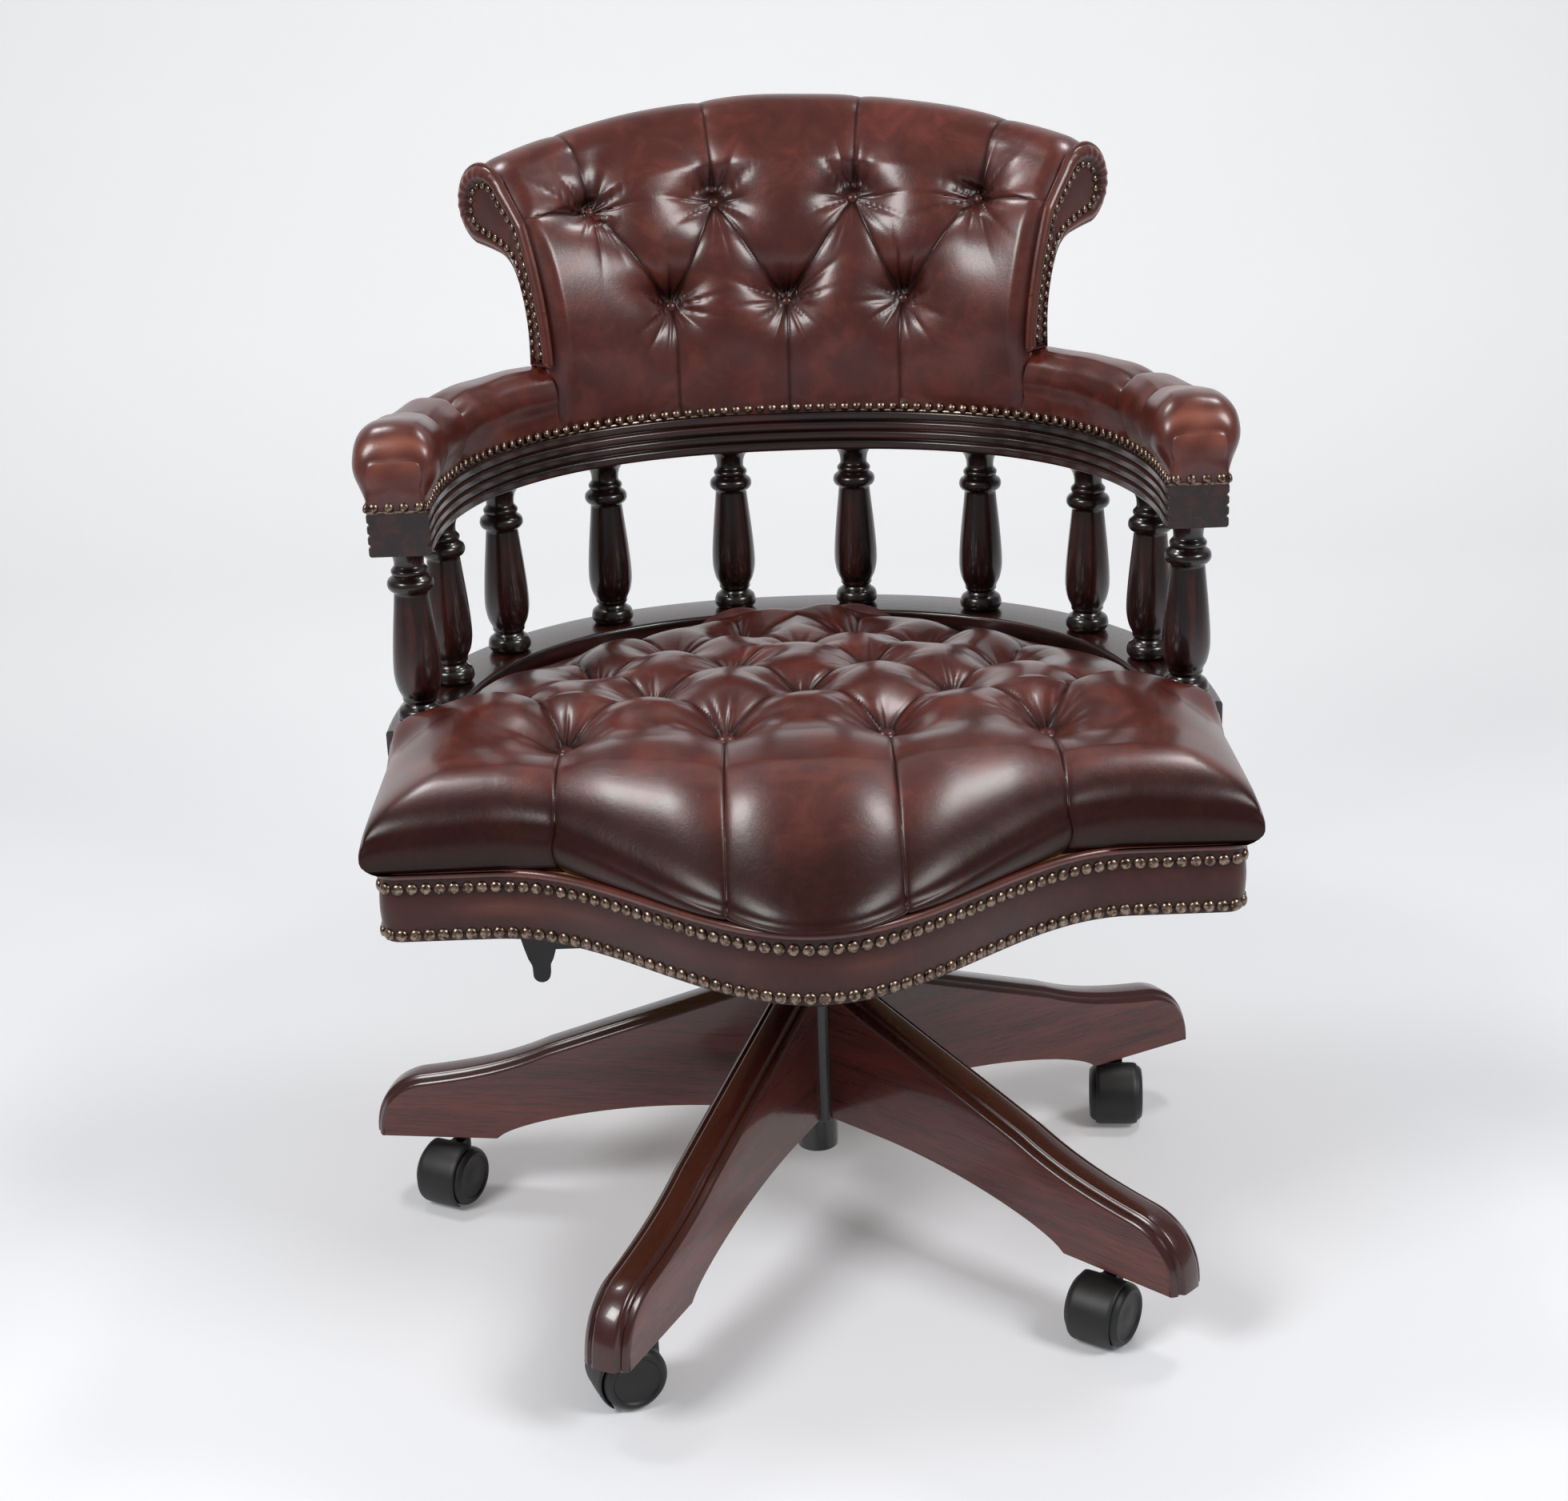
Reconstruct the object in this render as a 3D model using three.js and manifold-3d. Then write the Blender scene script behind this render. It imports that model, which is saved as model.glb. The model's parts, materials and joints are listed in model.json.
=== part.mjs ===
// Swivel captain's chair: a buttoned leather seat and back on a turned wooden
// gallery, carried by a gas column and a five-legged wooden base on castors.
// Millimetres, +Z up. The origin lies on the floor under the middle of the chair's
// outline; the swivel axis stands at (AXIS_X, AXIS_Y). The seat faces -Y.

import * as THREE from 'three';
import { mergeVertices } from 'three/addons/utils/BufferGeometryUtils.js';
import Module from 'manifold-3d';

const wasm = await Module();
wasm.setup();

// Placing and clearances
const AXIS_X = 15.4;
const AXIS_Y = -31.4;
const FIT = 0.3;
const RUN = 0.5;

// Five-legged base
const LEG_COUNT = 5;
const BASE_TURN_DEG = 28.2;
const LEG_TIP_R = 345;
const LEG_WIDTH = 34;
const LEG_FOOT_LENGTH = 98;
const LEG_TOE_HEIGHT = 50;
const LEG_ROOT_DEPTH = 108;
const LEG_UNDERCUT = 34;
const LEG_BAND = 17;
const LEG_STEP = 3.2;
const LEG_KNEE_RUN = 41;
const LEG_KNEE_RISE = 28;
const LEG_TOE_RUN = 38;
const HUB_APOTHEM = 30;
const HUB_CHAMFER = 3;
const HUB_DROP = 3;

// Castors
const CASTOR_RING_R = 280;
const CASTOR_TRAIL = 17;
const CASTOR_BUILD = 54;
const CASTOR_HEADINGS_DEG = [265, 80, 242, 202, 235];
const WHEEL_R = 23;
const WHEEL_WIDTH = 14.5;
const CASTOR_WEB = 12;
const HOOD_WIDTH = 33;
const HOOD_WALL = 1.6;
const CASTOR_GAP = 4;
const STEM_R = 5;
const STEM_LENGTH = 34;
const AXLE_R = 3;
const WHEEL_RIM = 4;

// Gas column
const COLUMN_R = 15.5;
const COLUMN_WALL = 3;
const COLUMN_FOOT_Z = 50;
const COLUMN_TOP_Z = 230;
const COLUMN_RECESS = 7;
const COLUMN_EYE_THICK = 4;
const CYLINDER_R = 11;
const ROD_R = 4;
const ROD_GROOVE = 1;
const CLIP_R = 9;
const CLIP_THICK = 1.6;
const BUSH_LENGTH = 26;

// Swivel and tilt mechanism
const SEAT_BASE_Z = 304;
const PLATE_THICK = 3;
const PLATE_WIDTH = 170;
const PLATE_LENGTH = 200;
const HOUSING_WIDTH = 84;
const HOUSING_FRONT_Y = -112;
const HOUSING_BACK_Y = 78;
const HOUSING_DEPTH = 46;
const HOUSING_NOSE = 14;
const HOUSING_WALL = 4;
const VALVE_DROP = 26;
const TILT_Y = -45;
const TILT_DROP = 21;
const TILT_MAX_DEG = 12;
const PIN_R = 5;
const SPRING_Y = -86;
const SPRING_R = 13;
const SPRING_WIRE_R = 1.7;
const SPRING_TURNS = 3.5;
const SPRING_LENGTH = 26;
const BOLT_R = 4;
const KNOB_R = 19;
const KNOB_HEIGHT = 15;
const KNOB_LOBES = 10;
const KNOB_LOBE_DEPTH = 2.5;
const LEVER_Y = -90;
const LEVER_REACH = 207;
const LEVER_WIDTH = 12;
const LEVER_BARREL_R = 6.5;
const LEVER_EAR = 9;
const LEVER_BAR = 8;
const LEVER_BAR_X = -23;
const LEVER_PIN_R = 2.5;
const LEVER_PRESS = 4.5;
const PADDLE_WIDTH = 27;
const PADDLE_DROP = 30;
const PADDLE_THICK = 7;
const PADDLE_TAPER = 4;

// Seat
const SEAT_FRONT_Y = -171;
const SEAT_APEX_Y = -294;
const SEAT_APEX_SPAN = 215;
const SEAT_HALF_WIDTH = 292;
const SEAT_CORNER_R = 14;
const BAND_HEIGHT = 48;
const BAND_THICK = 3.5;
const BOARD_THICK = 15;
const FRAME_WIDTH = 38;
const FRAME_HEIGHT = 50;
const CUSHION_OVERHANG = 6;
const CUSHION_SHOULDER = 52;
const CUSHION_CROWN = 72;
const CUSHION_BACK_EDGE = 33;
const SEAT_ROW_A_Y = -55;
const SEAT_ROW_PITCH = 91;
const SEAT_ROW_CLOSING = 6.2;
const SEAT_PITCH_FRONT = 56.5;
const SEAT_PITCH_BACK = 47;
const SEAT_BUTTON_DEPTH = 23;
const SEAT_PLEAT_DEPTH = 8;
const SEAT_LATTICE_U = 3;
const SEAT_EDGE_U = 5.3;
const SEAT_LAST_ROW = 4;

// Wooden gallery: lower rail, turned spindles, arm bow
const RAIL_INSET = 12;
const HOOP_B = 284;
const HOOP_CENTRE_Y = 10;
const HOOP_POWER = 2.27;
const RAIL_DEPTH = 41;
const RAIL_HALF = 24;
const RAIL_BOARD = 25;
const RAIL_FRONT_Y = 4;
const SPINDLE_HEIGHT = 135;
const SPINDLE_BODY_R = 17.5;
const SPINDLE_SPOTS_DEG = [1.9, 18.9, 37.2, 60.3, 81.8];
const BOW_THICK = 31;
const BOW_HALF = 22;
const BOW_BACK_GAIN = 4;
const BOW_FRONT_Y = -14;
const BOW_REEDS = 3;
const REED_DEPTH = 2.4;

// Arm pads
const PAD_HEIGHT = 52;
const PAD_FRONT_GAIN = 12;
const PAD_BULGE = 10;
const PAD_PLEATS = [0.3, 0.55];
const PAD_PLEAT_DEPTH = 4;

// Buttoned back
const BACK_END_X = 195;
const BACK_HEIGHT = 241;
const BACK_END_HEIGHT = 203;
const ROLL_R = 31;
const ROLL_REACH = 52;
const ROLL_END_REACH = 56;
const BACK_FRONT = 26;
const BACK_END_FRONT = 18;
const BACK_REAR = 15;
const BACK_END_REAR = 5;
const BACK_LOWER_ROW = 88;
const BACK_UPPER_ROW = 167;
const BACK_UPPER_SPOTS = [54, 148];
const BACK_LOWER_SPOT = 94;
const BACK_BUTTON_DEPTH = 17;
const BACK_PLEAT_DEPTH = 6;
const SEAM_DEPTH = 2.5;
const BACK_PANEL_THICK = 7;
const FACING_THICK = 6;
const BUTTON_R = 7;

// Places worked out from the sizes above
const DEG = Math.PI / 180;
const HOOP_A = SEAT_HALF_WIDTH - RAIL_INSET;
const FOOT_Z = CASTOR_BUILD;
const PLATE_Z = SEAT_BASE_Z - FIT - PLATE_THICK;
const TILT_Z = PLATE_Z - TILT_DROP + PLATE_THICK;
const HOUSING_TOP_Z = PLATE_Z - RUN;
const HOUSING_FLOOR_Z = HOUSING_TOP_Z - HOUSING_DEPTH;
const FRAME_TOP_Z = SEAT_BASE_Z + FRAME_HEIGHT;
const RAIL_TOP_Z = FRAME_TOP_Z + RAIL_DEPTH;
const BOW_Z = RAIL_TOP_Z + SPINDLE_HEIGHT;
const BOW_TOP_Z = BOW_Z + BOW_THICK;
const FRAME_OUT = SEAT_HALF_WIDTH - BAND_THICK - FIT - HOOP_A;
const CUSHION_IN = -RAIL_HALF - RUN;
const LEG_PITCH_DEG = 360 / LEG_COUNT;
const LEG_ANGLES = Array.from({ length: LEG_COUNT }, (_, i) => (BASE_TURN_DEG + LEG_PITCH_DEG * i) * DEG);

// Finishes
const FINISH = {
  wood: { color: 0x3a1d18, roughness: 0.35, metalness: 0 },
  leather: { color: 0x6b3b33, roughness: 0.42, metalness: 0 },
  steel: { color: 0x8c8f92, roughness: 0.35, metalness: 0.9 },
  black: { color: 0x26282a, roughness: 0.5, metalness: 0.1 },
  plastic: { color: 0x1d1f20, roughness: 0.4, metalness: 0 },
  ply: { color: 0xa9825a, roughness: 0.8, metalness: 0 },
};

const chair = new THREE.Group();
chair.name = 'captains_chair';
chair.position.set(AXIS_X, AXIS_Y, 0);

function add(name, geometry, finish, parent = chair) {
  const mesh = new THREE.Mesh(geometry, new THREE.MeshStandardMaterial(FINISH[finish]));
  mesh.name = name;
  parent.add(mesh);
  return mesh;
}

// Geometry helpers

function bare(geometry) {
  const copy = geometry.index ? geometry.toNonIndexed() : geometry.clone();
  copy.deleteAttribute('normal');
  copy.deleteAttribute('uv');
  return mergeVertices(copy, 1e-4);
}

function toSolid(geometry) {
  const merged = bare(geometry);
  const vertProperties = new Float32Array(merged.attributes.position.array);
  const triVerts = new Uint32Array(merged.index.array);
  return new wasm.Manifold(new wasm.Mesh({ numProp: 3, vertProperties, triVerts }));
}

function toGeometry(solid) {
  const mesh = solid.getMesh();
  const geometry = new THREE.BufferGeometry();
  geometry.setAttribute('position', new THREE.BufferAttribute(new Float32Array(mesh.vertProperties), 3));
  geometry.setIndex(new THREE.BufferAttribute(new Uint32Array(mesh.triVerts), 1));
  return geometry;
}

function join(...geometries) {
  return toGeometry(geometries.map(toSolid).reduce((sum, next) => sum.add(next)));
}

function cut(body, ...tools) {
  return toGeometry(tools.map(toSolid).reduce((rest, tool) => rest.subtract(tool), toSolid(body)));
}

function closedBody(positions, index) {
  const geometry = new THREE.BufferGeometry();
  geometry.setAttribute('position', new THREE.Float32BufferAttribute(positions, 3));
  const corner = (i) => new THREE.Vector3().fromArray(positions, 3 * i);
  let volume = 0;
  for (let i = 0; i < index.length; i += 3) {
    volume += corner(index[i]).dot(corner(index[i + 1]).cross(corner(index[i + 2])));
  }
  geometry.setIndex(volume > 0 ? index : index.reverse());
  return geometry;
}

function ringNormal(ring) {
  const normal = new THREE.Vector3();
  ring.forEach((p, i) => {
    const q = ring[(i + 1) % ring.length];
    normal.x += (p.y - q.y) * (p.z + q.z);
    normal.y += (p.z - q.z) * (p.x + q.x);
    normal.z += (p.x - q.x) * (p.y + q.y);
  });
  return normal.normalize();
}

function capFaces(ring, offset, reverse) {
  const normal = ringNormal(ring);
  const across = new THREE.Vector3(0, 0, 1).cross(normal);
  if (across.length() < 0.1) {
    across.set(1, 0, 0).cross(normal);
  }
  across.normalize();
  const up = normal.clone().cross(across);
  const contour = ring.map((p) => new THREE.Vector2(p.dot(across), p.dot(up)));
  const faces = THREE.ShapeUtils.triangulateShape(contour, []);
  return faces.flatMap(([a, b, c]) => {
    const turn = THREE.ShapeUtils.area([contour[a], contour[b], contour[c]]) > 0;
    const face = turn !== reverse ? [a, b, c] : [a, c, b];
    return face.map((i) => i + offset);
  });
}

// Closed solid through rings of equal length. It is closed by flat caps, or runs
// round to its first ring. Each quad splits along its lower diagonal when
// `valleys` gives the depth of a ring's points, so that creases stay sharp.
function loft(rings, { loop = false, valleys = null } = {}) {
  const count = rings[0].length;
  const index = [];
  const spans = loop ? rings.length : rings.length - 1;
  for (let i = 0; i < spans; i++) {
    const next = (i + 1) % rings.length;
    for (let j = 0; j < count; j++) {
      const k = (j + 1) % count;
      const [a, b, c, d] = [i * count + j, next * count + j, next * count + k, i * count + k];
      const split = valleys && valleys[next][j] + valleys[i][k] > valleys[i][j] + valleys[next][k];
      index.push(...(split ? [a, b, d, b, c, d] : [a, b, c, a, c, d]));
    }
  }
  if (!loop) {
    index.push(...capFaces(rings[0], 0, false));
    index.push(...capFaces(rings.at(-1), (rings.length - 1) * count, true));
  }
  return closedBody(rings.flat().flatMap((p) => p.toArray()), index);
}

function lathe(profile, segments) {
  const points = profile.map(([r, z]) => new THREE.Vector2(r, z));
  return new THREE.LatheGeometry(points, segments).rotateX(Math.PI / 2);
}

function extruded(shape, depth, curveSegments = 8) {
  return new THREE.ExtrudeGeometry(shape, { depth, bevelEnabled: false, curveSegments });
}

// Plate cut from an outline of [x, y] points, standing from z0 to z1
function plate(outline, z0, z1, holes = []) {
  const shape = new THREE.Shape(outline.map(([x, y]) => new THREE.Vector2(x, y)));
  shape.holes = holes.map((hole) => new THREE.Path(hole.map(([x, y]) => new THREE.Vector2(x, y))));
  return extruded(shape, z1 - z0).translate(0, 0, z0);
}

function circle(radius, count, x = 0, y = 0) {
  return Array.from({ length: count }, (_, i) => {
    const angle = (2 * Math.PI * i) / count;
    return [x + radius * Math.cos(angle), y + radius * Math.sin(angle)];
  });
}

function rodZ(radius, z0, z1, segments = 12) {
  return new THREE.CylinderGeometry(radius, radius, z1 - z0, segments)
    .rotateX(Math.PI / 2)
    .translate(0, 0, (z0 + z1) / 2);
}

function rodX(radius, x0, x1, segments = 12) {
  return new THREE.CylinderGeometry(radius, radius, x1 - x0, segments)
    .rotateZ(Math.PI / 2)
    .translate((x0 + x1) / 2, 0, 0);
}

function lerp(a, b, t) {
  return a + (b - a) * t;
}

function smooth(t) {
  return THREE.MathUtils.smoothstep(t, 0, 1);
}

// Base

function legAt(angle) {
  const pivot = new THREE.Group();
  pivot.rotation.z = angle;
  chair.add(pivot);
  return pivot;
}

// Leg's top edge in its own plane: down from the hub, over the toe and down its end
function legTopPath(rootR) {
  const rootZ = FOOT_Z + LEG_UNDERCUT + LEG_ROOT_DEPTH;
  const kneeR = LEG_TIP_R - LEG_FOOT_LENGTH - LEG_KNEE_RUN;
  const toeZ = FOOT_Z + LEG_TOE_HEIGHT;
  const kneeZ = toeZ + LEG_KNEE_RISE;
  const toeR = LEG_TIP_R - LEG_TOE_RUN;
  const path = new THREE.CurvePath();
  path.add(new THREE.LineCurve(new THREE.Vector2(rootR, rootZ), new THREE.Vector2(kneeR, kneeZ)));
  path.add(new THREE.CubicBezierCurve(
    new THREE.Vector2(kneeR, kneeZ),
    new THREE.Vector2(kneeR + 30, toeZ + LEG_KNEE_RISE / 2),
    new THREE.Vector2(toeR - 45, toeZ + 7),
    new THREE.Vector2(toeR, toeZ),
  ));
  path.add(new THREE.CubicBezierCurve(
    new THREE.Vector2(toeR, toeZ),
    new THREE.Vector2(LEG_TIP_R - 18, toeZ - 4),
    new THREE.Vector2(LEG_TIP_R, toeZ - 20),
    new THREE.Vector2(LEG_TIP_R, FOOT_Z),
  ));
  return path;
}

// Leg's underside height at radius r: a shallow arch that lands on the flat foot
function legUnderside(r, rootR) {
  const heel = LEG_TIP_R - LEG_FOOT_LENGTH;
  if (r >= heel) {
    return FOOT_Z;
  }
  const t = (heel - r) / (heel - rootR);
  return FOOT_Z + LEG_UNDERCUT * Math.sin((Math.PI / 2) * Math.min(1, 1.25 * t)) ** 0.65;
}

// Half of the moulded edge: [distance from the middle, drop below the top]
function legMoulding() {
  const half = LEG_WIDTH / 2;
  const band = LEG_BAND / 2;
  return [
    [half, LEG_STEP + 4],
    [half - 1.2, LEG_STEP + 1.6],
    [band + 3.4, LEG_STEP - 0.4],
    [band + 1.2, LEG_STEP],
    [band, 0.6],
  ];
}

function legGeometry() {
  const rootR = HUB_APOTHEM + FIT;
  const path = legTopPath(rootR);
  const parts = [[0, 2], [1, 4], [2, 7]];
  const stops = parts.flatMap(([curve, steps]) => (
    Array.from({ length: steps }, (_, i) => [curve, (i + 1) / steps])));
  stops.unshift([0, 0]);
  const moulding = legMoulding();
  const edge = [...moulding.map(([w, d]) => [-w, d]), ...moulding.reverse()];
  const lastFoot = LEG_TIP_R - 8;
  const rings = stops.map(([curve, t], i) => {
    const top = path.curves[curve].getPoint(t);
    const tangent = path.curves[curve].getTangent(t);
    const down = i === 0 ? new THREE.Vector2(0, -1) : new THREE.Vector2(tangent.y, -tangent.x);
    const foot = Math.min(lastFoot, curve === 2 ? lerp(LEG_TIP_R - LEG_TOE_RUN, lastFoot, t) : top.x);
    const under = legUnderside(foot, rootR);
    const ring = edge.map(([w, d]) => (
      new THREE.Vector3(top.x + down.x * d, w, top.y + down.y * d)));
    const half = LEG_WIDTH / 2;
    ring.push(new THREE.Vector3(foot, half, under), new THREE.Vector3(foot, -half, under));
    return ring;
  });
  const socket = rodZ(STEM_R + RUN, FOOT_Z - 10, FOOT_Z + STEM_LENGTH + 2, 10)
    .translate(CASTOR_RING_R, 0, 0);
  return cut(loft(rings), socket);
}

function hubGeometry() {
  const half = HUB_APOTHEM * Math.tan(Math.PI / LEG_COUNT) - HUB_CHAMFER;
  const outline = LEG_ANGLES.flatMap((angle) => [-half, half].map((across) => [
    HUB_APOTHEM * Math.cos(angle) - across * Math.sin(angle),
    HUB_APOTHEM * Math.sin(angle) + across * Math.cos(angle),
  ]));
  const top = FOOT_Z + LEG_UNDERCUT + LEG_ROOT_DEPTH + HUB_DROP;
  return plate(outline, FOOT_Z + LEG_UNDERCUT - HUB_DROP, top, [circle(COLUMN_R + FIT, 16)]);
}

// Castors, each modelled with its stem on the local axis and its trail along +X

function fender(radius, wall, width, fromDeg, toDeg, steps) {
  const arc = (r) => Array.from({ length: steps + 1 }, (_, i) => {
    const angle = lerp(fromDeg, toDeg, i / steps) * DEG;
    return [r * Math.cos(angle), r * Math.sin(angle)];
  });
  const outline = [...arc(radius + wall), ...arc(radius).reverse()];
  return plate(outline, -width / 2, width / 2).rotateX(Math.PI / 2);
}

function hoodGeometry() {
  const inner = WHEEL_R + 0.9;
  const web = fender(AXLE_R + 2, inner + HOOD_WALL / 2 - AXLE_R - 2, CASTOR_WEB, -38, 112, 5);
  const boss = rodX(AXLE_R + 4, -CASTOR_WEB / 2, CASTOR_WEB / 2, 8).rotateZ(Math.PI / 2);
  const shell = fender(inner, HOOD_WALL, HOOD_WIDTH, -48, 98, 8);
  const barrelTop = CASTOR_BUILD - CASTOR_GAP - WHEEL_R;
  const barrel = rodZ(CASTOR_WEB / 2, 2, barrelTop, 8).translate(-CASTOR_TRAIL, 0, 0);
  const bridge = new THREE.BoxGeometry(CASTOR_TRAIL, CASTOR_WEB - 1, 20)
    .translate(-CASTOR_TRAIL / 2, 0, 13);
  const pinHole = rodZ(STEM_R - 1, -10, barrelTop + 5, 8).translate(-CASTOR_TRAIL, 0, 0);
  const reach = CASTOR_WEB / 2 + WHEEL_WIDTH - 3;
  const axle = rodX(AXLE_R, -reach, reach, 8).rotateZ(Math.PI / 2);
  const body = cut(join(web, boss, shell, barrel, bridge), pinHole);
  return join(body, axle).translate(CASTOR_TRAIL, 0, WHEEL_R);
}

function castorStem() {
  const barrelTop = CASTOR_BUILD - CASTOR_GAP;
  const top = FOOT_Z + STEM_LENGTH;
  const pinR = STEM_R - 1 - FIT;
  return lathe([
    [0, WHEEL_R + 6], [pinR, WHEEL_R + 6], [pinR, barrelTop + FIT], [STEM_R, barrelTop + FIT],
    [STEM_R, top], [0, top + 1],
  ], 8);
}

function wheelGeometry(side) {
  const inner = CASTOR_WEB / 2 + RUN;
  const outer = inner + WHEEL_WIDTH;
  const bore = AXLE_R + 0.1;
  const profile = [
    [bore, inner], [WHEEL_R, inner], [WHEEL_R, outer - WHEEL_RIM], [WHEEL_R - WHEEL_RIM + 1, outer],
    [WHEEL_R - WHEEL_RIM - 3, outer - 2],
    [0, outer - 1], [0, outer - 2.5], [bore, outer - 2.5], [bore, inner],
  ];
  const wheel = lathe(profile, 14).rotateX(-Math.PI / 2);
  if (side < 0) {
    wheel.rotateZ(Math.PI);
  }
  return wheel.translate(CASTOR_TRAIL, 0, WHEEL_R);
}

function buildCastor(index) {
  const number = index + 1;
  const spot = new THREE.Group();
  spot.position.set(
    CASTOR_RING_R * Math.cos(LEG_ANGLES[index]),
    CASTOR_RING_R * Math.sin(LEG_ANGLES[index]),
    0,
  );
  spot.rotation.z = CASTOR_HEADINGS_DEG[index] * DEG;
  chair.add(spot);
  add(`castor_${number}_hood`, hoodGeometry(), 'plastic', spot);
  add(`castor_${number}_stem`, castorStem(), 'steel', spot);
  add(`castor_${number}_wheel_a`, wheelGeometry(1), 'plastic', spot);
  add(`castor_${number}_wheel_b`, wheelGeometry(-1), 'plastic', spot);
}

// Gas column. The rod's lower end is held in an eye that lies inside the column's foot,
// so that the foot's flat rim is the lowest.

const EYE_Z = COLUMN_FOOT_Z + COLUMN_RECESS;

function columnTube() {
  const bore = COLUMN_R - COLUMN_WALL;
  const eye = ROD_R + FIT;
  return lathe([
    [eye, EYE_Z], [bore, EYE_Z], [bore, COLUMN_FOOT_Z], [COLUMN_R, COLUMN_FOOT_Z], [COLUMN_R, COLUMN_TOP_Z],
    [bore, COLUMN_TOP_Z], [bore, EYE_Z + COLUMN_EYE_THICK], [eye, EYE_Z + COLUMN_EYE_THICK], [eye, EYE_Z],
  ], 16);
}

function columnBush() {
  const inner = CYLINDER_R + FIT;
  const outer = COLUMN_R - COLUMN_WALL - FIT;
  return lathe([
    [inner, COLUMN_TOP_Z - BUSH_LENGTH], [outer, COLUMN_TOP_Z - BUSH_LENGTH], [outer, COLUMN_TOP_Z + FIT],
    [COLUMN_R, COLUMN_TOP_Z + FIT], [COLUMN_R - 1, COLUMN_TOP_Z + 4], [inner, COLUMN_TOP_Z + 4],
    [inner, COLUMN_TOP_Z - BUSH_LENGTH],
  ], 16);
}

const CYLINDER_FOOT_Z = COLUMN_FOOT_Z + 18;
const CYLINDER_TOP_Z = HOUSING_TOP_Z - VALVE_DROP;
const VALVE_TOP_Z = CYLINDER_TOP_Z + 4;

function gasCylinder() {
  const bore = ROD_R + 0.1;
  const boreTop = COLUMN_TOP_Z - 20;
  return lathe([
    [0, boreTop], [bore, boreTop], [bore, CYLINDER_FOOT_Z], [CYLINDER_R, CYLINDER_FOOT_Z],
    [CYLINDER_R, CYLINDER_TOP_Z], [ROD_R, CYLINDER_TOP_Z], [ROD_R, VALVE_TOP_Z], [0, VALVE_TOP_Z],
  ], 16);
}

function columnClip() {
  const inner = ROD_R - ROD_GROOVE + 0.2;
  const top = EYE_Z - FIT;
  const low = top - CLIP_THICK;
  return lathe([[inner, low], [CLIP_R, low], [CLIP_R, top], [inner, top], [inner, low]], 12);
}

function pistonRod() {
  const grooveTop = EYE_Z - FIT + 0.2;
  const grooveLow = grooveTop - CLIP_THICK - 0.4;
  const grooveR = ROD_R - ROD_GROOVE;
  const end = EYE_Z - 4;
  const top = COLUMN_TOP_Z - 30;
  return lathe([
    [0, end], [ROD_R, end], [ROD_R, grooveLow], [grooveR, grooveLow],
    [grooveR, grooveTop], [ROD_R, grooveTop], [ROD_R, top], [0, top],
  ], 12);
}

// Tilt mechanism

const LEVER_Z = HOUSING_FLOOR_Z + HOUSING_WALL + 7;
const LEVER_PIVOT_X = -HOUSING_WIDTH / 2 - LEVER_EAR;

// Top edge of the housing: level to the tilt pin, then falling so the seat can tip back
function housingTop(y) {
  const fall = Math.tan((TILT_MAX_DEG + 2) * DEG);
  return y < TILT_Y ? HOUSING_TOP_Z : HOUSING_TOP_Z - 2 - (y - TILT_Y) * fall;
}

function housingSection(wall) {
  const front = HOUSING_FRONT_Y + wall;
  const back = HOUSING_BACK_Y - wall;
  const top = wall > 0 ? 40 : 0;
  const floor = HOUSING_FLOOR_Z + wall;
  return [
    [front, floor + HOUSING_NOSE - wall], [front + HOUSING_NOSE, floor], [back, floor],
    [back, housingTop(back) + top],
    [TILT_Y, HOUSING_TOP_Z - 2 + top], [TILT_Y, HOUSING_TOP_Z + top], [front, HOUSING_TOP_Z + top],
  ];
}

function prismX(section, width) {
  return plate(section, -width / 2, width / 2).rotateX(Math.PI / 2).rotateZ(Math.PI / 2);
}

function housingGeometry() {
  const shell = prismX(housingSection(0), HOUSING_WIDTH);
  const pocket = prismX(housingSection(HOUSING_WALL), HOUSING_WIDTH - 2 * HOUSING_WALL);
  const bossTop = CYLINDER_TOP_Z - 4;
  const boss = rodZ(CYLINDER_R + 7, HOUSING_FLOOR_Z - 4, bossTop, 16);
  const bore = rodZ(CYLINDER_R + FIT, HOUSING_FLOOR_Z - 10, bossTop + 10, 16);
  const pinHole = rodX(PIN_R + FIT, -HOUSING_WIDTH, HOUSING_WIDTH, 16).translate(0, TILT_Y, TILT_Z);
  const slotHalf = BOLT_R + 1.5;
  const boltSlot = plate(
    [[-slotHalf, -slotHalf - 6], [slotHalf, -slotHalf - 6], [slotHalf, slotHalf], [-slotHalf, slotHalf]],
    HOUSING_FLOOR_Z - 10,
    HOUSING_TOP_Z,
  ).translate(0, SPRING_Y, 0);
  const earX = -HOUSING_WIDTH / 2 - LEVER_EAR / 2 - 2.5;
  const earY = LEVER_WIDTH / 2 + FIT + 2;
  const ears = [-1, 1].map((side) => new THREE.BoxGeometry(LEVER_EAR + 7, 4, 14)
    .translate(earX, LEVER_Y + side * earY, LEVER_Z));
  const earHole = rodZ(LEVER_PIN_R + 0.1, -20, 20, 12).rotateX(Math.PI / 2)
    .translate(LEVER_PIVOT_X, LEVER_Y, LEVER_Z);
  const window = new THREE.BoxGeometry(3 * HOUSING_WALL, LEVER_WIDTH, 12)
    .translate(-HOUSING_WIDTH / 2, LEVER_Y, LEVER_Z);
  return cut(join(cut(shell, pocket), boss, ...ears), bore, pinHole, boltSlot, earHole, window);
}

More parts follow.
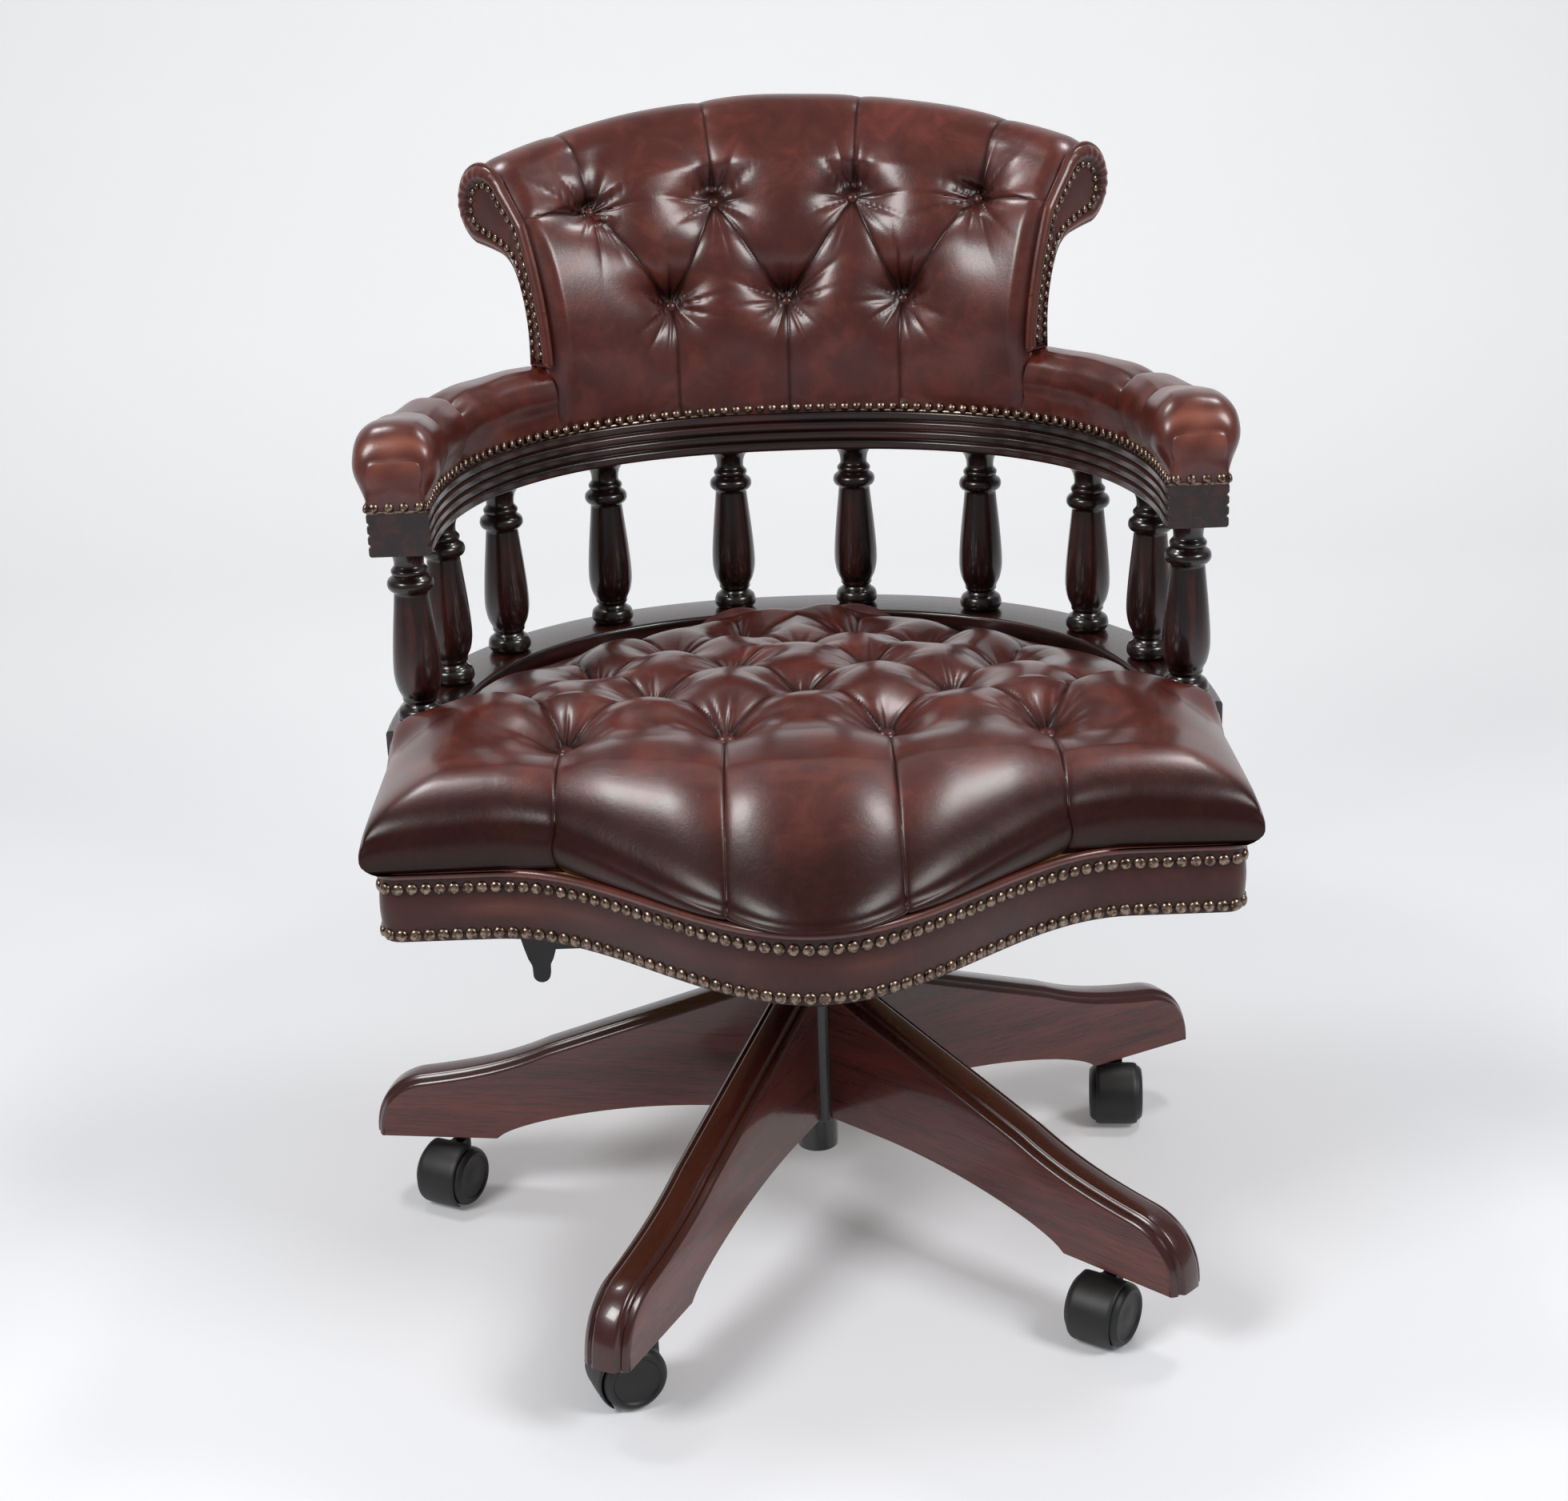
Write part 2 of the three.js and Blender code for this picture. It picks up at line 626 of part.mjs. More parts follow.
// Plate screwed under the seat, with a cheek each side that hangs on the tilt pin
function seatPlateGeometry() {
  const half = PLATE_WIDTH / 2;
  const y0 = TILT_Y - PLATE_LENGTH * 0.4;
  const y1 = y0 + PLATE_LENGTH;
  const outline = [
    [-half, y0 + 10], [-half + 10, y0], [half - 10, y0], [half, y0 + 10],
    [half, y1 - 10], [half - 10, y1], [-half + 10, y1], [-half, y1 - 10],
  ];
  const sheet = plate(outline, PLATE_Z, PLATE_Z + PLATE_THICK);
  const inner = HOUSING_WIDTH / 2 + RUN;
  const cheeks = [-1, 1].map((side) => {
    const lug = new THREE.Shape();
    lug.moveTo(-26, PLATE_Z - TILT_Z + 1);
    lug.lineTo(-PIN_R - 6, 0);
    lug.absarc(0, 0, PIN_R + 6, Math.PI, 2 * Math.PI, false);
    lug.lineTo(26, PLATE_Z - TILT_Z + 1);
    return extruded(lug, PLATE_THICK).rotateX(Math.PI / 2).rotateZ(Math.PI / 2)
      .translate(side > 0 ? inner : -inner - PLATE_THICK, TILT_Y, TILT_Z);
  });
  const pinHole = rodX(PIN_R + 0.1, -HOUSING_WIDTH, HOUSING_WIDTH, 24).translate(0, TILT_Y, TILT_Z);
  const boltHole = rodZ(BOLT_R + 0.1, PLATE_Z - 5, PLATE_Z + 20, 24).translate(0, SPRING_Y, 0);
  return cut(join(sheet, ...cheeks), pinHole, boltHole);
}

function tiltPinGeometry() {
  const reach = HOUSING_WIDTH / 2 + RUN + PLATE_THICK + 3;
  return rodX(PIN_R, -reach, reach, 16).translate(0, TILT_Y, TILT_Z);
}

const SPRING_TOP_Z = HOUSING_FLOOR_Z - FIT;
const KNOB_TOP_Z = SPRING_TOP_Z - SPRING_LENGTH - FIT;

// Coil spring round the tension bolt: one unbroken wire with flattened end turns
function springGeometry() {
  const steps = SPRING_TURNS * 8;
  const climb = SPRING_LENGTH - 2 * SPRING_WIRE_R;
  const rings = Array.from({ length: steps + 1 }, (_, i) => {
    const t = i / steps;
    const angle = 2 * Math.PI * SPRING_TURNS * t;
    const z = SPRING_TOP_Z - SPRING_WIRE_R - climb * t;
    return Array.from({ length: 5 }, (_, j) => {
      const phi = (2 * Math.PI * j) / 5;
      const r = SPRING_R + SPRING_WIRE_R * Math.cos(phi);
      return new THREE.Vector3(r * Math.cos(angle), r * Math.sin(angle), z + SPRING_WIRE_R * Math.sin(phi));
    });
  });
  console.log(`tilt_spring: least gap to itself ${leastSelfGap(rings, 5).toFixed(2)} mm`);
  return loft(rings).translate(0, SPRING_Y, 0);
}

// Least distance between points of a tube's rings that lie at least `apart` rings from each other
function leastSelfGap(rings, apart) {
  const gaps = rings.flatMap((ring, i) => (
    rings.slice(i + apart).flat().flatMap((b) => ring.map((a) => a.distanceTo(b)))));
  return gaps.reduce((least, gap) => Math.min(least, gap));
}

function knobGeometry() {
  const outline = Array.from({ length: KNOB_LOBES * 2 }, (_, i) => {
    const angle = (Math.PI * i) / KNOB_LOBES;
    const r = KNOB_R - (i % 2) * KNOB_LOBE_DEPTH;
    return [r * Math.cos(angle), r * Math.sin(angle)];
  });
  const grip = plate(outline, KNOB_TOP_Z - KNOB_HEIGHT, KNOB_TOP_Z);
  const shank = rodZ(BOLT_R, KNOB_TOP_Z - 1, PLATE_Z + PLATE_THICK, 12);
  return join(grip, shank).translate(0, SPRING_Y, 0);
}

// Lift lever: it rocks on a pin beside the housing. Lifting the paddle under the left
// of the seat brings the tongue at its inner end down on the cylinder's valve.
function leverGeometry() {
  const barrel = rodZ(LEVER_BARREL_R, -LEVER_WIDTH / 2, LEVER_WIDTH / 2, 16).rotateX(Math.PI / 2)
    .translate(LEVER_PIVOT_X, LEVER_Y, LEVER_Z);
  const pinHole = rodZ(LEVER_PIN_R + 0.1, -20, 20, 16).rotateX(Math.PI / 2)
    .translate(LEVER_PIVOT_X, LEVER_Y, LEVER_Z);
  const block = ([x0, x1], [y0, y1], [z0, z1]) => new THREE.BoxGeometry(x1 - x0, y1 - y0, z1 - z0)
    .translate((x0 + x1) / 2, (y0 + y1) / 2, (z0 + z1) / 2);
  const level = [LEVER_Z - 3, LEVER_Z + 3];
  const bar = [LEVER_BAR_X - LEVER_BAR, LEVER_BAR_X];
  const tongueZ = VALVE_TOP_Z + LEVER_PRESS;
  const thick = [LEVER_Z - 4.5, LEVER_Z + 4.5];
  const wide = [LEVER_Y - LEVER_BAR / 2, LEVER_Y + LEVER_BAR / 2];
  const outer = block([-LEVER_REACH + 8, LEVER_PIVOT_X], wide, thick);
  const neck = block([LEVER_PIVOT_X, bar[1]], wide, level);
  const arm = block(bar, [wide[0], ROD_R], level);
  const tongueTop = tongueZ + 3;
  const riser = block([bar[0], bar[0] + 4], [-ROD_R, ROD_R], [LEVER_Z, tongueTop]);
  const tongue = block([bar[0], ROD_R], [-ROD_R, ROD_R], [tongueZ, tongueTop]);
  const half = PADDLE_WIDTH / 2;
  const paddle = new THREE.Shape();
  const waist = half - PADDLE_TAPER;
  paddle.moveTo(-half, 4.5);
  paddle.lineTo(-waist, -PADDLE_DROP + 8);
  paddle.quadraticCurveTo(-waist + 1, -PADDLE_DROP, 0, -PADDLE_DROP);
  paddle.quadraticCurveTo(waist - 1, -PADDLE_DROP, waist, -PADDLE_DROP + 8);
  paddle.lineTo(half, 4.5);
  const blade = extruded(paddle, PADDLE_THICK, 5)
    .rotateX(Math.PI / 2)
    .translate(-LEVER_REACH + half, LEVER_Y + PADDLE_THICK / 2, LEVER_Z);
  return cut(join(barrel, outer, neck, arm, riser, tongue, blade), pinHole);
}

function leverPinGeometry() {
  const reach = LEVER_WIDTH / 2 + FIT + 5;
  return rodZ(LEVER_PIN_R, -reach, reach, 12).rotateX(Math.PI / 2)
    .translate(LEVER_PIVOT_X, LEVER_Y, LEVER_Z);
}

// Seat outline

// Front edge of the seat band at x: flat ends that sweep down to a rounded apex
function seatFront(x) {
  const t = Math.min(1, Math.abs(x) / SEAT_APEX_SPAN);
  return SEAT_FRONT_Y + (SEAT_APEX_Y - SEAT_FRONT_Y) * 0.5 * (1 + Math.cos(Math.PI * t));
}

// Half width of the hoop's curve at y, moved outwards by `offset`
function hoopHalfWidth(y, offset) {
  const rise = Math.max(0, y - HOOP_CENTRE_Y) / (HOOP_B + offset);
  return (HOOP_A + offset) * Math.max(0, 1 - rise ** HOOP_POWER) ** (1 / HOOP_POWER);
}

function hoopPoint(angle, offset) {
  const e = 2 / HOOP_POWER;
  const [c, s] = [Math.cos(angle), Math.max(0, Math.sin(angle))];
  const x = (HOOP_A + offset) * Math.sign(c) * Math.abs(c) ** e;
  return [x, HOOP_CENTRE_Y + (HOOP_B + offset) * s ** e];
}

// Closed plan of the seat, `inset` inside the face of the leather band
function seatPlan(inset, frontSteps, backSteps) {
  const half = SEAT_HALF_WIDTH - inset;
  const r = SEAT_CORNER_R;
  const points = [];
  for (let i = 0; i <= frontSteps; i++) {
    const x = lerp(-(half - r), half - r, i / frontSteps);
    points.push([x, seatFront(x) + inset]);
  }
  const corner = (side, angle) => [
    side * (half - r + r * Math.cos(angle)),
    SEAT_FRONT_Y + inset + r - r * Math.sin(angle),
  ];
  points.push(corner(1, 55 * DEG), corner(1, 20 * DEG));
  for (let i = 0; i <= backSteps; i++) {
    points.push(hoopPoint((Math.PI * i) / backSteps, half - HOOP_A));
  }
  points.push(corner(-1, 20 * DEG), corner(-1, 55 * DEG));
  return points;
}

function seatFrame() {
  const inset = BAND_THICK + FIT;
  const outline = seatPlan(inset, 16, 20);
  const hole = seatPlan(inset + FRAME_WIDTH, 16, 20).reverse();
  return plate(outline, SEAT_BASE_Z + BOARD_THICK + FIT, FRAME_TOP_Z, [hole]);
}

function seatBoard() {
  return plate(seatPlan(BAND_THICK + FIT, 16, 20), SEAT_BASE_Z, SEAT_BASE_Z + BOARD_THICK);
}

// Leather band round the seat frame, rolled outwards along its top edge
function seatBand() {
  const top = SEAT_BASE_Z + BAND_HEIGHT;
  const section = [
    [0, SEAT_BASE_Z], [0, top - 6], [-2.4, top - 3], [0, top], [BAND_THICK, top], [BAND_THICK, SEAT_BASE_Z],
  ];
  const plans = section.map(([inset]) => seatPlan(inset, 16, 20));
  const rings = plans[0].map((_, i) => (
    section.map(([, z], j) => new THREE.Vector3(plans[j][i][0], plans[j][i][1], z))));
  return loft(rings, { loop: true });
}

// Buttoned upholstery

function distanceToSegment(p, a, b) {
  const [dx, dy] = [b[0] - a[0], b[1] - a[1]];
  const t = THREE.MathUtils.clamp(((p[0] - a[0]) * dx + (p[1] - a[1]) * dy) / (dx * dx + dy * dy), 0, 1);
  return Math.hypot(p[0] - a[0] - t * dx, p[1] - a[1] - t * dy);
}

// How far the leather is pulled in at p by the buttons and the pleats between them
function tuft(p, { buttons, pleats, pit, pitReach, foldReach }) {
  const near = Math.min(...buttons.map((b) => Math.hypot(p[0] - b[0], p[1] - b[1])));
  const creases = pleats.map(([from, to, depth]) => (
    depth * Math.exp(-((distanceToSegment(p, from, to) / foldReach) ** 2))));
  const dimple = pit * Math.exp(-((near / pitReach) ** 1.4));
  return Math.max(dimple, Math.max(...creases) + 0.55 * dimple);
}

// Seat cushion. Its grid follows the tufting: u counts half pitches of the buttons
// across the seat, and row counts the rows of buttons from the front one.
const SEAT_BACK_Y = HOOP_CENTRE_Y + HOOP_B + CUSHION_IN - 2;

function cushionHalfWidth(y) {
  const wide = SEAT_HALF_WIDTH + CUSHION_OVERHANG;
  return y < RAIL_FRONT_Y - 2 * RUN ? wide : hoopHalfWidth(y, CUSHION_IN);
}

// Rows draw together towards the back
function seatRowY(row) {
  const steady = Math.min(row, SEAT_LAST_ROW);
  const y = SEAT_ROW_A_Y + SEAT_ROW_PITCH * steady - SEAT_ROW_CLOSING * steady ** 2;
  return y + (row - steady) * (SEAT_ROW_PITCH / 2);
}

function seatRowAt(y) {
  let [low, high] = [0, SEAT_LAST_ROW + 3];
  for (let i = 0; i < 40; i++) {
    const middle = (low + high) / 2;
    if (seatRowY(middle) < y) {
      low = middle;
    } else {
      high = middle;
    }
  }
  return low;
}

const RAIL_ROW = seatRowAt(RAIL_FRONT_Y - RUN);

// Place in plan of lattice point (u half pitches across, row)
function seatSpot(u, row) {
  const inner = Math.min(Math.abs(u), SEAT_LATTICE_U);
  const outer = (Math.abs(u) - inner) / (SEAT_EDGE_U - SEAT_LATTICE_U);
  const y = Math.min(SEAT_BACK_Y, seatRowY(Math.max(0, row)));
  const wide = cushionHalfWidth(y);
  const pitch = Math.min(lerp(SEAT_PITCH_FRONT, SEAT_PITCH_BACK, smooth(row / SEAT_LAST_ROW)), wide / 4);
  const x = Math.sign(u) * lerp(pitch * inner, wide, outer);
  return [x, row < 0 ? lerp(y, seatFront(x) - CUSHION_OVERHANG * 0.8, -row) : y];
}

const SEAT_BUTTON_ROWS = [[-3, -1, 1, 3], [-2, 0, 2], [-3, -1, 1, 3], [-2, 0, 2], [-1, 1]];
const SEAT_BUTTON_SPOTS = SEAT_BUTTON_ROWS.flatMap((columns, row) => columns.map((u) => [u, row]));

function seatTufting() {
  const buttons = SEAT_BUTTON_SPOTS.map(([u, row]) => seatSpot(u, row));
  const pleats = [];
  SEAT_BUTTON_SPOTS.forEach(([u, row]) => {
    if (row === 0) {
      pleats.push([seatSpot(u, 0), seatSpot(u, -1), SEAM_DEPTH]);
    }
    [-1, 1].forEach((side) => {
      pleats.push([seatSpot(u, row), seatSpot(u + side, row + 1), SEAT_PLEAT_DEPTH]);
      if (row > 0) {
        pleats.push([seatSpot(u, row), seatSpot(u + side, row - 1), SEAT_PLEAT_DEPTH]);
      }
    });
  });
  return {
    buttons, pleats, pit: SEAT_BUTTON_DEPTH, pitReach: 24, foldReach: 7,
  };
}

const SEAT_TUFTING = seatTufting();

// Height of the stuffed top before it is buttoned
function seatDome(x, y) {
  const frontness = smooth((seatFront(x) + 130 - y) / 130);
  const edge = Math.min(1, Math.abs(x) / cushionHalfWidth(Math.min(y, SEAT_BACK_Y - 12)));
  const back = smooth((y - SEAT_ROW_A_Y) / (SEAT_BACK_Y - SEAT_ROW_A_Y));
  const crown = lerp(CUSHION_CROWN, CUSHION_SHOULDER, frontness * 0.4);
  const sideDrop = (crown - lerp(CUSHION_SHOULDER, CUSHION_BACK_EDGE, back)) * edge ** 2.4;
  return FRAME_TOP_Z + crown - sideDrop - 10 * back ** 2;
}

function seatTop(x, y) {
  return seatDome(x, y) - tuft([x, y], SEAT_TUFTING);
}

function seatRows() {
  const thirds = [];
  for (let i = 0; i <= 3 * SEAT_LAST_ROW; i++) {
    thirds.push(i / 3);
  }
  const last = seatRowAt(SEAT_BACK_Y);
  const beside = [seatRowAt(RAIL_FRONT_Y - 5 * RUN), RAIL_ROW];
  const rows = [...thirds.filter((row) => Math.abs(row - RAIL_ROW) > 0.1), ...beside].sort((a, b) => a - b);
  const closing = [0.3, 0.6, 0.85, 1].map((t) => lerp(SEAT_LAST_ROW, last, t));
  return [-1, -0.92, -0.78, -0.55, -0.28, ...rows, ...closing];
}

function seatColumns() {
  const half = [];
  for (let i = 1; i <= 3 * SEAT_LATTICE_U; i++) {
    half.push(i / 3);
  }
  [0.3, 0.65, 1].forEach((t) => half.push(lerp(SEAT_LATTICE_U, SEAT_EDGE_U, t)));
  return [...half.map((u) => -u).reverse(), 0, ...half];
}

function seatCushion() {
  const rows = seatRows();
  const columns = seatColumns();
  const bottomZ = FRAME_TOP_Z + FIT;
  const last = rows.length - 1;
  const depth = [];
  const top = rows.map((row, i) => {
    depth.push([]);
    return columns.map((u, j) => {
      const [x, y] = seatSpot(u, row);
      const z = seatTop(x, y);
      const side = j === 0 || j === columns.length - 1;
      const drop = Math.max(i === 0 ? 11 : 0, side ? 9 : 0, i === last ? 8 : 0);
      depth[i].push(z - drop);
      return new THREE.Vector3(x, y, z - drop);
    });
  });
  const width = columns.length;
  const border = [];
  for (let j = 0; j < width; j++) {
    border.push([0, j]);
  }
  for (let i = 1; i <= last; i++) {
    border.push([i, width - 1]);
  }
  for (let j = width - 2; j >= 0; j--) {
    border.push([last, j]);
  }
  for (let i = last - 1; i > 0; i--) {
    border.push([i, 0]);
  }
  const positions = top.flat().flatMap((p) => p.toArray());
  const index = [];
  const at = (i, j) => i * width + j;
  for (let i = 0; i < last; i++) {
    for (let j = 0; j < width - 1; j++) {
      const [a, b, c, d] = [at(i, j), at(i, j + 1), at(i + 1, j + 1), at(i + 1, j)];
      const split = depth[i][j + 1] + depth[i + 1][j] < depth[i][j] + depth[i + 1][j + 1];
      index.push(...(split ? [a, b, d, b, c, d] : [a, b, c, a, c, d]));
    }
  }
  const tuck = ([share, bulge]) => border.map(([i, j]) => {
    const p = top[i][j].clone();
    const beside = p.y > RAIL_FRONT_Y - 2 * RUN;
    const out = new THREE.Vector2(i === last ? 0 : p.x, 0);
    if (i === 0) {
      out.y = -SEAT_HALF_WIDTH * 0.6;
    } else if (i === last) {
      out.y = 1;
    }
    out.normalize();
    const push = beside ? -3 * share : bulge;
    p.x += out.x * push;
    p.y += out.y * push;
    p.z = lerp(p.z, bottomZ, share);
    return p;
  });
  const skirts = [[0.22, 1.5], [0.6, 0], [1, -CUSHION_OVERHANG - 1]].map(tuck);
  skirts.forEach((skirt) => positions.push(...skirt.flatMap((p) => p.toArray())));
  const count = border.length;
  const base = top.length * width;
  const skirtLoops = skirts.map((_, k) => border.map((__, n) => base + k * count + n));
  const loops = [border.map(([i, j]) => at(i, j)), ...skirtLoops];
  for (let k = 0; k < loops.length - 1; k++) {
    for (let n = 0; n < count; n++) {
      const m = (n + 1) % count;
      index.push(loops[k][n], loops[k + 1][n], loops[k + 1][m], loops[k][n], loops[k + 1][m], loops[k][m]);
    }
  }
  index.push(...capFaces(skirts.at(-1), base + (skirts.length - 1) * count, true));
  return closedBody(positions, index);
}

// Covered button, sewn into the cushion: its shank is sunk in the pit under it
function buttonGeometry() {
  const rim = BUTTON_R;
  return lathe([[0, -5], [rim * 0.7, -5], [rim, 4.5], [0, 7.5]], 6);
}

function seatButtons() {
  return SEAT_BUTTON_SPOTS.map(([u, row]) => {
    const [x, y] = seatSpot(u, row);
    return buttonGeometry().translate(x, y, seatTop(x, y));
  });
}

// Gallery hoop: straight arms that run into a full curve round the back

class HoopCurve extends THREE.Curve {
  constructor(frontY) {
    super();
    this.frontY = frontY;
    this.arcLengthDivisions = 600;
  }

  getPoint(t, target = new THREE.Vector3()) {
    const straight = HOOP_CENTRE_Y - this.frontY;
    const share = straight / (2 * straight + Math.PI * HOOP_A);
    if (t < share) {
      return target.set(HOOP_A, lerp(this.frontY, HOOP_CENTRE_Y, t / share), 0);
    }
    if (t > 1 - share) {
      return target.set(-HOOP_A, lerp(this.frontY, HOOP_CENTRE_Y, (1 - t) / share), 0);
    }
    const [x, y] = hoopPoint((Math.PI * (t - share)) / (1 - 2 * share), 0);
    return target.set(x, y, 0);
  }

  // Place and outward direction at share t of the length
  frame(t) {
    const point = this.getPointAt(t);
    const tangent = this.getTangentAt(t);
    return { point, out: new THREE.Vector3(tangent.y, -tangent.x, 0).normalize() };
  }
}

const railCurve = new HoopCurve(RAIL_FRONT_Y);
const bowCurve = new HoopCurve(BOW_FRONT_Y);

// Share of the bow's length at which the hoop passes x, on the side of that x
function bowShareAt(x) {
  let [low, high] = [0, 0.5];
  for (let i = 0; i < 40; i++) {
    const middle = (low + high) / 2;
    if (bowCurve.getPointAt(middle).x > Math.abs(x)) {
      low = middle;
    } else {
      high = middle;
    }
  }
  return x > 0 ? low : 1 - low;
}

// Ring of a swept section at share t: section points are [outwards, height]
function sweepRing(curve, t, section) {
  const { point, out } = curve.frame(t);
  return section.map(([n, z]) => point.clone().addScaledVector(out, n).setZ(z));
}

function railGeometry() {
  const base = FRAME_TOP_Z + FIT;
  const board = RAIL_TOP_Z - RAIL_BOARD;
  const inner = -RAIL_HALF;
  const section = [
    [inner, base], [FRAME_OUT, base], [FRAME_OUT, board - 4], [RAIL_HALF - 5, board],
    [RAIL_HALF, board + 5], [RAIL_HALF, RAIL_TOP_Z - 6], [RAIL_HALF - 4, RAIL_TOP_Z],
    [inner + 2, RAIL_TOP_Z],
    [inner, RAIL_TOP_Z - 2],
  ];
  const steps = 26;
  return loft(Array.from({ length: steps + 1 }, (_, i) => sweepRing(railCurve, i / steps, section)));
}

// Bow section: reeded inner and outer faces, plain where the end blocks are
function bowSection(t, reeded) {
  const half = BOW_HALF + BOW_BACK_GAIN * Math.sin(Math.PI * t);
  const depth = reeded ? REED_DEPTH : 0.05;
  const pitch = BOW_THICK / (BOW_REEDS + 1);
  const outer = [];
  for (let i = 1; i <= BOW_REEDS; i++) {
    const z = BOW_Z + pitch * i;
    outer.push([half, z - 1.5], [half - depth, z], [half, z + 1.5]);
  }
  const inner = outer.map(([n, z]) => [-n, z]).reverse();
  const flat = half - 1;
  return [[flat, BOW_Z], ...outer, [flat, BOW_TOP_Z], [-flat, BOW_TOP_Z], ...inner, [-flat, BOW_Z]];
}

function bowGeometry() {
  const block = 30 / bowCurve.getLength();
  const steps = 20;
  const stops = [[0, false], [block, false], [block + 0.001, true]];
  for (let i = 2; i <= steps - 2; i++) {
    stops.push([i / steps, true]);
  }
  stops.push([1 - block - 0.001, true], [1 - block, false], [1, false]);
  return loft(stops.map(([t, reeded]) => sweepRing(bowCurve, t, bowSection(t, reeded))));
}

// Turned spindle: foot ring, pear-shaped body, neck, collar and flared top
function spindleGeometry() {
  const s = SPINDLE_BODY_R / 17.5;
  const h = (SPINDLE_HEIGHT - 2 * FIT) / 132;
  const profile = [
    [0, 0], [14.5, 0], [16.8, 6], [15.4, 11], [11.3, 15], [12.8, 20], [16.4, 29], [17.5, 40], [16.4, 58],
    [12.5, 98], [16.9, 102.5], [16.7, 107.5], [12.2, 111.5], [13.2, 115],
    [10.8, 119], [11.6, 125], [15.5, 132], [0, 132],
  ];
  return lathe(profile.map(([r, z]) => [r * s, z * h]), 10);
}

function buildSpindles() {
  const angles = [...SPINDLE_SPOTS_DEG, ...SPINDLE_SPOTS_DEG.map((a) => 180 - a).reverse()];
  angles.forEach((deg, i) => {
    const [x, y] = hoopPoint(deg * DEG, 0);
    const spindle = add(`spindle_${String(i + 1).padStart(2, '0')}`, spindleGeometry(), 'wood');
    spindle.position.set(x, y, RAIL_TOP_Z + FIT);
  });
}

// Arm pads: stuffed leather rolls on the bow, from the arm's end to the back

function padSection(share, pull) {
  const half = BOW_HALF - 0.5;
  const outer = half + PAD_BULGE - pull;
  const inner = lerp(half + PAD_BULGE - pull, half, smooth(share));
  const z = BOW_TOP_Z + FIT;
  const top = PAD_HEIGHT + PAD_FRONT_GAIN * Math.exp(-((share / 0.25) ** 2)) - pull;
  return [
    [-half, z], [half, z], [half + 1, z + top * 0.16], [outer - 1, z + top * 0.4], [outer, z + top * 0.6],
    [outer - 5, z + top * 0.81], [outer - 15, z + top * 0.95], [5, z + top], [-6, z + top],
    [-inner + 14, z + top * 0.94], [-inner + 4, z + top * 0.79], [-inner, z + top * 0.58],
    [-inner + 2, z + top * 0.36], [-half - 1, z + top * 0.16],
  ];
}

function padGeometry(side) {
  const end = bowShareAt(BACK_END_X) - FIT / bowCurve.getLength();
  const stops = [0, 0.03, 0.1, 0.2];
  PAD_PLEATS.forEach((pleat) => stops.push(pleat - 0.035, pleat, pleat + 0.035));
  stops.push(0.42, 0.67, 0.8, 0.9, 1);
  stops.sort((a, b) => a - b);
  const rings = stops.map((stop) => {
    const front = 1 - smooth(stop / 0.1);
    const pull = PAD_PLEATS.includes(stop) ? PAD_PLEAT_DEPTH : 0;
    const t = end * (stop < 0.001 ? 0 : stop);
    return sweepRing(bowCurve, side > 0 ? t : 1 - t, padSection(stop, pull + 9 * front));
  });
  return loft(rings);
}

// Back: a curved, buttoned cushion that rolls over at the top

const BACK_FROM = bowShareAt(BACK_END_X);
const BACK_SPAN = 1 - 2 * BACK_FROM;
const BACK_LENGTH = BACK_SPAN * bowCurve.getLength();

function backShare(s) {
  return 0.5 - s / bowCurve.getLength();
}

// Side profile of the back at arc length s from its middle: [outwards, height, on the front face]
function backProfile(s) {
  const e = Math.min(1, Math.abs(s) / (BACK_LENGTH / 2));
  const crest = lerp(BACK_HEIGHT, BACK_END_HEIGHT, e ** 2);
  const front = -lerp(BACK_FRONT, BACK_END_FRONT, e ** 2);
  const rear = lerp(BACK_REAR, BACK_END_REAR, e);
  const reach = lerp(ROLL_REACH, ROLL_END_REACH, e);
  const rollZ = crest - ROLL_R;
  const points = [];
  const rise = BACK_UPPER_ROW / 8;
  const lean = (z) => {
    const t = THREE.MathUtils.clamp((z - 55) / (rollZ - 55), 0, 1);
    return lerp(front, reach - ROLL_R * 1.45, t ** 1.7);
  };
  for (let i = 0; i <= 8; i++) {
    const z = Math.min(rise * i, rollZ - 20 + i);
    points.push([lean(z), z, true]);
  }
  for (let i = 0; i <= 9; i++) {
    const angle = lerp(152, -92, i / 9) * DEG;
    points.push([reach + ROLL_R * Math.cos(angle), rollZ + ROLL_R * Math.sin(angle), i < 5]);
  }
  const waist = rollZ - ROLL_R - 1;
  const tail = [[rear + 6, waist], [rear, waist - 8], [rear, waist * 0.5], [rear, 0]];
  return [...points, ...tail.map(([out, z]) => [out, z, false])];
}

const BACK_BUTTON_SPOTS = [
  ...BACK_UPPER_SPOTS.flatMap((s) => [[-s, BACK_UPPER_ROW], [s, BACK_UPPER_ROW]]),
  ...[-BACK_LOWER_SPOT, 0, BACK_LOWER_SPOT].map((s) => [s, BACK_LOWER_ROW]),
];

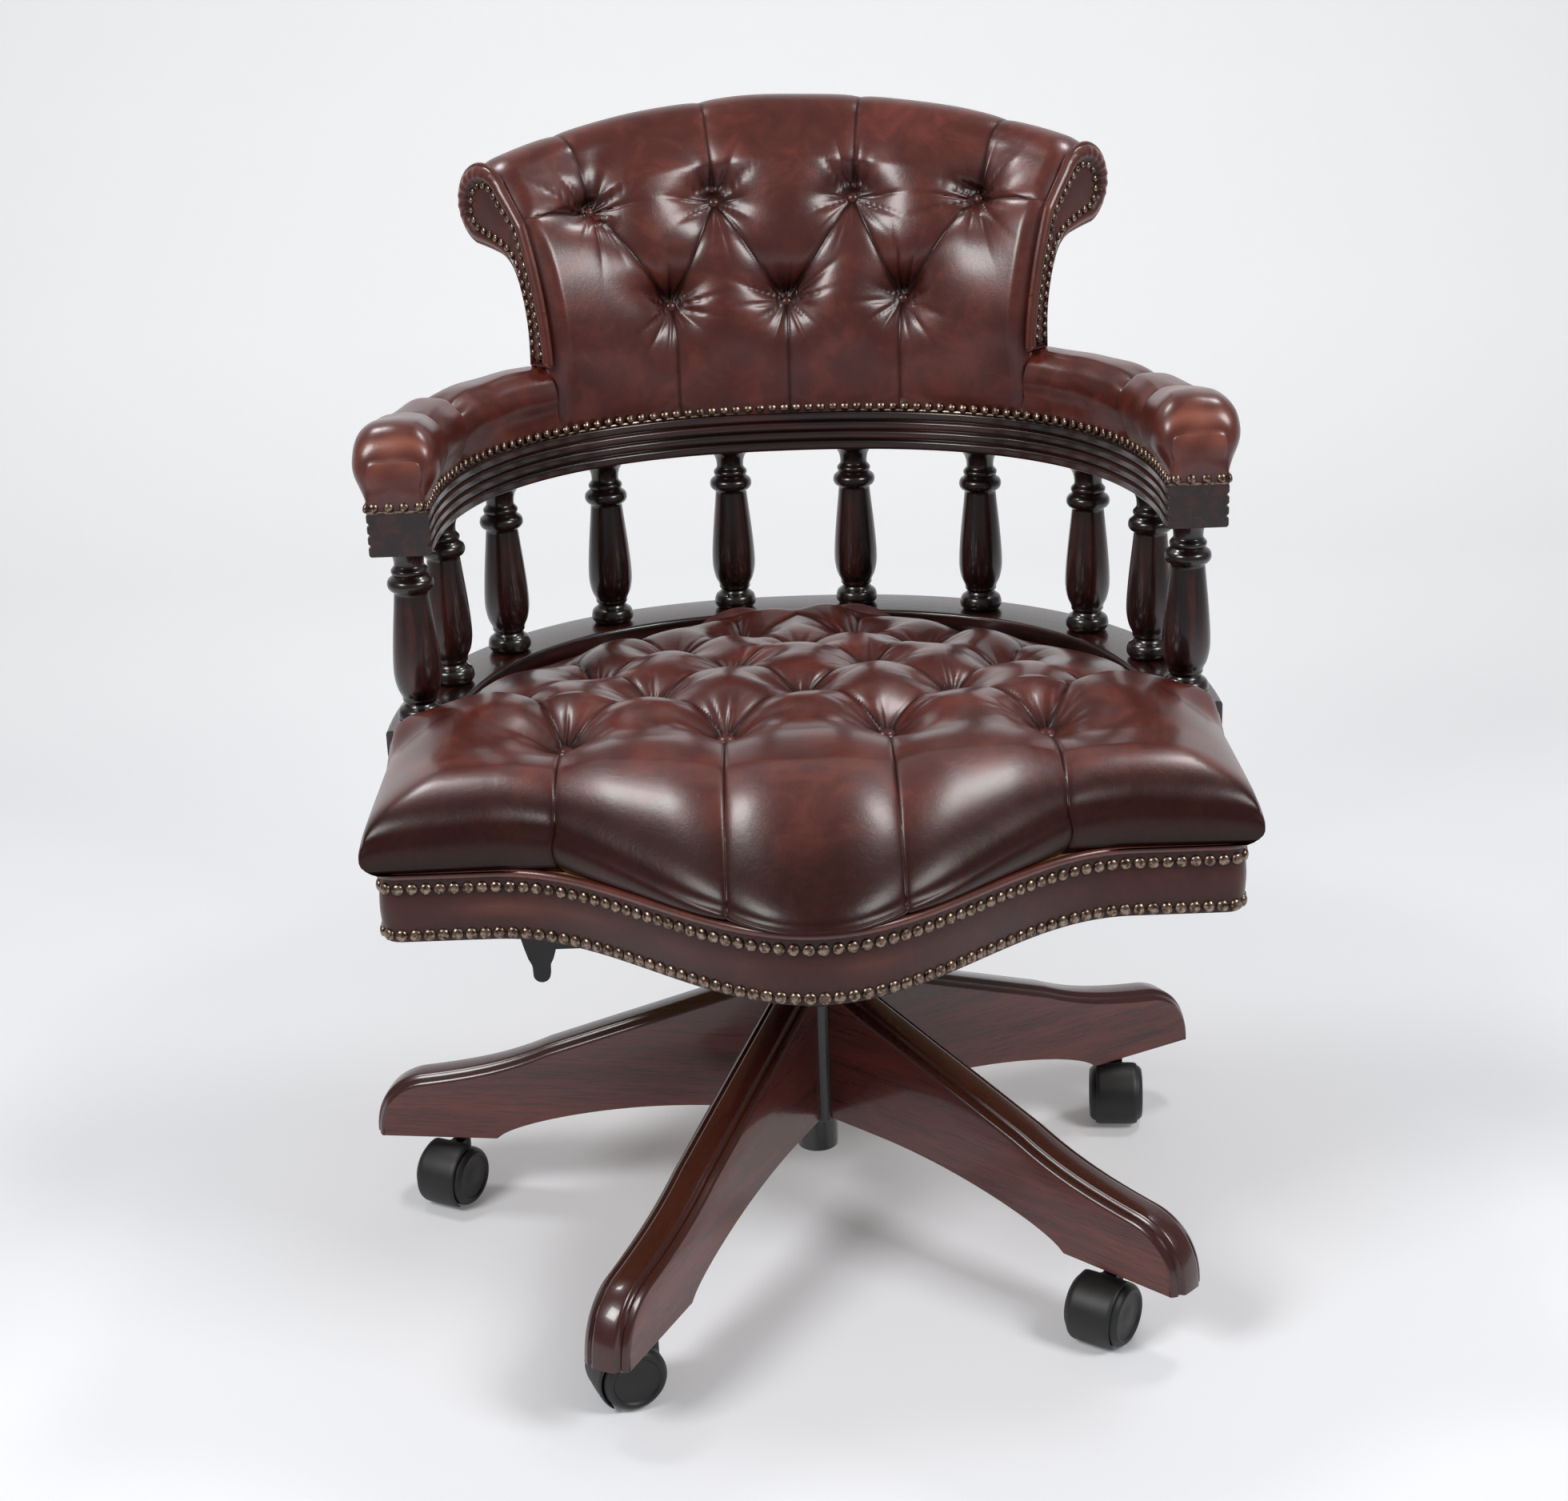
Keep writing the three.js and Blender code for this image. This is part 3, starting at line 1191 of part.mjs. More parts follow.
function backTufting() {
  const upper = BACK_BUTTON_SPOTS.filter(([, z]) => z === BACK_UPPER_ROW);
  const lower = BACK_BUTTON_SPOTS.filter(([, z]) => z === BACK_LOWER_ROW);
  const outermost = Math.max(...BACK_UPPER_SPOTS);
  const pleats = [];
  upper.forEach((spot) => {
    pleats.push([spot, [spot[0] * 1.1, BACK_HEIGHT + 50], SEAM_DEPTH]);
    lower.filter(([s]) => Math.abs(s - spot[0]) < BACK_LOWER_SPOT * 0.7)
      .forEach((mate) => pleats.push([spot, mate, BACK_PLEAT_DEPTH]));
  });
  lower.forEach((spot) => pleats.push([spot, [spot[0], 0], SEAM_DEPTH]));
  [-1, 1].forEach((side) => {
    const edge = [side * BACK_LENGTH * 0.5, BACK_UPPER_ROW + 4];
    pleats.push([[side * outermost, BACK_UPPER_ROW], edge, BACK_PLEAT_DEPTH]);
  });
  return {
    buttons: BACK_BUTTON_SPOTS, pleats, pit: BACK_BUTTON_DEPTH, pitReach: 22, foldReach: 6,
  };
}

const BACK_TUFTING = backTufting();

// Profile at s pulled in by the buttons; the front is measured along its own length
function backRing(s) {
  const profile = backProfile(s);
  const inset = smooth((BACK_LENGTH / 2 - Math.abs(s)) / 10);
  let run = 0;
  const pulls = [];
  const pulled = profile.map(([n, z, soft], i) => {
    const before = profile[Math.max(0, i - 1)];
    const after = profile[Math.min(profile.length - 1, i + 1)];
    run += i > 0 ? Math.hypot(n - before[0], z - before[1]) : 0;
    const along = new THREE.Vector2(after[0] - before[0], after[1] - before[1]).normalize();
    const height = Math.min(z, run) + Math.max(0, run - Math.max(z, BACK_UPPER_ROW + 20)) * 0.6;
    const plump = soft ? 5 * Math.sin(Math.PI * Math.min(1, z / BACK_END_HEIGHT)) * inset : 0;
    const pull = soft ? tuft([s, height], BACK_TUFTING) * inset - plump : 0;
    pulls.push(pull);
    return [n + along.y * pull, z - along.x * pull + BOW_TOP_Z + FIT];
  });
  return { ring: sweepRing(bowCurve, backShare(s), pulled), pulls };
}

function backStations() {
  const step = BACK_LOWER_SPOT / 8;
  const half = BACK_LENGTH / 2 - FIT;
  const count = Math.floor(half / step);
  const stations = Array.from({ length: 2 * count + 1 }, (_, i) => (i - count) * step);
  return [-half, ...stations, half];
}

function backCushion() {
  const cuts = backStations().map(backRing);
  return loft(cuts.map((c) => c.ring), { valleys: cuts.map((c) => c.pulls) });
}

function backPanel() {
  const half = BACK_LENGTH / 2 - FIT;
  const steps = 16;
  const rings = Array.from({ length: steps + 1 }, (_, i) => {
    const s = lerp(-half, half, i / steps);
    const profile = backProfile(s);
    const [rear, top] = [profile.at(-3)[0], profile.at(-3)[1] - 2];
    const z = BOW_TOP_Z + FIT;
    const inner = rear + 5 * FIT;
    const outer = inner + BACK_PANEL_THICK;
    const section = [[inner, z], [outer, z], [outer, z + top - 2], [inner, z + top]];
    return sweepRing(bowCurve, backShare(s), section);
  });
  return loft(rings);
}

// Side facing: a flat scroll-shaped panel at each end of the back, above the arm pad
function backFacing(side) {
  const s = side * (BACK_LENGTH / 2);
  const low = PAD_HEIGHT + RUN;
  const profile = backProfile(s).filter(([, z]) => z > low + 6);
  const front = backProfile(s).find(([, z]) => z > low)[0];
  const rear = backProfile(s).at(-1)[0];
  const outline = [[front, low], ...profile, [rear, low]];
  const z0 = BOW_TOP_Z + FIT;
  const { point, out } = bowCurve.frame(backShare(s));
  const ahead = new THREE.Vector3(-out.y, out.x, 0).multiplyScalar(-side);
  const ring = (shift) => outline.map(([n, z]) => (
    point.clone().addScaledVector(out, n).addScaledVector(ahead, shift).setZ(z + z0)));
  return loft([ring(FIT), ring(FIT + FACING_THICK)]);
}

function backButtons() {
  return BACK_BUTTON_SPOTS.map(([s, height]) => {
    const { point, out } = bowCurve.frame(backShare(s));
    const profile = backProfile(s);
    const i = Math.round(height / (BACK_UPPER_ROW / 8));
    const [n, z] = profile[i];
    const [before, after] = [profile[i - 1], profile[i + 1]];
    const along = new THREE.Vector2(after[0] - before[0], after[1] - before[1]).normalize();
    const plump = 5 * Math.sin(Math.PI * Math.min(1, z / BACK_END_HEIGHT));
    const depth = tuft([s, height], BACK_TUFTING) - plump;
    const facing = out.clone().multiplyScalar(-along.y).setZ(along.x);
    const turn = new THREE.Quaternion().setFromUnitVectors(new THREE.Vector3(0, 0, 1), facing);
    const place = point.clone().addScaledVector(out, n + along.y * depth)
      .setZ(z - along.x * depth + BOW_TOP_Z + FIT);
    return buttonGeometry().applyQuaternion(turn).translate(place.x, place.y, place.z);
  });
}

// Assembly

add('base_hub', hubGeometry(), 'wood');
LEG_ANGLES.forEach((angle, i) => add(`base_leg_${i + 1}`, legGeometry(), 'wood', legAt(angle)));
LEG_ANGLES.forEach((_, i) => buildCastor(i));

add('column_tube', columnTube(), 'black');
add('column_bush', columnBush(), 'plastic');
add('column_clip', columnClip(), 'steel');
add('piston_rod', pistonRod(), 'steel');
add('gas_cylinder', gasCylinder(), 'black');

add('tilt_housing', housingGeometry(), 'black');
add('tilt_pin', tiltPinGeometry(), 'steel');
add('tilt_spring', springGeometry(), 'steel');
add('tension_knob', knobGeometry(), 'plastic');
add('lift_lever', leverGeometry(), 'plastic');
add('lever_pin', leverPinGeometry(), 'steel');
add('seat_plate', seatPlateGeometry(), 'black');

add('seat_board', seatBoard(), 'ply');
add('seat_frame', seatFrame(), 'wood');
add('seat_band', seatBand(), 'leather');
add('seat_cushion', join(seatCushion(), ...seatButtons()), 'leather');

add('gallery_rail', railGeometry(), 'wood');
buildSpindles();
add('arm_bow', bowGeometry(), 'wood');
add('arm_pad_right', padGeometry(1), 'leather');
add('arm_pad_left', padGeometry(-1), 'leather');

add('back_cushion', join(backCushion(), ...backButtons()), 'leather');
add('back_panel', backPanel(), 'leather');
add('back_facing_right', backFacing(1), 'leather');
add('back_facing_left', backFacing(-1), 'leather');

export default chair;
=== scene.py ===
"""Looks of a swivel captain's chair: buttoned leather on a turned mahogany gallery.

Lengths in this file are millimetres in the chair's own frame. The swivel axis is
x = y = 0, the floor is z = 0 and the seat faces -Y. `to_metres` turns such points
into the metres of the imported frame.
"""

import json
import logging
import math
from dataclasses import dataclass, field
from enum import Enum
from typing import Sequence

import bmesh
import bpy
import numpy as np
from mathutils import Matrix, Vector


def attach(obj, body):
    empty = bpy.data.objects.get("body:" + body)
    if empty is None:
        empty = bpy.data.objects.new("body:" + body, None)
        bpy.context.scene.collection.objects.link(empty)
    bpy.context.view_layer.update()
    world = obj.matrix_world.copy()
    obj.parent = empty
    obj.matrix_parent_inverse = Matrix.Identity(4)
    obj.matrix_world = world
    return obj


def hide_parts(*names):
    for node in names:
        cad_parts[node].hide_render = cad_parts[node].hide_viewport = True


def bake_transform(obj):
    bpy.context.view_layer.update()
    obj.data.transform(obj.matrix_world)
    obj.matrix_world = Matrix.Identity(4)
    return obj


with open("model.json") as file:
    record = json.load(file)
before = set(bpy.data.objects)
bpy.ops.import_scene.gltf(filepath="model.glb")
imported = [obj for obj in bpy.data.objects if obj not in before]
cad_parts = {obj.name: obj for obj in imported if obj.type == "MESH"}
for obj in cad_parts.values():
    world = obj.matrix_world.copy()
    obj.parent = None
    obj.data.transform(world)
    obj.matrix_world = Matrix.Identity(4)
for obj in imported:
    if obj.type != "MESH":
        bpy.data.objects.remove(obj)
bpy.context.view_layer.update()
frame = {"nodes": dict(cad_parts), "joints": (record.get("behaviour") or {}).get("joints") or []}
LOG = logging.getLogger("captains_chair")

MM = 0.001
SWIVEL = next(j for j in frame["joints"] if j["name"] == "seat_swivel")["pos_m"]
Array = np.ndarray
Reals = Array | float
Colour = tuple[float, float, float, float]


# Helpers


def linear(hex_colour: str) -> Colour:
    """Turns an sRGB hex colour into the linear colour that a shader takes.

    Args:
        hex_colour: Six hex digits after a hash sign.

    Returns:
        Red, green, blue and an alpha of 1.
    """
    channels = [int(hex_colour[i : i + 2], 16) / 255 for i in (1, 3, 5)]
    red, green, blue = (c / 12.92 if c <= 0.04045 else ((c + 0.055) / 1.055) ** 2.4 for c in channels)
    return red, green, blue, 1.0


def to_metres(points: Array) -> Array:
    """Moves points of the chair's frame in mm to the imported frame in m."""
    return np.asarray(points, float) * MM + np.array([SWIVEL[0], SWIVEL[1], 0.0])


def smooth(t: Reals) -> Reals:
    """Eases 0 to 1 with a flat start and end."""
    t = np.clip(t, 0.0, 1.0)
    return t * t * (3 - 2 * t)


def mix(a: Reals, b: Reals, t: Reals) -> Reals:
    """Goes from a to b as t goes from 0 to 1."""
    return a + (b - a) * t


def bell(gap: Reals, width: float) -> Reals:
    """Gives 1 at no gap, and fades to 0 at about twice the width."""
    return np.exp(-((gap / width) ** 2))


def unit(v: Array) -> Array:
    """Scales directions to length 1."""
    return v / np.linalg.norm(v, axis=-1, keepdims=True)


def ahead_of(line: Array, loop: bool = False) -> Array:
    """Gives a line's direction at each of its points."""
    return unit(np.roll(line, -1, 0) - np.roll(line, 1, 0) if loop else np.gradient(line, axis=0))


def clockwise(v: Array) -> Array:
    """Turns flat directions by a quarter turn clockwise."""
    return np.stack([v[:, 1], -v[:, 0]], -1)


def run_of(line: Array) -> Array:
    """Gives how far along a line each of its points is."""
    return np.concatenate([[0], np.cumsum(np.linalg.norm(np.diff(line, axis=0), axis=1))])


def on_line(line: Array, distances: Array) -> Array:
    """Gives the points at distances along a line."""
    run = run_of(line)
    return np.stack([np.interp(distances, run, column) for column in line.T], -1)


def columns(*parts: Reals) -> Array:
    """Sets columns side by side. A single number fills its column."""
    count = next(len(part) for part in parts if np.ndim(part))
    return np.column_stack([part if np.ndim(part) else np.full(count, float(part)) for part in parts])


def waver(p: Array, wavelength: float, seed: int) -> Array:
    """Gives soft unevenness, the same on each run.

    Args:
        p: Points, one per row, in any number of dimensions.
        wavelength: Typical distance between two bumps, in the points' unit.
        seed: Picks one of the patterns.

    Returns:
        One value per point, mostly between -1 and 1.
    """
    source = np.random.default_rng(seed)
    total = np.zeros(len(p))
    for _ in range(6):
        direction = source.normal(size=p.shape[1])
        direction /= np.linalg.norm(direction)
        stretch = 2 * math.pi / (wavelength * source.uniform(0.7, 1.5))
        total += np.sin(p @ direction * stretch + source.uniform(0, 2 * math.pi))
    return total / 3


def quads(rows: int, columns: int, wrap_rows: bool = False, wrap_columns: bool = False) -> list[list[int]]:
    """Lists the faces of a grid of points.

    Args:
        rows: Number of rows of points.
        columns: Number of points in a row.
        wrap_rows: Whether the last row joins the first.
        wrap_columns: Whether each row's last point joins its first.

    Returns:
        Four point numbers for each face.
    """
    i = np.arange(rows if wrap_rows else rows - 1)[:, None]
    j = np.arange(columns if wrap_columns else columns - 1)[None, :]
    i2, j2 = (i + 1) % rows, (j + 1) % columns
    faces = np.stack([i * columns + j, i * columns + j2, i2 * columns + j2, i2 * columns + j], -1)
    return faces.reshape(-1, 4).tolist()


def filleted(points: Sequence[Sequence[float]], radius: float, steps: int = 4, closed: bool = False) -> Array:
    """Rounds the corners of a line of points.

    Args:
        points: The line's corners.
        radius: How far from a corner its rounding starts.
        steps: Number of spans in each rounding.
        closed: Whether the last corner joins the first.

    Returns:
        The rounded line.
    """
    corners = np.asarray(points, float)
    count = len(corners)
    out: list[Array] = []
    for i, corner in enumerate(corners):
        if not closed and i in (0, count - 1):
            out.append(corner)
            continue
        before, after = corners[i - 1] - corner, corners[(i + 1) % count] - corner
        long_before, long_after = np.linalg.norm(before), np.linalg.norm(after)
        start = corner + before / long_before * min(radius, long_before * 0.48)
        end = corner + after / long_after * min(radius, long_after * 0.48)
        for k in range(steps + 1):
            t = k / steps
            out.append((1 - t) ** 2 * start + 2 * t * (1 - t) * corner + t * t * end)
    return np.array(out)


def spline(points: Sequence[Sequence[float]], per_span: int = 6) -> Array:
    """Draws a smooth line through points.

    Args:
        points: What the line passes through.
        per_span: Number of steps between two of them.

    Returns:
        The line's points, with the given ones among them.
    """
    p = np.asarray(points, float)
    padded = np.vstack([2 * p[0] - p[1], p, 2 * p[-1] - p[-2]])
    out = []
    for i in range(1, len(padded) - 2):
        a, b, c, d = padded[i - 1 : i + 3]
        bend, twist = 2 * a - 5 * b + 4 * c - d, 3 * b - a - 3 * c + d
        for t in np.linspace(0, 1, per_span, endpoint=False):
            out.append(0.5 * (2 * b + (c - a) * t + bend * t**2 + twist * t**3))
    out.append(p[-1])
    return np.array(out)


def evenly(points: Array, count: int) -> Array:
    """Spaces points evenly along the line that they make."""
    return on_line(points, np.linspace(0, run_of(points)[-1], count))


@dataclass
class Shape:
    """Points and faces of a piece, with what its finish reads from them.

    Attributes:
        points: One point per row, in mm.
        faces: Point numbers of each face.
        grain: Each point's place along, across and up the wood or leather, in mm.
        shade: How much the finish is darkened by painted shade, in part a real staining, from 0 to 1.
        wear: How much the finish is rubbed off, from 0 to 1.
    """

    points: Array
    faces: list[list[int]]
    grain: Array | None = None
    shade: Array | None = None
    wear: Array | None = None

    def moved(self, matrix: Matrix) -> "Shape":
        """Gives the shape turned and moved by a matrix."""
        turn = np.array(matrix.to_3x3())
        points = self.points @ turn.T + np.array(matrix.translation)
        return Shape(points, self.faces, self.grain, self.shade, self.wear)


def joined(shapes: Sequence[Shape]) -> Shape:
    """Puts several shapes in one.

    Args:
        shapes: The shapes, in the same frame.

    Returns:
        A shape that holds them all.
    """
    starts = np.cumsum([0, *[len(s.points) for s in shapes]]).tolist()
    faces = [[i + start for i in face] for s, start in zip(shapes, starts) for face in s.faces]

    def stacked(name: str, *width: int) -> Array:
        """Stacks one of the finish's values, with 0 where a shape lacks it."""
        values = [(getattr(s, name), len(s.points)) for s in shapes]
        return np.concatenate([np.zeros((count, *width)) if v is None else v for v, count in values])

    points = np.concatenate([s.points for s in shapes])
    return Shape(points, faces, stacked("grain", 3), stacked("shade"), stacked("wear"))


def skinned(loops: Sequence[Array]) -> list[list[int]]:
    """Lists the faces between closed loops of point numbers, and the one that closes the last."""
    faces: list[list[int]] = []
    for near, far in zip(loops, loops[1:]):
        faces += np.stack([near, far, np.roll(far, -1), np.roll(near, -1)], -1).tolist()
    return [*faces, loops[-1].tolist()]


def swept(rings: Sequence | Array, loop: bool = False) -> Shape:
    """Skins rings of points, each ring closed.

    Args:
        rings: Points as an array of rings, points and coordinates.
        loop: Whether the last ring joins the first. Otherwise flat ends close the shape.

    Returns:
        The closed shape. Its grain runs from the first ring to the last.
    """
    rings = np.asarray(rings, float)
    count, around, _ = rings.shape
    faces = quads(count, around, wrap_rows=loop, wrap_columns=True)
    if not loop:
        faces += [list(range(around)), [(count - 1) * around + k for k in range(around)]]
    middles = rings.mean(axis=1)
    along = np.repeat(run_of(middles)[:, None], around, 1)
    across = np.linalg.norm(rings[..., :2] - middles[:, None, :2], axis=-1)
    grain = np.stack([along, across, rings[..., 2]], -1)
    return Shape(rings.reshape(-1, 3), faces, grain.reshape(-1, 3))


def turned(profile: Sequence[Sequence[float]], segments: int = 48, loop: bool = False) -> Shape:
    """Turns a profile round the Z axis, as on a lathe.

    Args:
        profile: Radius and height of each point.
        segments: Number of flats round the axis.
        loop: Whether the profile's last point joins its first.

    Returns:
        The turned shape. Its grain runs along the axis.
    """
    line = np.asarray(profile, float)
    radius = np.maximum(line[:, :1], 0.02)
    angle = np.linspace(0, 2 * math.pi, segments, endpoint=False)
    height = np.repeat(line[:, 1:], segments, 1)
    made = swept(np.stack([radius * np.cos(angle), radius * np.sin(angle), height], -1), loop)
    made.grain = made.points[:, [2, 0, 1]]
    return made


def tube(path: Array, radius: float, around: int = 10, loop: bool = False) -> Shape:
    """Makes a round cord of leather or wire along a path.

    Args:
        path: Points on its middle line.
        radius: The cord's radius.
        around: Number of flats round it.
        loop: Whether the path closes on itself.

    Returns:
        The cord.
    """
    ahead = ahead_of(path, loop)
    side = np.cross(ahead, [0.0, 0.0, 1.0])
    flat = np.linalg.norm(side, axis=1) < 0.2
    side[flat] = np.cross(ahead[flat], [1.0, 0.0, 0.0])
    side = unit(side)
    up = np.cross(side, ahead)
    angle = np.linspace(0, 2 * math.pi, around, endpoint=False)[:, None]
    return swept(path[:, None] + radius * (np.cos(angle) * side[:, None] + np.sin(angle) * up[:, None]), loop)


def prism(outline: Array, low: float, high: float) -> Shape:
    """Stands a flat outline up as a plate between two heights."""
    return swept([columns(outline, z) for z in (low, high)])


def box_between(low: Sequence[float], high: Sequence[float]) -> Shape:
    """Makes a block from its lowest to its highest corner."""
    (x0, y0, z0), (x1, y1, z1) = low, high
    return prism(np.array([[x0, y0], [x1, y0], [x1, y1], [x0, y1]]), z0, z1)


@dataclass(frozen=True)
class Role:
    """What a piece is to the frame.

    Attributes:
        body: The body that carries it, empty for a piece that hangs on no body.
        slot: The record's material slot; not used.
        stands_for: The CAD node that it is shown instead of, or empty for a trim.
    """

    body: str
    slot: str
    stands_for: str = ""


def leather(stands_for: str = "") -> Role:
    """Gives the role of upholstery, which stands for a CAD node or only trims it."""
    return Role("seat", "leather", stands_for)


def make_piece(
    name: str, shape: Shape, finish: bpy.types.Material, role: Role,
    sharp_deg: float = 40.0, bevel_mm: float = 0.0,
) -> bpy.types.Object:
    """Makes one visible piece and hangs it on its body.

    Args:
        name: The piece's name.
        shape: Its shape, in the chair's frame.
        finish: Its material.
        role: What carries it and what it stands for.
        sharp_deg: Edges that turn more than this stay crisp.
        bevel_mm: Width of the rounding on crisp edges, 0 for none.

    Returns:
        The new object.
    """
    mesh = bpy.data.meshes.new(name)
    mesh.from_pydata(to_metres(shape.points).tolist(), [], shape.faces)
    work = bmesh.new()
    work.from_mesh(mesh)
    bmesh.ops.recalc_face_normals(work, faces=work.faces)
    work.to_mesh(mesh)
    work.free()
    for label, values in (("shade", shape.shade), ("wear", shape.wear)):
        layer = mesh.attributes.new(label, "FLOAT", "POINT")
        layer.data.foreach_set("value", np.zeros(len(shape.points)) if values is None else values)
    grain = shape.points if shape.grain is None else shape.grain
    mesh.attributes.new("grain", "FLOAT_VECTOR", "POINT").data.foreach_set("vector", grain.ravel())
    mesh.shade_smooth()
    mesh.set_sharp_from_angle(angle=math.radians(sharp_deg))
    mesh.materials.append(finish)
    piece = bpy.data.objects.new(name, mesh)
    bpy.context.scene.collection.objects.link(piece)
    if bevel_mm:
        bevel = piece.modifiers.new("eased_edges", "BEVEL")
        bevel.width, bevel.segments, bevel.angle_limit = bevel_mm * MM, 2, math.radians(sharp_deg)
        bevel.harden_normals = True
    if role.body:
        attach(piece, role.body)
    if role.stands_for:
        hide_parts(role.stands_for)
    LOG.info("%s: %d faces on %s", name, len(mesh.polygons), role.body or "two bodies")
    return piece


# Finishes

Node = bpy.types.Node
Socket = bpy.types.NodeSocket
Material = bpy.types.Material


class Graph:
    """The node tree of a new material or world, and the shader at its end."""

    def __init__(self, name: str, kind: str = "materials", shader: str = "Principled BSDF") -> None:
        """Makes the material or world.

        Args:
            name: Its name.
            kind: Which of Blender's collections it belongs to.
            shader: The name of the shader that it starts with.
        """
        self.owner = getattr(bpy.data, kind).new(name)
        self.owner.use_nodes = True
        self.tree = self.owner.node_tree
        self.shader = self.tree.nodes[shader]

    def add(self, kind: str, settings: dict | None = None, links: dict | None = None) -> Node:
        """Adds a node.

        Args:
            kind: The node's type, such as TexNoise.
            settings: Values of its properties or inputs, or as "stops" a ramp's places and hex colours.
            links: For each input, by name or number, the socket or node that feeds it.

        Returns:
            The new node.
        """
        node = self.tree.nodes.new(f"ShaderNode{kind}")
        for key, value in (settings or {}).items():
            if key == "stops":
                elements = node.color_ramp.elements
                while len(elements) < len(value):
                    elements.new(0.5)
                for element, (position, colour) in zip(elements, value):
                    element.position, element.color = position, linear(colour)
            elif isinstance(key, str) and hasattr(node, key):
                setattr(node, key, value)
            else:
                node.inputs[key].default_value = value
        self.link(node, links or {})
        return node

    def link(self, node: Node, sources: dict) -> None:
        """Feeds a node's inputs, by name or number, from sockets or nodes."""
        for key, source in sources.items():
            output = source if isinstance(source, Socket) else source.outputs[0]
            self.tree.links.new(output, node.inputs[key])

    def set(self, **values: float | Colour) -> None:
        """Sets constants on the shader, with _ for a blank in an input's name."""
        for key, value in values.items():
            self.shader.inputs[key.replace("_", " ")].default_value = value

    def feed(self, **sources: Socket | Node) -> None:
        """Links outputs to the shader, with _ for a blank in an input's name."""
        self.link(self.shader, {key.replace("_", " "): source for key, source in sources.items()})


@dataclass(frozen=True)
class AntiquedHide:
    """Hand-antiqued cowhide: pigment-finished, darkened in its folds and glazed.

    The glaze gives broad soft reflections. The folds and the places round the buttons are
    darkened with painted shade, partly antique staining, so raised places look redder and lighter.
    """

    body: str = "#4A1B14"
    light: str = "#6C2E22"
    stain_and_shade: str = "#1F0A06"
    patch: str = "#34130E"
    rubbed: str = "#8C5140"
    mottle_mm: float = 34.0
    speck_mm: float = 5.0
    crease_mm: float = 7.0
    # Hide pores are about 0.3 mm apart; they are drawn at 1.1 mm so that they show.
    pore_mm: float = 1.1
    roughness: float = 0.31

    def build(self) -> Material:
        """Makes the leather."""
        g = Graph("antiqued_cowhide")
        place = {"Vector": g.add("TexCoord").outputs["Object"]}
        shade, wear = (g.add("Attribute", {"attribute_name": name}).outputs["Fac"]
                       for name in ("shade", "wear"))
        clouds, speck, creased = (
            g.add("TexNoise", {"Scale": 1 / (mm * MM), "Detail": fine, "Roughness": rough, "Distortion": bend},
                  place)
            for mm, fine, rough, bend in (
                (self.mottle_mm, 6.0, 0.62, 0.6), (self.speck_mm, 4.0, 0.7, 0.0),
                (self.crease_mm, 8.0, 0.6, 1.2)))
        stops = [(0.34, self.patch), (0.5, self.body), (0.66, self.light)]
        tone = g.add("ValToRGB", {"stops": stops}, {0: clouds})
        flat = g.add("Mix", {"data_type": "RGBA", 0: 0.5, 7: linear(self.body)}, {6: tone})
        blotch = g.add("Math", {"operation": "MULTIPLY_ADD", 1: 0.5, 2: -0.25}, {0: speck})
        # Painted shade: the shade attribute mixes in the dark colour, speckled, in folds and pits.
        edge = g.add("Math", {"operation": "MULTIPLY"}, {0: blotch, 1: shade})
        stained_and_shaded = g.add("Math", {"operation": "ADD", "use_clamp": True}, {0: shade, 1: edge})
        worn_edge = g.add("Math", {"operation": "ADD", "use_clamp": True}, {0: wear, 1: edge})
        worn = g.add("Math", {"operation": "MULTIPLY"}, {0: worn_edge, 1: wear})
        colour = flat
        for share, tint in ((stained_and_shaded, self.stain_and_shade), (worn, self.rubbed)):
            below = colour.outputs[2]
            colour = g.add("Mix", {"data_type": "RGBA", 7: linear(tint)}, {0: share, 6: below})
        sheen = g.add("MapRange", {3: self.roughness - 0.05, 4: self.roughness + 0.1}, {0: clouds})
        cells = {"feature": "DISTANCE_TO_EDGE", "Scale": 1 / (self.pore_mm * 1.6 * MM)}
        pores = g.add("TexVoronoi", cells, place)
        fine = g.add("Bump", {"Strength": 0.10, "Distance": 0.25 * MM}, {"Height": pores})
        bump = g.add("Bump", {"Strength": 0.22, "Distance": 0.7 * MM}, {"Height": creased, "Normal": fine})
        # Where painted shade darkens the folds and pits, the coat and the specular are lowered too.
        glaze = g.add("MapRange", {3: 0.4, 4: 0.05}, {0: shade})
        gloss = g.add("MapRange", {3: 0.5, 4: 0.2}, {0: shade})
        g.feed(Base_Color=colour.outputs[2], Roughness=sheen, Normal=bump)
        g.feed(Coat_Weight=glaze, Specular_IOR_Level=gloss)
        g.set(IOR=1.47, Coat_Roughness=0.21, Coat_IOR=1.5)
        return g.owner


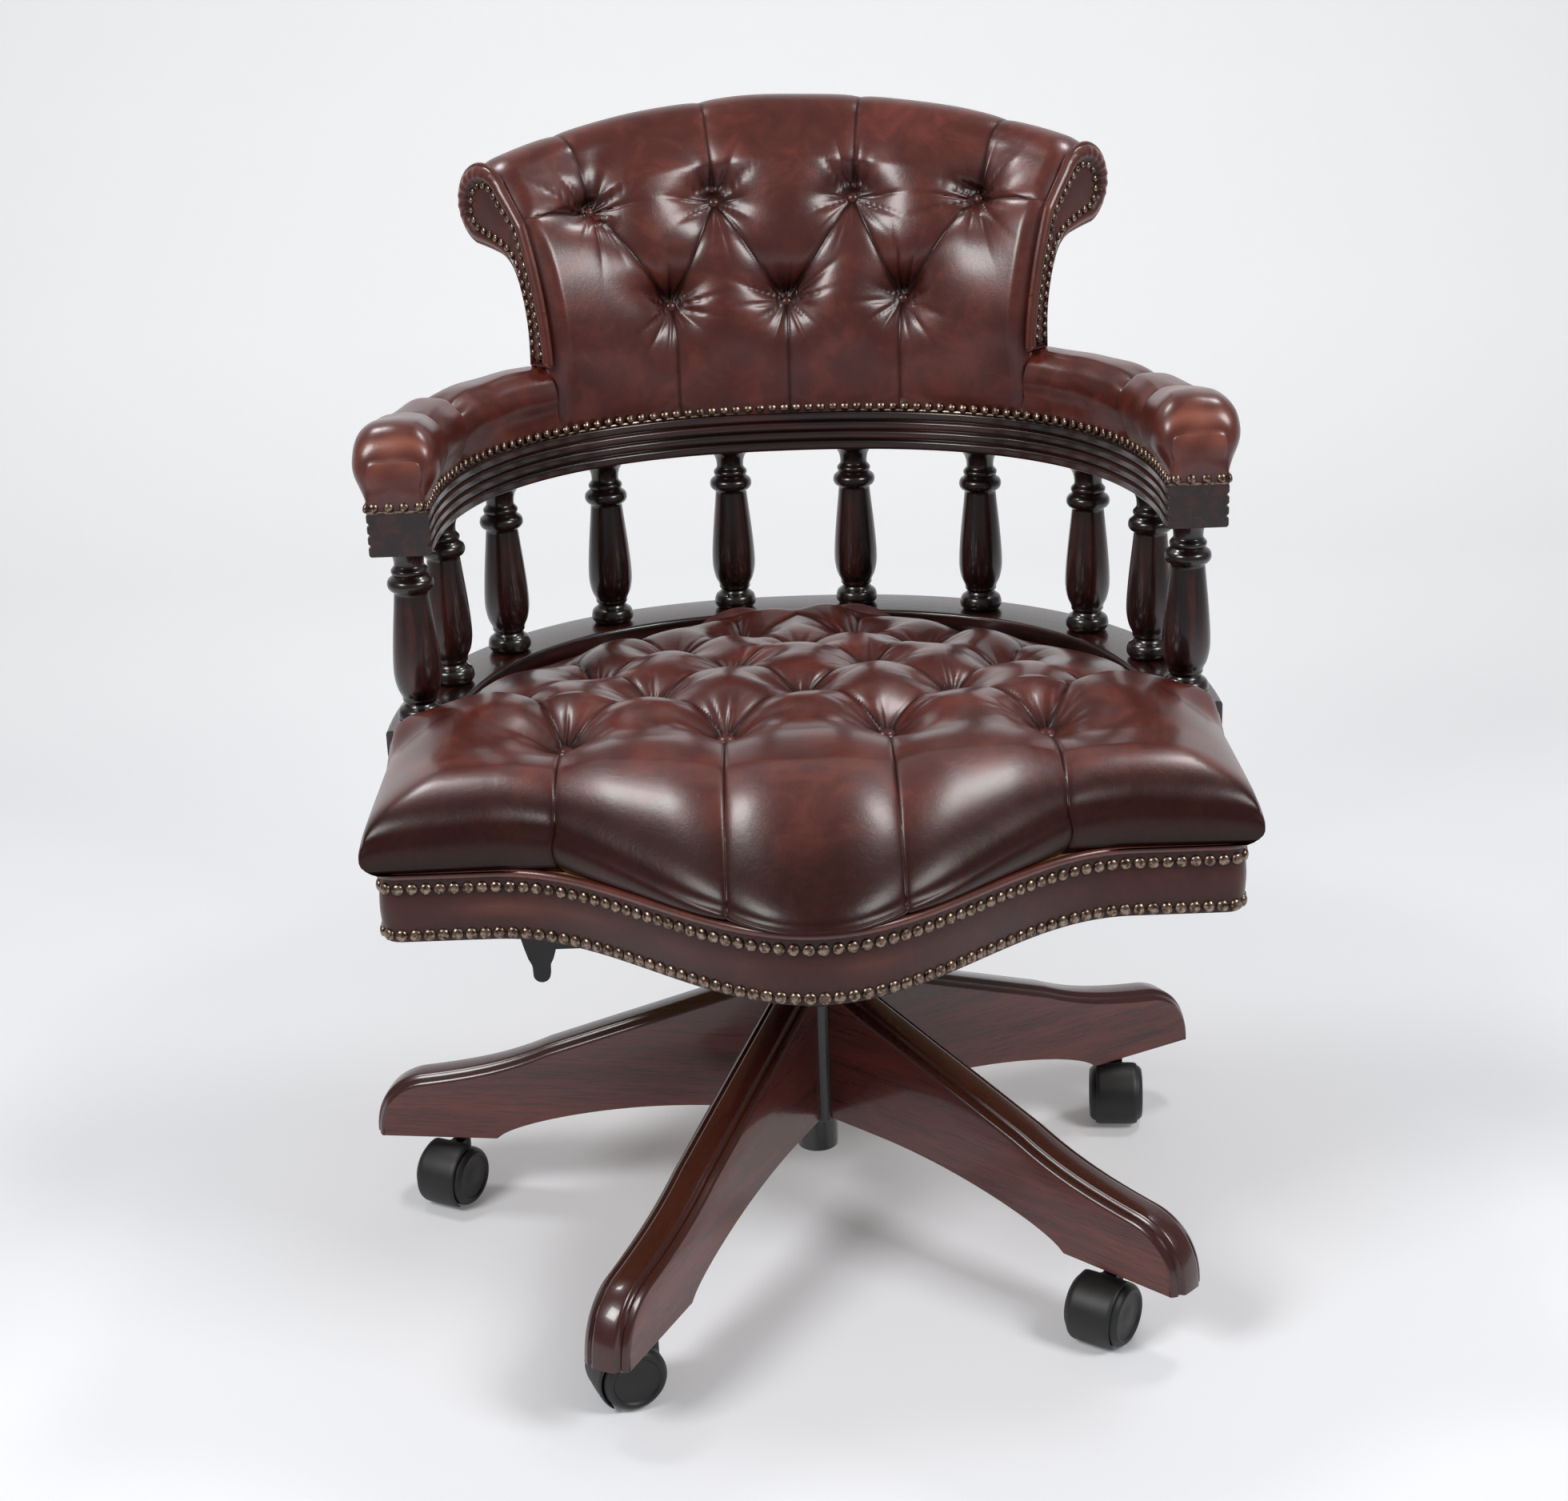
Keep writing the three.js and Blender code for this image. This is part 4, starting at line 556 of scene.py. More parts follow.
@dataclass(frozen=True)
class Mahogany:
    """Mahogany stained dark and lacquered to a full gloss.

    The staining hides most of the grain, and the lacquer gives crisp narrow reflections
    along each moulding. The quirks, grooves and beads are darkened, partly a shading
    lacquer and partly painted shade.
    """

    name: str = "lacquered_mahogany"
    heart: str = "#230B08"
    streak: str = "#3C150F"
    dark: str = "#0E0505"
    stain_and_shade: str = "#0E0505"
    # Ribbon figure runs in bands some 9 mm wide, and pores are drawn 1.2 mm wide.
    band_mm: float = 9.0
    pore_mm: float = 1.2
    roughness: float = 0.26

    def build(self) -> Material:
        """Makes the lacquered wood."""
        g = Graph(self.name)
        grain = g.add("Attribute", {"attribute_name": "grain"}).outputs["Vector"]
        shade = g.add("Attribute", {"attribute_name": "shade"}).outputs["Fac"]
        figure, pores = (
            g.add("TexNoise", {"Scale": 1.0, **noise}, {"Vector": g.add(
                "Mapping", {"Scale": (1 / (mm * stretch), 1 / mm, 1 / mm)}, {"Vector": grain})})
            for mm, stretch, noise in (
                (self.band_mm, 16, {"Detail": 5.0, "Distortion": 0.7}),
                (self.pore_mm, 22, {"Detail": 3.0, "Roughness": 0.6})))
        stops = [(0.32, self.dark), (0.5, self.heart), (0.68, self.streak)]
        tone = g.add("ValToRGB", {"stops": stops}, {0: figure})
        pore_dark = g.add("ValToRGB", {"stops": [(0.36, "#5F5F5F"), (0.5, "#FFFFFF")]}, {0: pores})
        wood = g.add("Mix", {"data_type": "RGBA", "blend_type": "MULTIPLY", 0: 0.6}, {6: tone, 7: pore_dark})
        # Painted shade, partly a shading lacquer: the shade attribute darkens quirks, grooves and beads.
        toned_and_shaded = g.add("Mix", {"data_type": "RGBA", 7: linear(self.stain_and_shade)}, {0: shade, 6: wood.outputs[2]})
        wavy = g.add("MapRange", {3: self.roughness - 0.04, 4: self.roughness + 0.08}, {0: figure})
        bump = g.add("Bump", {"Strength": 0.12, "Distance": 0.2 * MM}, {"Height": pores})
        g.feed(Base_Color=toned_and_shaded.outputs[2], Roughness=wavy, Normal=bump)
        g.set(IOR=1.48, Coat_Weight=0.45, Coat_Roughness=0.09, Coat_IOR=1.5)
        return g.owner


@dataclass(frozen=True)
class PlainTimber:
    """Planed beech or ply that is never seen from the front: pale, dry and matt."""

    name: str = "planed_beech"
    pale: str = "#B48F63"
    dark: str = "#94704A"
    ring_mm: float = 6.0

    def build(self) -> Material:
        """Makes the bare wood."""
        g = Graph(self.name)
        place = g.add("TexCoord").outputs["Object"]
        scale = (1 / (self.ring_mm * 14 * MM), 1 / (self.ring_mm * MM), 60.0)
        long_grain = g.add("Mapping", {"Scale": scale}, {"Vector": place})
        noise = {"Scale": 1.0, "Detail": 6.0, "Distortion": 0.8}
        rings = g.add("TexNoise", noise, {"Vector": long_grain})
        g.feed(Base_Color=g.add("ValToRGB", {"stops": [(0.35, self.dark), (0.62, self.pale)]}, {0: rings}),
               Normal=g.add("Bump", {"Strength": 0.2, "Distance": 0.3 * MM}, {"Height": rings}))
        g.set(Roughness=0.72)
        return g.owner


@dataclass(frozen=True)
class Metal:
    """A metal part: how it looks depends on its plating and on how it was worked.

    Attributes:
        name: The finish's name.
        bright: Colour of the bare metal.
        dull: Colour where it is tarnished or oily.
        roughness: Average roughness.
        patch_mm: Size of the dull patches.
        metallic: 1 for bare metal, 0 for paint.
        coat: Weight of a clear or stoved layer.
    """

    name: str
    bright: str
    dull: str
    roughness: float
    patch_mm: float
    metallic: float = 1.0
    coat: float = 0.0

    def build(self) -> Material:
        """Makes the metal."""
        g = Graph(self.name)
        place = g.add("TexCoord").outputs["Object"]
        noise = {"Scale": 1 / (self.patch_mm * MM), "Detail": 5.0, "Roughness": 0.6}
        patches = g.add("TexNoise", noise, {"Vector": place})
        worked = {3: self.roughness * 1.3, 4: self.roughness * 0.8}
        g.feed(Base_Color=g.add("ValToRGB", {"stops": [(0.38, self.dull), (0.6, self.bright)]}, {0: patches}),
               Roughness=g.add("MapRange", worked, {0: patches}),
               Normal=g.add("Bump", {"Strength": 0.08, "Distance": 0.1 * MM}, {"Height": patches}))
        g.set(Metallic=self.metallic, Coat_Weight=self.coat, Coat_Roughness=0.08)
        return g.owner


@dataclass(frozen=True)
class MouldedNylon:
    """Glass-filled nylon from a sparked mould: black, satin, with a fine grain."""

    name: str = "moulded_nylon"
    colour: str = "#090A0A"
    dusty: str = "#131415"
    grit_mm: float = 1.4
    roughness: float = 0.42
    dust_mm: float = 15.0

    def build(self) -> Material:
        """Makes the plastic."""
        g = Graph(self.name)
        place = {"Vector": g.add("TexCoord").outputs["Object"]}
        grit = g.add("TexNoise", {"Scale": 1 / (self.grit_mm * MM), "Detail": 2.0}, place)
        dust = g.add("TexNoise", {"Scale": 1 / (self.dust_mm * MM), "Detail": 5.0}, place)
        worked = {3: self.roughness, 4: self.roughness + 0.15}
        g.feed(Base_Color=g.add("ValToRGB", {"stops": [(0.4, self.colour), (0.75, self.dusty)]}, {0: dust}),
               Roughness=g.add("MapRange", worked, {0: dust}),
               Normal=g.add("Bump", {"Strength": 0.15, "Distance": 0.15 * MM}, {"Height": grit}))
        g.set(IOR=1.53)
        return g.owner


class Finishes:
    """Every finish on the chair, made once."""

    def __init__(self) -> None:
        """Makes the materials."""
        self.hide = AntiquedHide().build()
        self.mahogany = Mahogany().build()
        # The legs' wood is lighter and redder than the gallery's: partly the ribbon figure on their flat
        # sides, partly a painted reflection of the pale floor.
        self.leg_wood = Mahogany(
            "stained_mahogany_legs", "#57241C", "#632B21", "#451A13", "#34100B", 14.0).build()
        self.ebonised = Mahogany("ebonised_mahogany", "#120808", "#1B0C0A", "#090404", "#090404").build()
        self.beech = PlainTimber().build()
        self.ply = PlainTimber("birch_ply", "#B89468", "#9C7A52", 8.0).build()
        # Brass nails, bronzed in a dip: warm brown in the hollows, pale where rubbed.
        self.nails = Metal("bronzed_brass", "#9A8576", "#43352C", 0.3, 3.0).build()
        # Steel tube, stoved black: a hard gloss that shows the room.
        self.enamel = Metal("stoved_steel", "#101112", "#0B0C0C", 0.25, 40.0, 0.0, 0.5).build()
        # Piston rod and cylinder: hard chrome, ground and polished.
        self.chrome = Metal("ground_chrome", "#C9CBCE", "#A9ABAE", 0.12, 30.0).build()
        # Pins, clip and spring: bright zinc, slightly clouded.
        self.zinc = Metal("bright_zinc", "#B9BAB6", "#8E8F8B", 0.34, 6.0).build()
        self.nylon = MouldedNylon().build()
        self.acetal = MouldedNylon("acetal_bush", "#1B1B1C", "#262627", 2.0, 0.5).build()


# Shared lines


@dataclass(frozen=True)
class Hoop:
    """Plan line of the gallery: straight arms that run into a full curve behind.

    Attributes:
        front_y: Where the arms end.
        half_width: Half the distance between the arms.
        depth: How far the curve reaches behind its centre.
        centre_y: Where the arms run into the curve.
        power: Squareness of the curve, 2 for an ellipse.
    """

    front_y: float
    half_width: float = 280.0
    depth: float = 284.0
    centre_y: float = 10.0
    power: float = 2.27

    def curve(self, angle: Array, offset: float = 0.0) -> Array:
        """Gives points on the curved part, moved outwards by an offset."""
        cosine, sine = np.cos(angle), np.maximum(0, np.sin(angle))
        x = (self.half_width + offset) * np.sign(cosine) * np.abs(cosine) ** (2 / self.power)
        y = self.centre_y + (self.depth + offset) * sine ** (2 / self.power)
        return np.stack([x, y], -1)

    def half_width_at(self, y: Array, offset: float) -> Array:
        """Gives half the width at y of the line moved outwards by an offset."""
        rise = np.clip(np.maximum(0, y - self.centre_y) / (self.depth + offset), 0, 1)
        return (self.half_width + offset) * (1 - rise**self.power) ** (1 / self.power)

    def line(self) -> Array:
        """Gives dense points from the right arm's front end to the left one's."""
        straight = np.linspace(self.front_y, self.centre_y, 60, endpoint=False)
        curve = self.curve(np.linspace(0, math.pi, 1500))
        right = np.stack([np.full(60, self.half_width), straight], -1)
        return np.vstack([right, curve, right[::-1] * [-1, 1]])

    def length(self) -> float:
        """Gives the whole length of the line."""
        return float(run_of(self.line())[-1])

    def frames(self, distances: Array) -> tuple[Array, Array]:
        """Gives places on the line.

        Args:
            distances: How far along the line from the right arm's front end.

        Returns:
            The points in plan, and the directions that point outwards there.
        """
        line = self.line()
        points, ahead, behind = (on_line(line, distances + step) for step in (0, 1.5, -1.5))
        return points, clockwise(unit(ahead - behind))

    def distance_at(self, x: float) -> float:
        """Gives how far along the line its right half passes x."""
        line = self.line()
        half = len(line) // 2
        return float(np.interp(-x, -line[:half, 0], run_of(line)[:half]))

    def sweep(self, distances: Array, sections: Array) -> Array:
        """Places sections along the line.

        Args:
            distances: Where each section stands.
            sections: For each place, points as outward distance and height.

        Returns:
            The rings of points.
        """
        points, out = self.frames(distances)
        plan = points[:, None, :] + sections[..., :1] * out[:, None, :]
        return np.concatenate([plan, sections[..., 1:]], -1)


@dataclass(frozen=True)
class SeatPlan:
    """Outline of the seat: a swept front edge, short sides and a hooped back."""

    front_y: float = -171.0
    apex_y: float = -294.0
    apex_span: float = 215.0
    half_width: float = 292.0
    corner: float = 14.0
    hoop: Hoop = Hoop(0.0)

    def front(self, x: Array) -> Array:
        """Gives the front edge's y at x."""
        t = np.minimum(1, np.abs(x) / self.apex_span)
        return self.front_y + (self.apex_y - self.front_y) * 0.5 * (1 + np.cos(math.pi * t))

    def outline(self, inset: float, step: float) -> Array:
        """Gives the closed outline.

        Args:
            inset: How far it lies inside the leather band's face.
            step: Distance between its points.

        Returns:
            Points in plan, evenly spaced.
        """
        half, r = self.half_width - inset, self.corner
        x = np.linspace(-(half - r), half - r, 200)
        turn = np.radians(np.linspace(80, 10, 8))
        right = np.stack([half - r + r * np.cos(turn), self.front_y + inset + r - r * np.sin(turn)], -1)
        back = self.hoop.curve(np.linspace(0, math.pi, 600), half - self.hoop.half_width)
        front = columns(x, self.front(x) + inset)
        closed = np.vstack([front, right, back, right[::-1] * [-1, 1], front[:1]])
        return evenly(closed, round(run_of(closed)[-1] / step) + 1)[:-1]


@dataclass(frozen=True)
class Levels:
    """Heights and places that several sub-assemblies share."""

    seat_base: float = 304.0
    frame_top: float = 354.0
    rail_top: float = 395.0
    bow: float = 530.0
    bow_top: float = 561.0
    bow_front: float = -14.0
    rail_front: float = 4.0
    fit: float = 0.3

    @property
    def bow_rest(self) -> float:
        """Height at which the upholstery rests on the bow."""
        return self.bow_top + self.fit


LEVELS = Levels()
PLAN = SeatPlan()
BOW = Hoop(LEVELS.bow_front)
RAIL = Hoop(LEVELS.rail_front)


@dataclass(frozen=True)
class Pleat:
    """A fold in buttoned leather, between two places on its flat pattern.

    Attributes:
        start: One end.
        end: The other end.
        depth: How deep it is folded in.
        reach: How far from the fold the leather is full again.
        mark: How dark the painted shade is in the fold, from 0 to 1.
    """

    start: tuple[float, float]
    end: tuple[float, float]
    depth: float
    reach: float
    mark: float = 0.8

    def distance(self, p: Array) -> Array:
        """Gives how far points on the flat pattern are from the fold."""
        a, b = np.array(self.start), np.array(self.end)
        d = b - a
        t = np.clip(((p - a) @ d) / (d @ d), 0, 1)
        return np.linalg.norm(p - a - t[:, None] * d, axis=1)


@dataclass
class Tufting:
    """Buttoned leather: how far each point is drawn in by buttons and folds.

    Attributes:
        buttons: The buttons' places on the flat pattern.
        pleats: The folds.
        pit: Depth of the pit round a button.
        pit_reach: How wide the pit is.
        sink: How far above the button the pit is deepest.
        dark_reach: How far the painted shade reaches round the button.
        pit_power: How broad the pit's shoulders are: 1 for a cone, 2 for a round hollow.
        gather: Depth of the creases that run into a button.
        gather_reach: How far those creases run.
        fan: How many creases run into a button.
        seed: Picks the pattern of unevenness.
    """

    buttons: Array
    pleats: list[Pleat]
    pit: float
    pit_reach: float
    sink: float = 0.0
    dark_reach: float = 14.0
    pit_power: float = 1.2
    gather: float = 1.6
    gather_reach: float = 26.0
    fan: int = 11
    seed: int = 1

    def creases(self, gap: Array, near: Array) -> Array:
        """Works out the narrow creases that fan out from each button.

        Args:
            gap: Each point's offset from each button.
            near: Its distance from each button.

        Returns:
            How deep each point is in a crease, from 0 to 1.
        """
        button = np.arange(len(self.buttons))
        angle = np.arctan2(gap[..., 0], gap[..., 1])
        count = self.fan + 2 * (button % 2)
        ridge = np.abs(np.sin(0.5 * count * angle + 1.7 * button + 0.5 * np.sin(2 * angle + button)))
        length = self.gather_reach * (0.75 + 0.3 * np.sin(3 * angle + 2.3 * button))
        upward = 0.35 + 0.65 * (0.5 + 0.5 * np.cos(angle))
        return ((1 - ridge) ** 2.2 * bell(near, length) * smooth(near / 7) * upward).max(axis=1)

    def draw_in(self, p: Array) -> tuple[Array, Array]:
        """Works out the drawing in.

        Args:
            p: Points on the flat pattern, one per row.

        Returns:
            How far each is pulled in, and how dark its fold is, from 0 to 1.
        """
        away = p[:, None, :] - self.buttons[None]
        below = away - [0.0, self.sink]
        turn = np.arctan2(below[..., 1], below[..., 0]) + 2.3 * np.arange(len(self.buttons))
        low = np.linalg.norm(below, axis=2) * (1 + 0.13 * np.sin(3 * turn) + 0.07 * np.sin(5 * turn + 1))
        # Pits of neighbouring buttons melt into each other too.
        dimple = self.pit * (1 - np.prod(1 - np.exp(-((low / self.pit_reach) ** self.pit_power)), axis=1))
        # Hollows of neighbouring folds melt into each other, so each puff is one round pillow.
        deepest = max(pleat.depth for pleat in self.pleats)
        full, sharp, line = np.ones(len(p)), np.zeros(len(p)), np.zeros(len(p))
        for pleat in self.pleats:
            distance = pleat.distance(p)
            full *= 1 - 0.82 * pleat.depth / deepest * np.exp(-distance / (0.42 * pleat.reach))
            sharp = np.maximum(sharp, 0.16 * pleat.depth * np.exp(-distance / 2.0))
            line = np.maximum(line, pleat.mark * bell(distance, 1.7))
        creases = self.creases(away, np.linalg.norm(away, axis=2))
        fold = deepest * (1 - full) + sharp
        pull = np.maximum(dimple, 0.75 * fold + 0.8 * dimple) + 0.25 * fold + self.gather * creases
        pull += 0.7 * waver(p, 90, self.seed)
        # Painted shade: the folds, the pits and the creases round the buttons are darkened.
        return pull, np.clip(line + 0.95 * bell(low.min(axis=1), self.dark_reach) + 0.5 * creases, 0, 1)


# Small parts


@dataclass(frozen=True)
class ButtonShape:
    """A leather-covered button with its rim tucked into the pit."""

    radius: float = 7.4
    height: float = 4.6

    def shape(self) -> Shape:
        """Makes a button that looks up the Z axis."""
        angles = np.linspace(0.2, math.pi / 2, 7)
        dome = columns(self.radius * np.sin(angles), self.height * np.cos(angles))
        made = turned([(0.0, self.height), *dome, (self.radius * 0.92, -1.6), (self.radius * 0.6, -2.6)], 20)
        # Painted shade: the button is darkened, most on its lower side and rim down in the pit.
        made.shade = 0.3 + 0.6 * smooth((self.height * 0.7 - made.points[:, 2]) / self.height)
        return made


@dataclass(frozen=True)
class NailShape:
    """A domed upholstery nail."""

    radius: float = 4.5
    height: float = 2.7

    def shape(self) -> Shape:
        """Makes a nail head that looks up the Z axis."""
        angles = np.linspace(0.12, math.pi / 2 - 0.02, 4)
        dome = columns(self.radius * np.sin(angles), self.height * np.cos(angles) ** 0.8)
        return turned([*dome, (self.radius * 0.97, -0.5)], 10)


def set_facing(shape: Shape, places: Sequence | Array, normals: Sequence | Array) -> Shape:
    """Sets a copy of a small part at each place.

    Args:
        shape: The part, looking up the Z axis.
        places: Where its foot goes.
        normals: The way it looks at each place.

    Returns:
        All copies in one shape.
    """
    copies = []
    for place, normal in zip(places, normals):
        turn = Vector(normal).to_track_quat("Z", "Y").to_matrix().to_4x4()
        turn.translation = Vector(place)
        copies.append(shape.moved(turn))
    return joined(copies)


def spaced(path: Array, pitch: float, loop: bool = False) -> Array:
    """Marks out nails along a path.

    Args:
        path: Points on the path.
        pitch: Distance between two nails.
        loop: Whether the path closes on itself.

    Returns:
        The nails' places.
    """
    line = np.vstack([path, path[:1]]) if loop else path
    length = run_of(line)[-1]
    at = np.linspace(0, length, max(2, round(length / pitch)) + 1)
    return on_line(line, at[:-1] if loop else at)


# Seat


@dataclass
class SeatCushion:
    """Deep-buttoned seat cushion that rolls over its front edge.

    The grid follows the buttons: `u` counts half pitches across the seat and `row`
    counts rows of buttons from the front one.
    """

    finishes: Finishes
    overhang: float = 6.0
    shoulder: float = 55.0
    crown: float = 73.0
    back_edge: float = 33.0
    row_a_y: float = -55.0
    row_pitch: float = 91.0
    row_closing: float = 6.2
    pitch_front: float = 56.5
    pitch_back: float = 47.0
    lattice_u: float = 3.0
    edge_u: float = 5.3
    last_row: int = 4
    inside_rail: float = -24.5
    roll_reach: float = 42.0
    roll_gain: float = 0.68
    roll_drop: float = 30.0
    roll_drop_mid: float = 62.0
    side_reach: float = 52.0
    side_drop: float = 27.0
    pleat_depth: float = 15.0
    pleat_reach: float = 41.0
    seam_depth: float = 5.0
    seam_reach: float = 40.0
    fill: float = 12.0
    face_shade: float = 0.85
    rows: tuple[tuple[int, tuple[int, ...]], ...] = (
        (0, (-3, -1, 1, 3)),
        (1, (-2, 0, 2)),
        (2, (-3, -1, 1, 3)),
        (3, (-2, 0, 2)),
        (4, (-1, 1)),
    )
    tufting: Tufting = field(init=False)

    def __post_init__(self) -> None:
        """Marks out the buttons and folds."""
        self.back_y = RAIL.centre_y + RAIL.depth + self.inside_rail - 2
        spots = [(u, row) for row, across in self.rows for u in across]
        pleats = [
            Pleat(self.spot(u, row), self.spot(u + side, row + step), self.pleat_depth, self.pleat_reach)
            for u, row in spots for side in (-1, 1) for step in (1, -1) if row + step >= 0]
        buttons = np.array([self.spot(u, row) for u, row in spots])
        self.tufting = Tufting(
            buttons, pleats, pit=28.0, pit_reach=33.0, dark_reach=13.0, pit_power=1.45, gather=2.2,
            gather_reach=34.0, seed=3)

    def row_y(self, row: Array) -> Array:
        """Gives a row's y. Rows draw together towards the back."""
        steady = np.minimum(row, self.last_row)
        y = self.row_a_y + self.row_pitch * steady - self.row_closing * steady**2
        return y + (row - steady) * (self.row_pitch / 2)

    def half_width(self, y: Array) -> Array:
        """Gives half the cushion's width at y: full in front of the rail, inside it behind."""
        inside = RAIL.half_width_at(y, self.inside_rail)
        return mix(PLAN.half_width + self.overhang, inside, smooth((y - (RAIL.front_y - 7)) / 6))

    def edge_y(self, x: Array) -> Array:
        """Gives the y of the cushion's front edge at x."""
        return PLAN.front(x) - self.overhang * 0.8

    def grid(self, u: Array, row: Array) -> Array:
        """Gives the plan places of lattice points."""
        row = np.asarray(row, float)
        inner = np.minimum(np.abs(u), self.lattice_u)
        outer = (np.abs(u) - inner) / (self.edge_u - self.lattice_u)
        y = np.minimum(self.back_y, self.row_y(np.maximum(0, row)))
        wide = self.half_width(y)
        pitch = np.minimum(mix(self.pitch_front, self.pitch_back, smooth(row / self.last_row)), wide / 4)
        x = np.sign(u) * mix(pitch * inner, wide, outer)
        return np.stack([x, np.where(row < 0, mix(y, self.edge_y(x), -row), y)], -1)

    def spot(self, u: float, row: float) -> tuple[float, float]:
        """Gives the plan place of one lattice point."""
        x, y = self.grid(np.array([float(u)]), np.array([float(row)]))[0]
        return float(x), float(y)

    def dome(self, x: Array, y: Array) -> Array:
        """Gives the height of the stuffed top before it is buttoned."""
        frontness = smooth((PLAN.front(x) + 130 - y) / 130)
        edge = np.minimum(1, np.abs(x) / self.half_width(np.minimum(y, self.back_y - 12)))
        back = smooth((y - self.row_a_y) / (self.back_y - self.row_a_y))
        crown = mix(self.crown, self.shoulder, frontness * 0.4)
        drop = (crown - mix(self.shoulder, self.back_edge, back)) * edge**2.4
        return LEVELS.frame_top + crown - drop - 10 * back**2

    def front_reach(self, x: Array) -> Array:
        """Gives how far behind the front edge its roll starts: further where the edge bows out."""
        return self.roll_reach + self.roll_gain * (PLAN.front_y - PLAN.front(x))

    def roll(self, x: Array, y: Array) -> Array:
        """Gives how far the top has dropped where it rolls over an edge."""
        beside_rail = smooth((y - (RAIL.front_y - 40)) / 40)
        bow = (PLAN.front_y - PLAN.front(x)) / (PLAN.front_y - PLAN.apex_y)

        def over(gap: Array, reach: Reals, drop: Reals, slope: Reals = 0.0) -> Array:
            """Drops steadily by the slope's share, and in a round curve by the rest."""
            t = np.clip(1 - gap / reach, 0, 1)
            return drop * (slope * t**1.35 + (1 - slope) * (1 - np.sqrt(np.maximum(0, 1 - t**2.1))))

        front_drop = mix(self.roll_drop, self.roll_drop_mid, bow)
        ahead = over(y - self.edge_y(x), self.front_reach(x), front_drop, 0.35 + 0.25 * bow)
        side_reach, side_drop = (mix(most, 12.0, beside_rail) for most in (self.side_reach, self.side_drop))
        beside = over(self.half_width(y) - np.abs(x), side_reach, side_drop, 0.4)
        behind = over((self.back_y - y) + 1e-3, 12.0, 12.0)
        # Where the front meets a side, the leather is folded to a soft upright corner.
        return np.maximum(mix(np.maximum(ahead, beside), np.hypot(ahead, beside), 0.55), behind)

    def front_seams(self, x: Array, y: Array) -> tuple[Array, Array]:
        """Works out the seams that run from the front buttons over the roll to the band.

        Args:
            x: Places across the seat.
            y: Places along the seat.

        Returns:
            How far each point is drawn in, and how dark it is, from 0 to 1.
        """
        seams = self.pitch_front * np.array([1.0, 3.0])
        gap = np.abs(np.abs(x)[:, None] - seams).min(axis=1)
        run = smooth((self.row_a_y - y) / 16)
        pull = self.seam_depth * np.maximum(0, 1 - gap / self.seam_reach) ** 2 + 1.5 * np.exp(-gap / 1.1)
        # Painted shade: a thin dark line along each seam.
        return run * pull, 0.8 * run * bell(gap, 1.3)

    def top(self, p: Array) -> tuple[Array, Array]:
        """Gives height and darkness of points in plan."""
        x, y = p.T
        pull, dark = self.tufting.draw_in(p)
        side = self.half_width(y) - np.abs(x)
        calm = smooth(np.minimum(y - self.edge_y(x), side) / 22)
        # Stuffing lifts the puffs between the buttons, though not the smooth front and sides.
        room = smooth((side - 8) / 70) * smooth((self.back_y - y) / 120)
        stuffed = self.fill * smooth((y - self.row_a_y + 50) / 70) * room
        return self.dome(x, y) - mix(0.12 * pull, pull, calm) + stuffed - self.roll(x, y), dark

    def steps(self) -> tuple[Array, Array]:
        """Gives the grid's places across and its rows, closer together at the edges and seams."""
        behind = np.linspace(4, 8, 200)
        last = float(np.interp(self.back_y, self.row_y(behind), behind))
        rows = np.concatenate([
            -1 + np.array([0.0, 0.004, 0.012, 0.025, 0.045, 0.07, 0.10, 0.135, 0.175, 0.22, 0.27, 0.32]),
            np.linspace(-0.65, 0, 62)[:-1], np.linspace(0, last - 0.16, 166),
            last - np.array([0.13, 0.1, 0.075, 0.05, 0.03, 0.015, 0.004, 0.0])])
        inner = np.linspace(0, self.edge_u - 0.62, 140)
        for seam in (1, 3):
            beside_seam = seam + np.array([-0.055, -0.032, -0.016, 0.0, 0.016, 0.032, 0.055])
            inner = np.concatenate([inner[np.abs(inner - seam) > 0.07], beside_seam])
        outer = np.array([0.56, 0.48, 0.4, 0.33, 0.26, 0.2, 0.15, 0.1, 0.065, 0.035, 0.012, 0.0])
        half = np.concatenate([np.sort(inner), self.edge_u - outer])
        return np.concatenate([-half[:0:-1], half]), rows

    def shape(self) -> Shape:
        """Makes the cushion: its top, and a skirt that tucks in behind the band."""
        u, row = np.meshgrid(*self.steps())
        plan = self.grid(u.ravel(), row.ravel())
        z, dark = self.top(plan)
        seam_pull, seam_dark = self.front_seams(*plan.T)
        fall = np.clip(1 - (plan[:, 1] - self.edge_y(plan[:, 0])) / self.front_reach(plan[:, 0]), 0, 1)
        upright = fall**2
        z -= seam_pull * (1 - upright)
        plan[:, 1] += seam_pull * upright
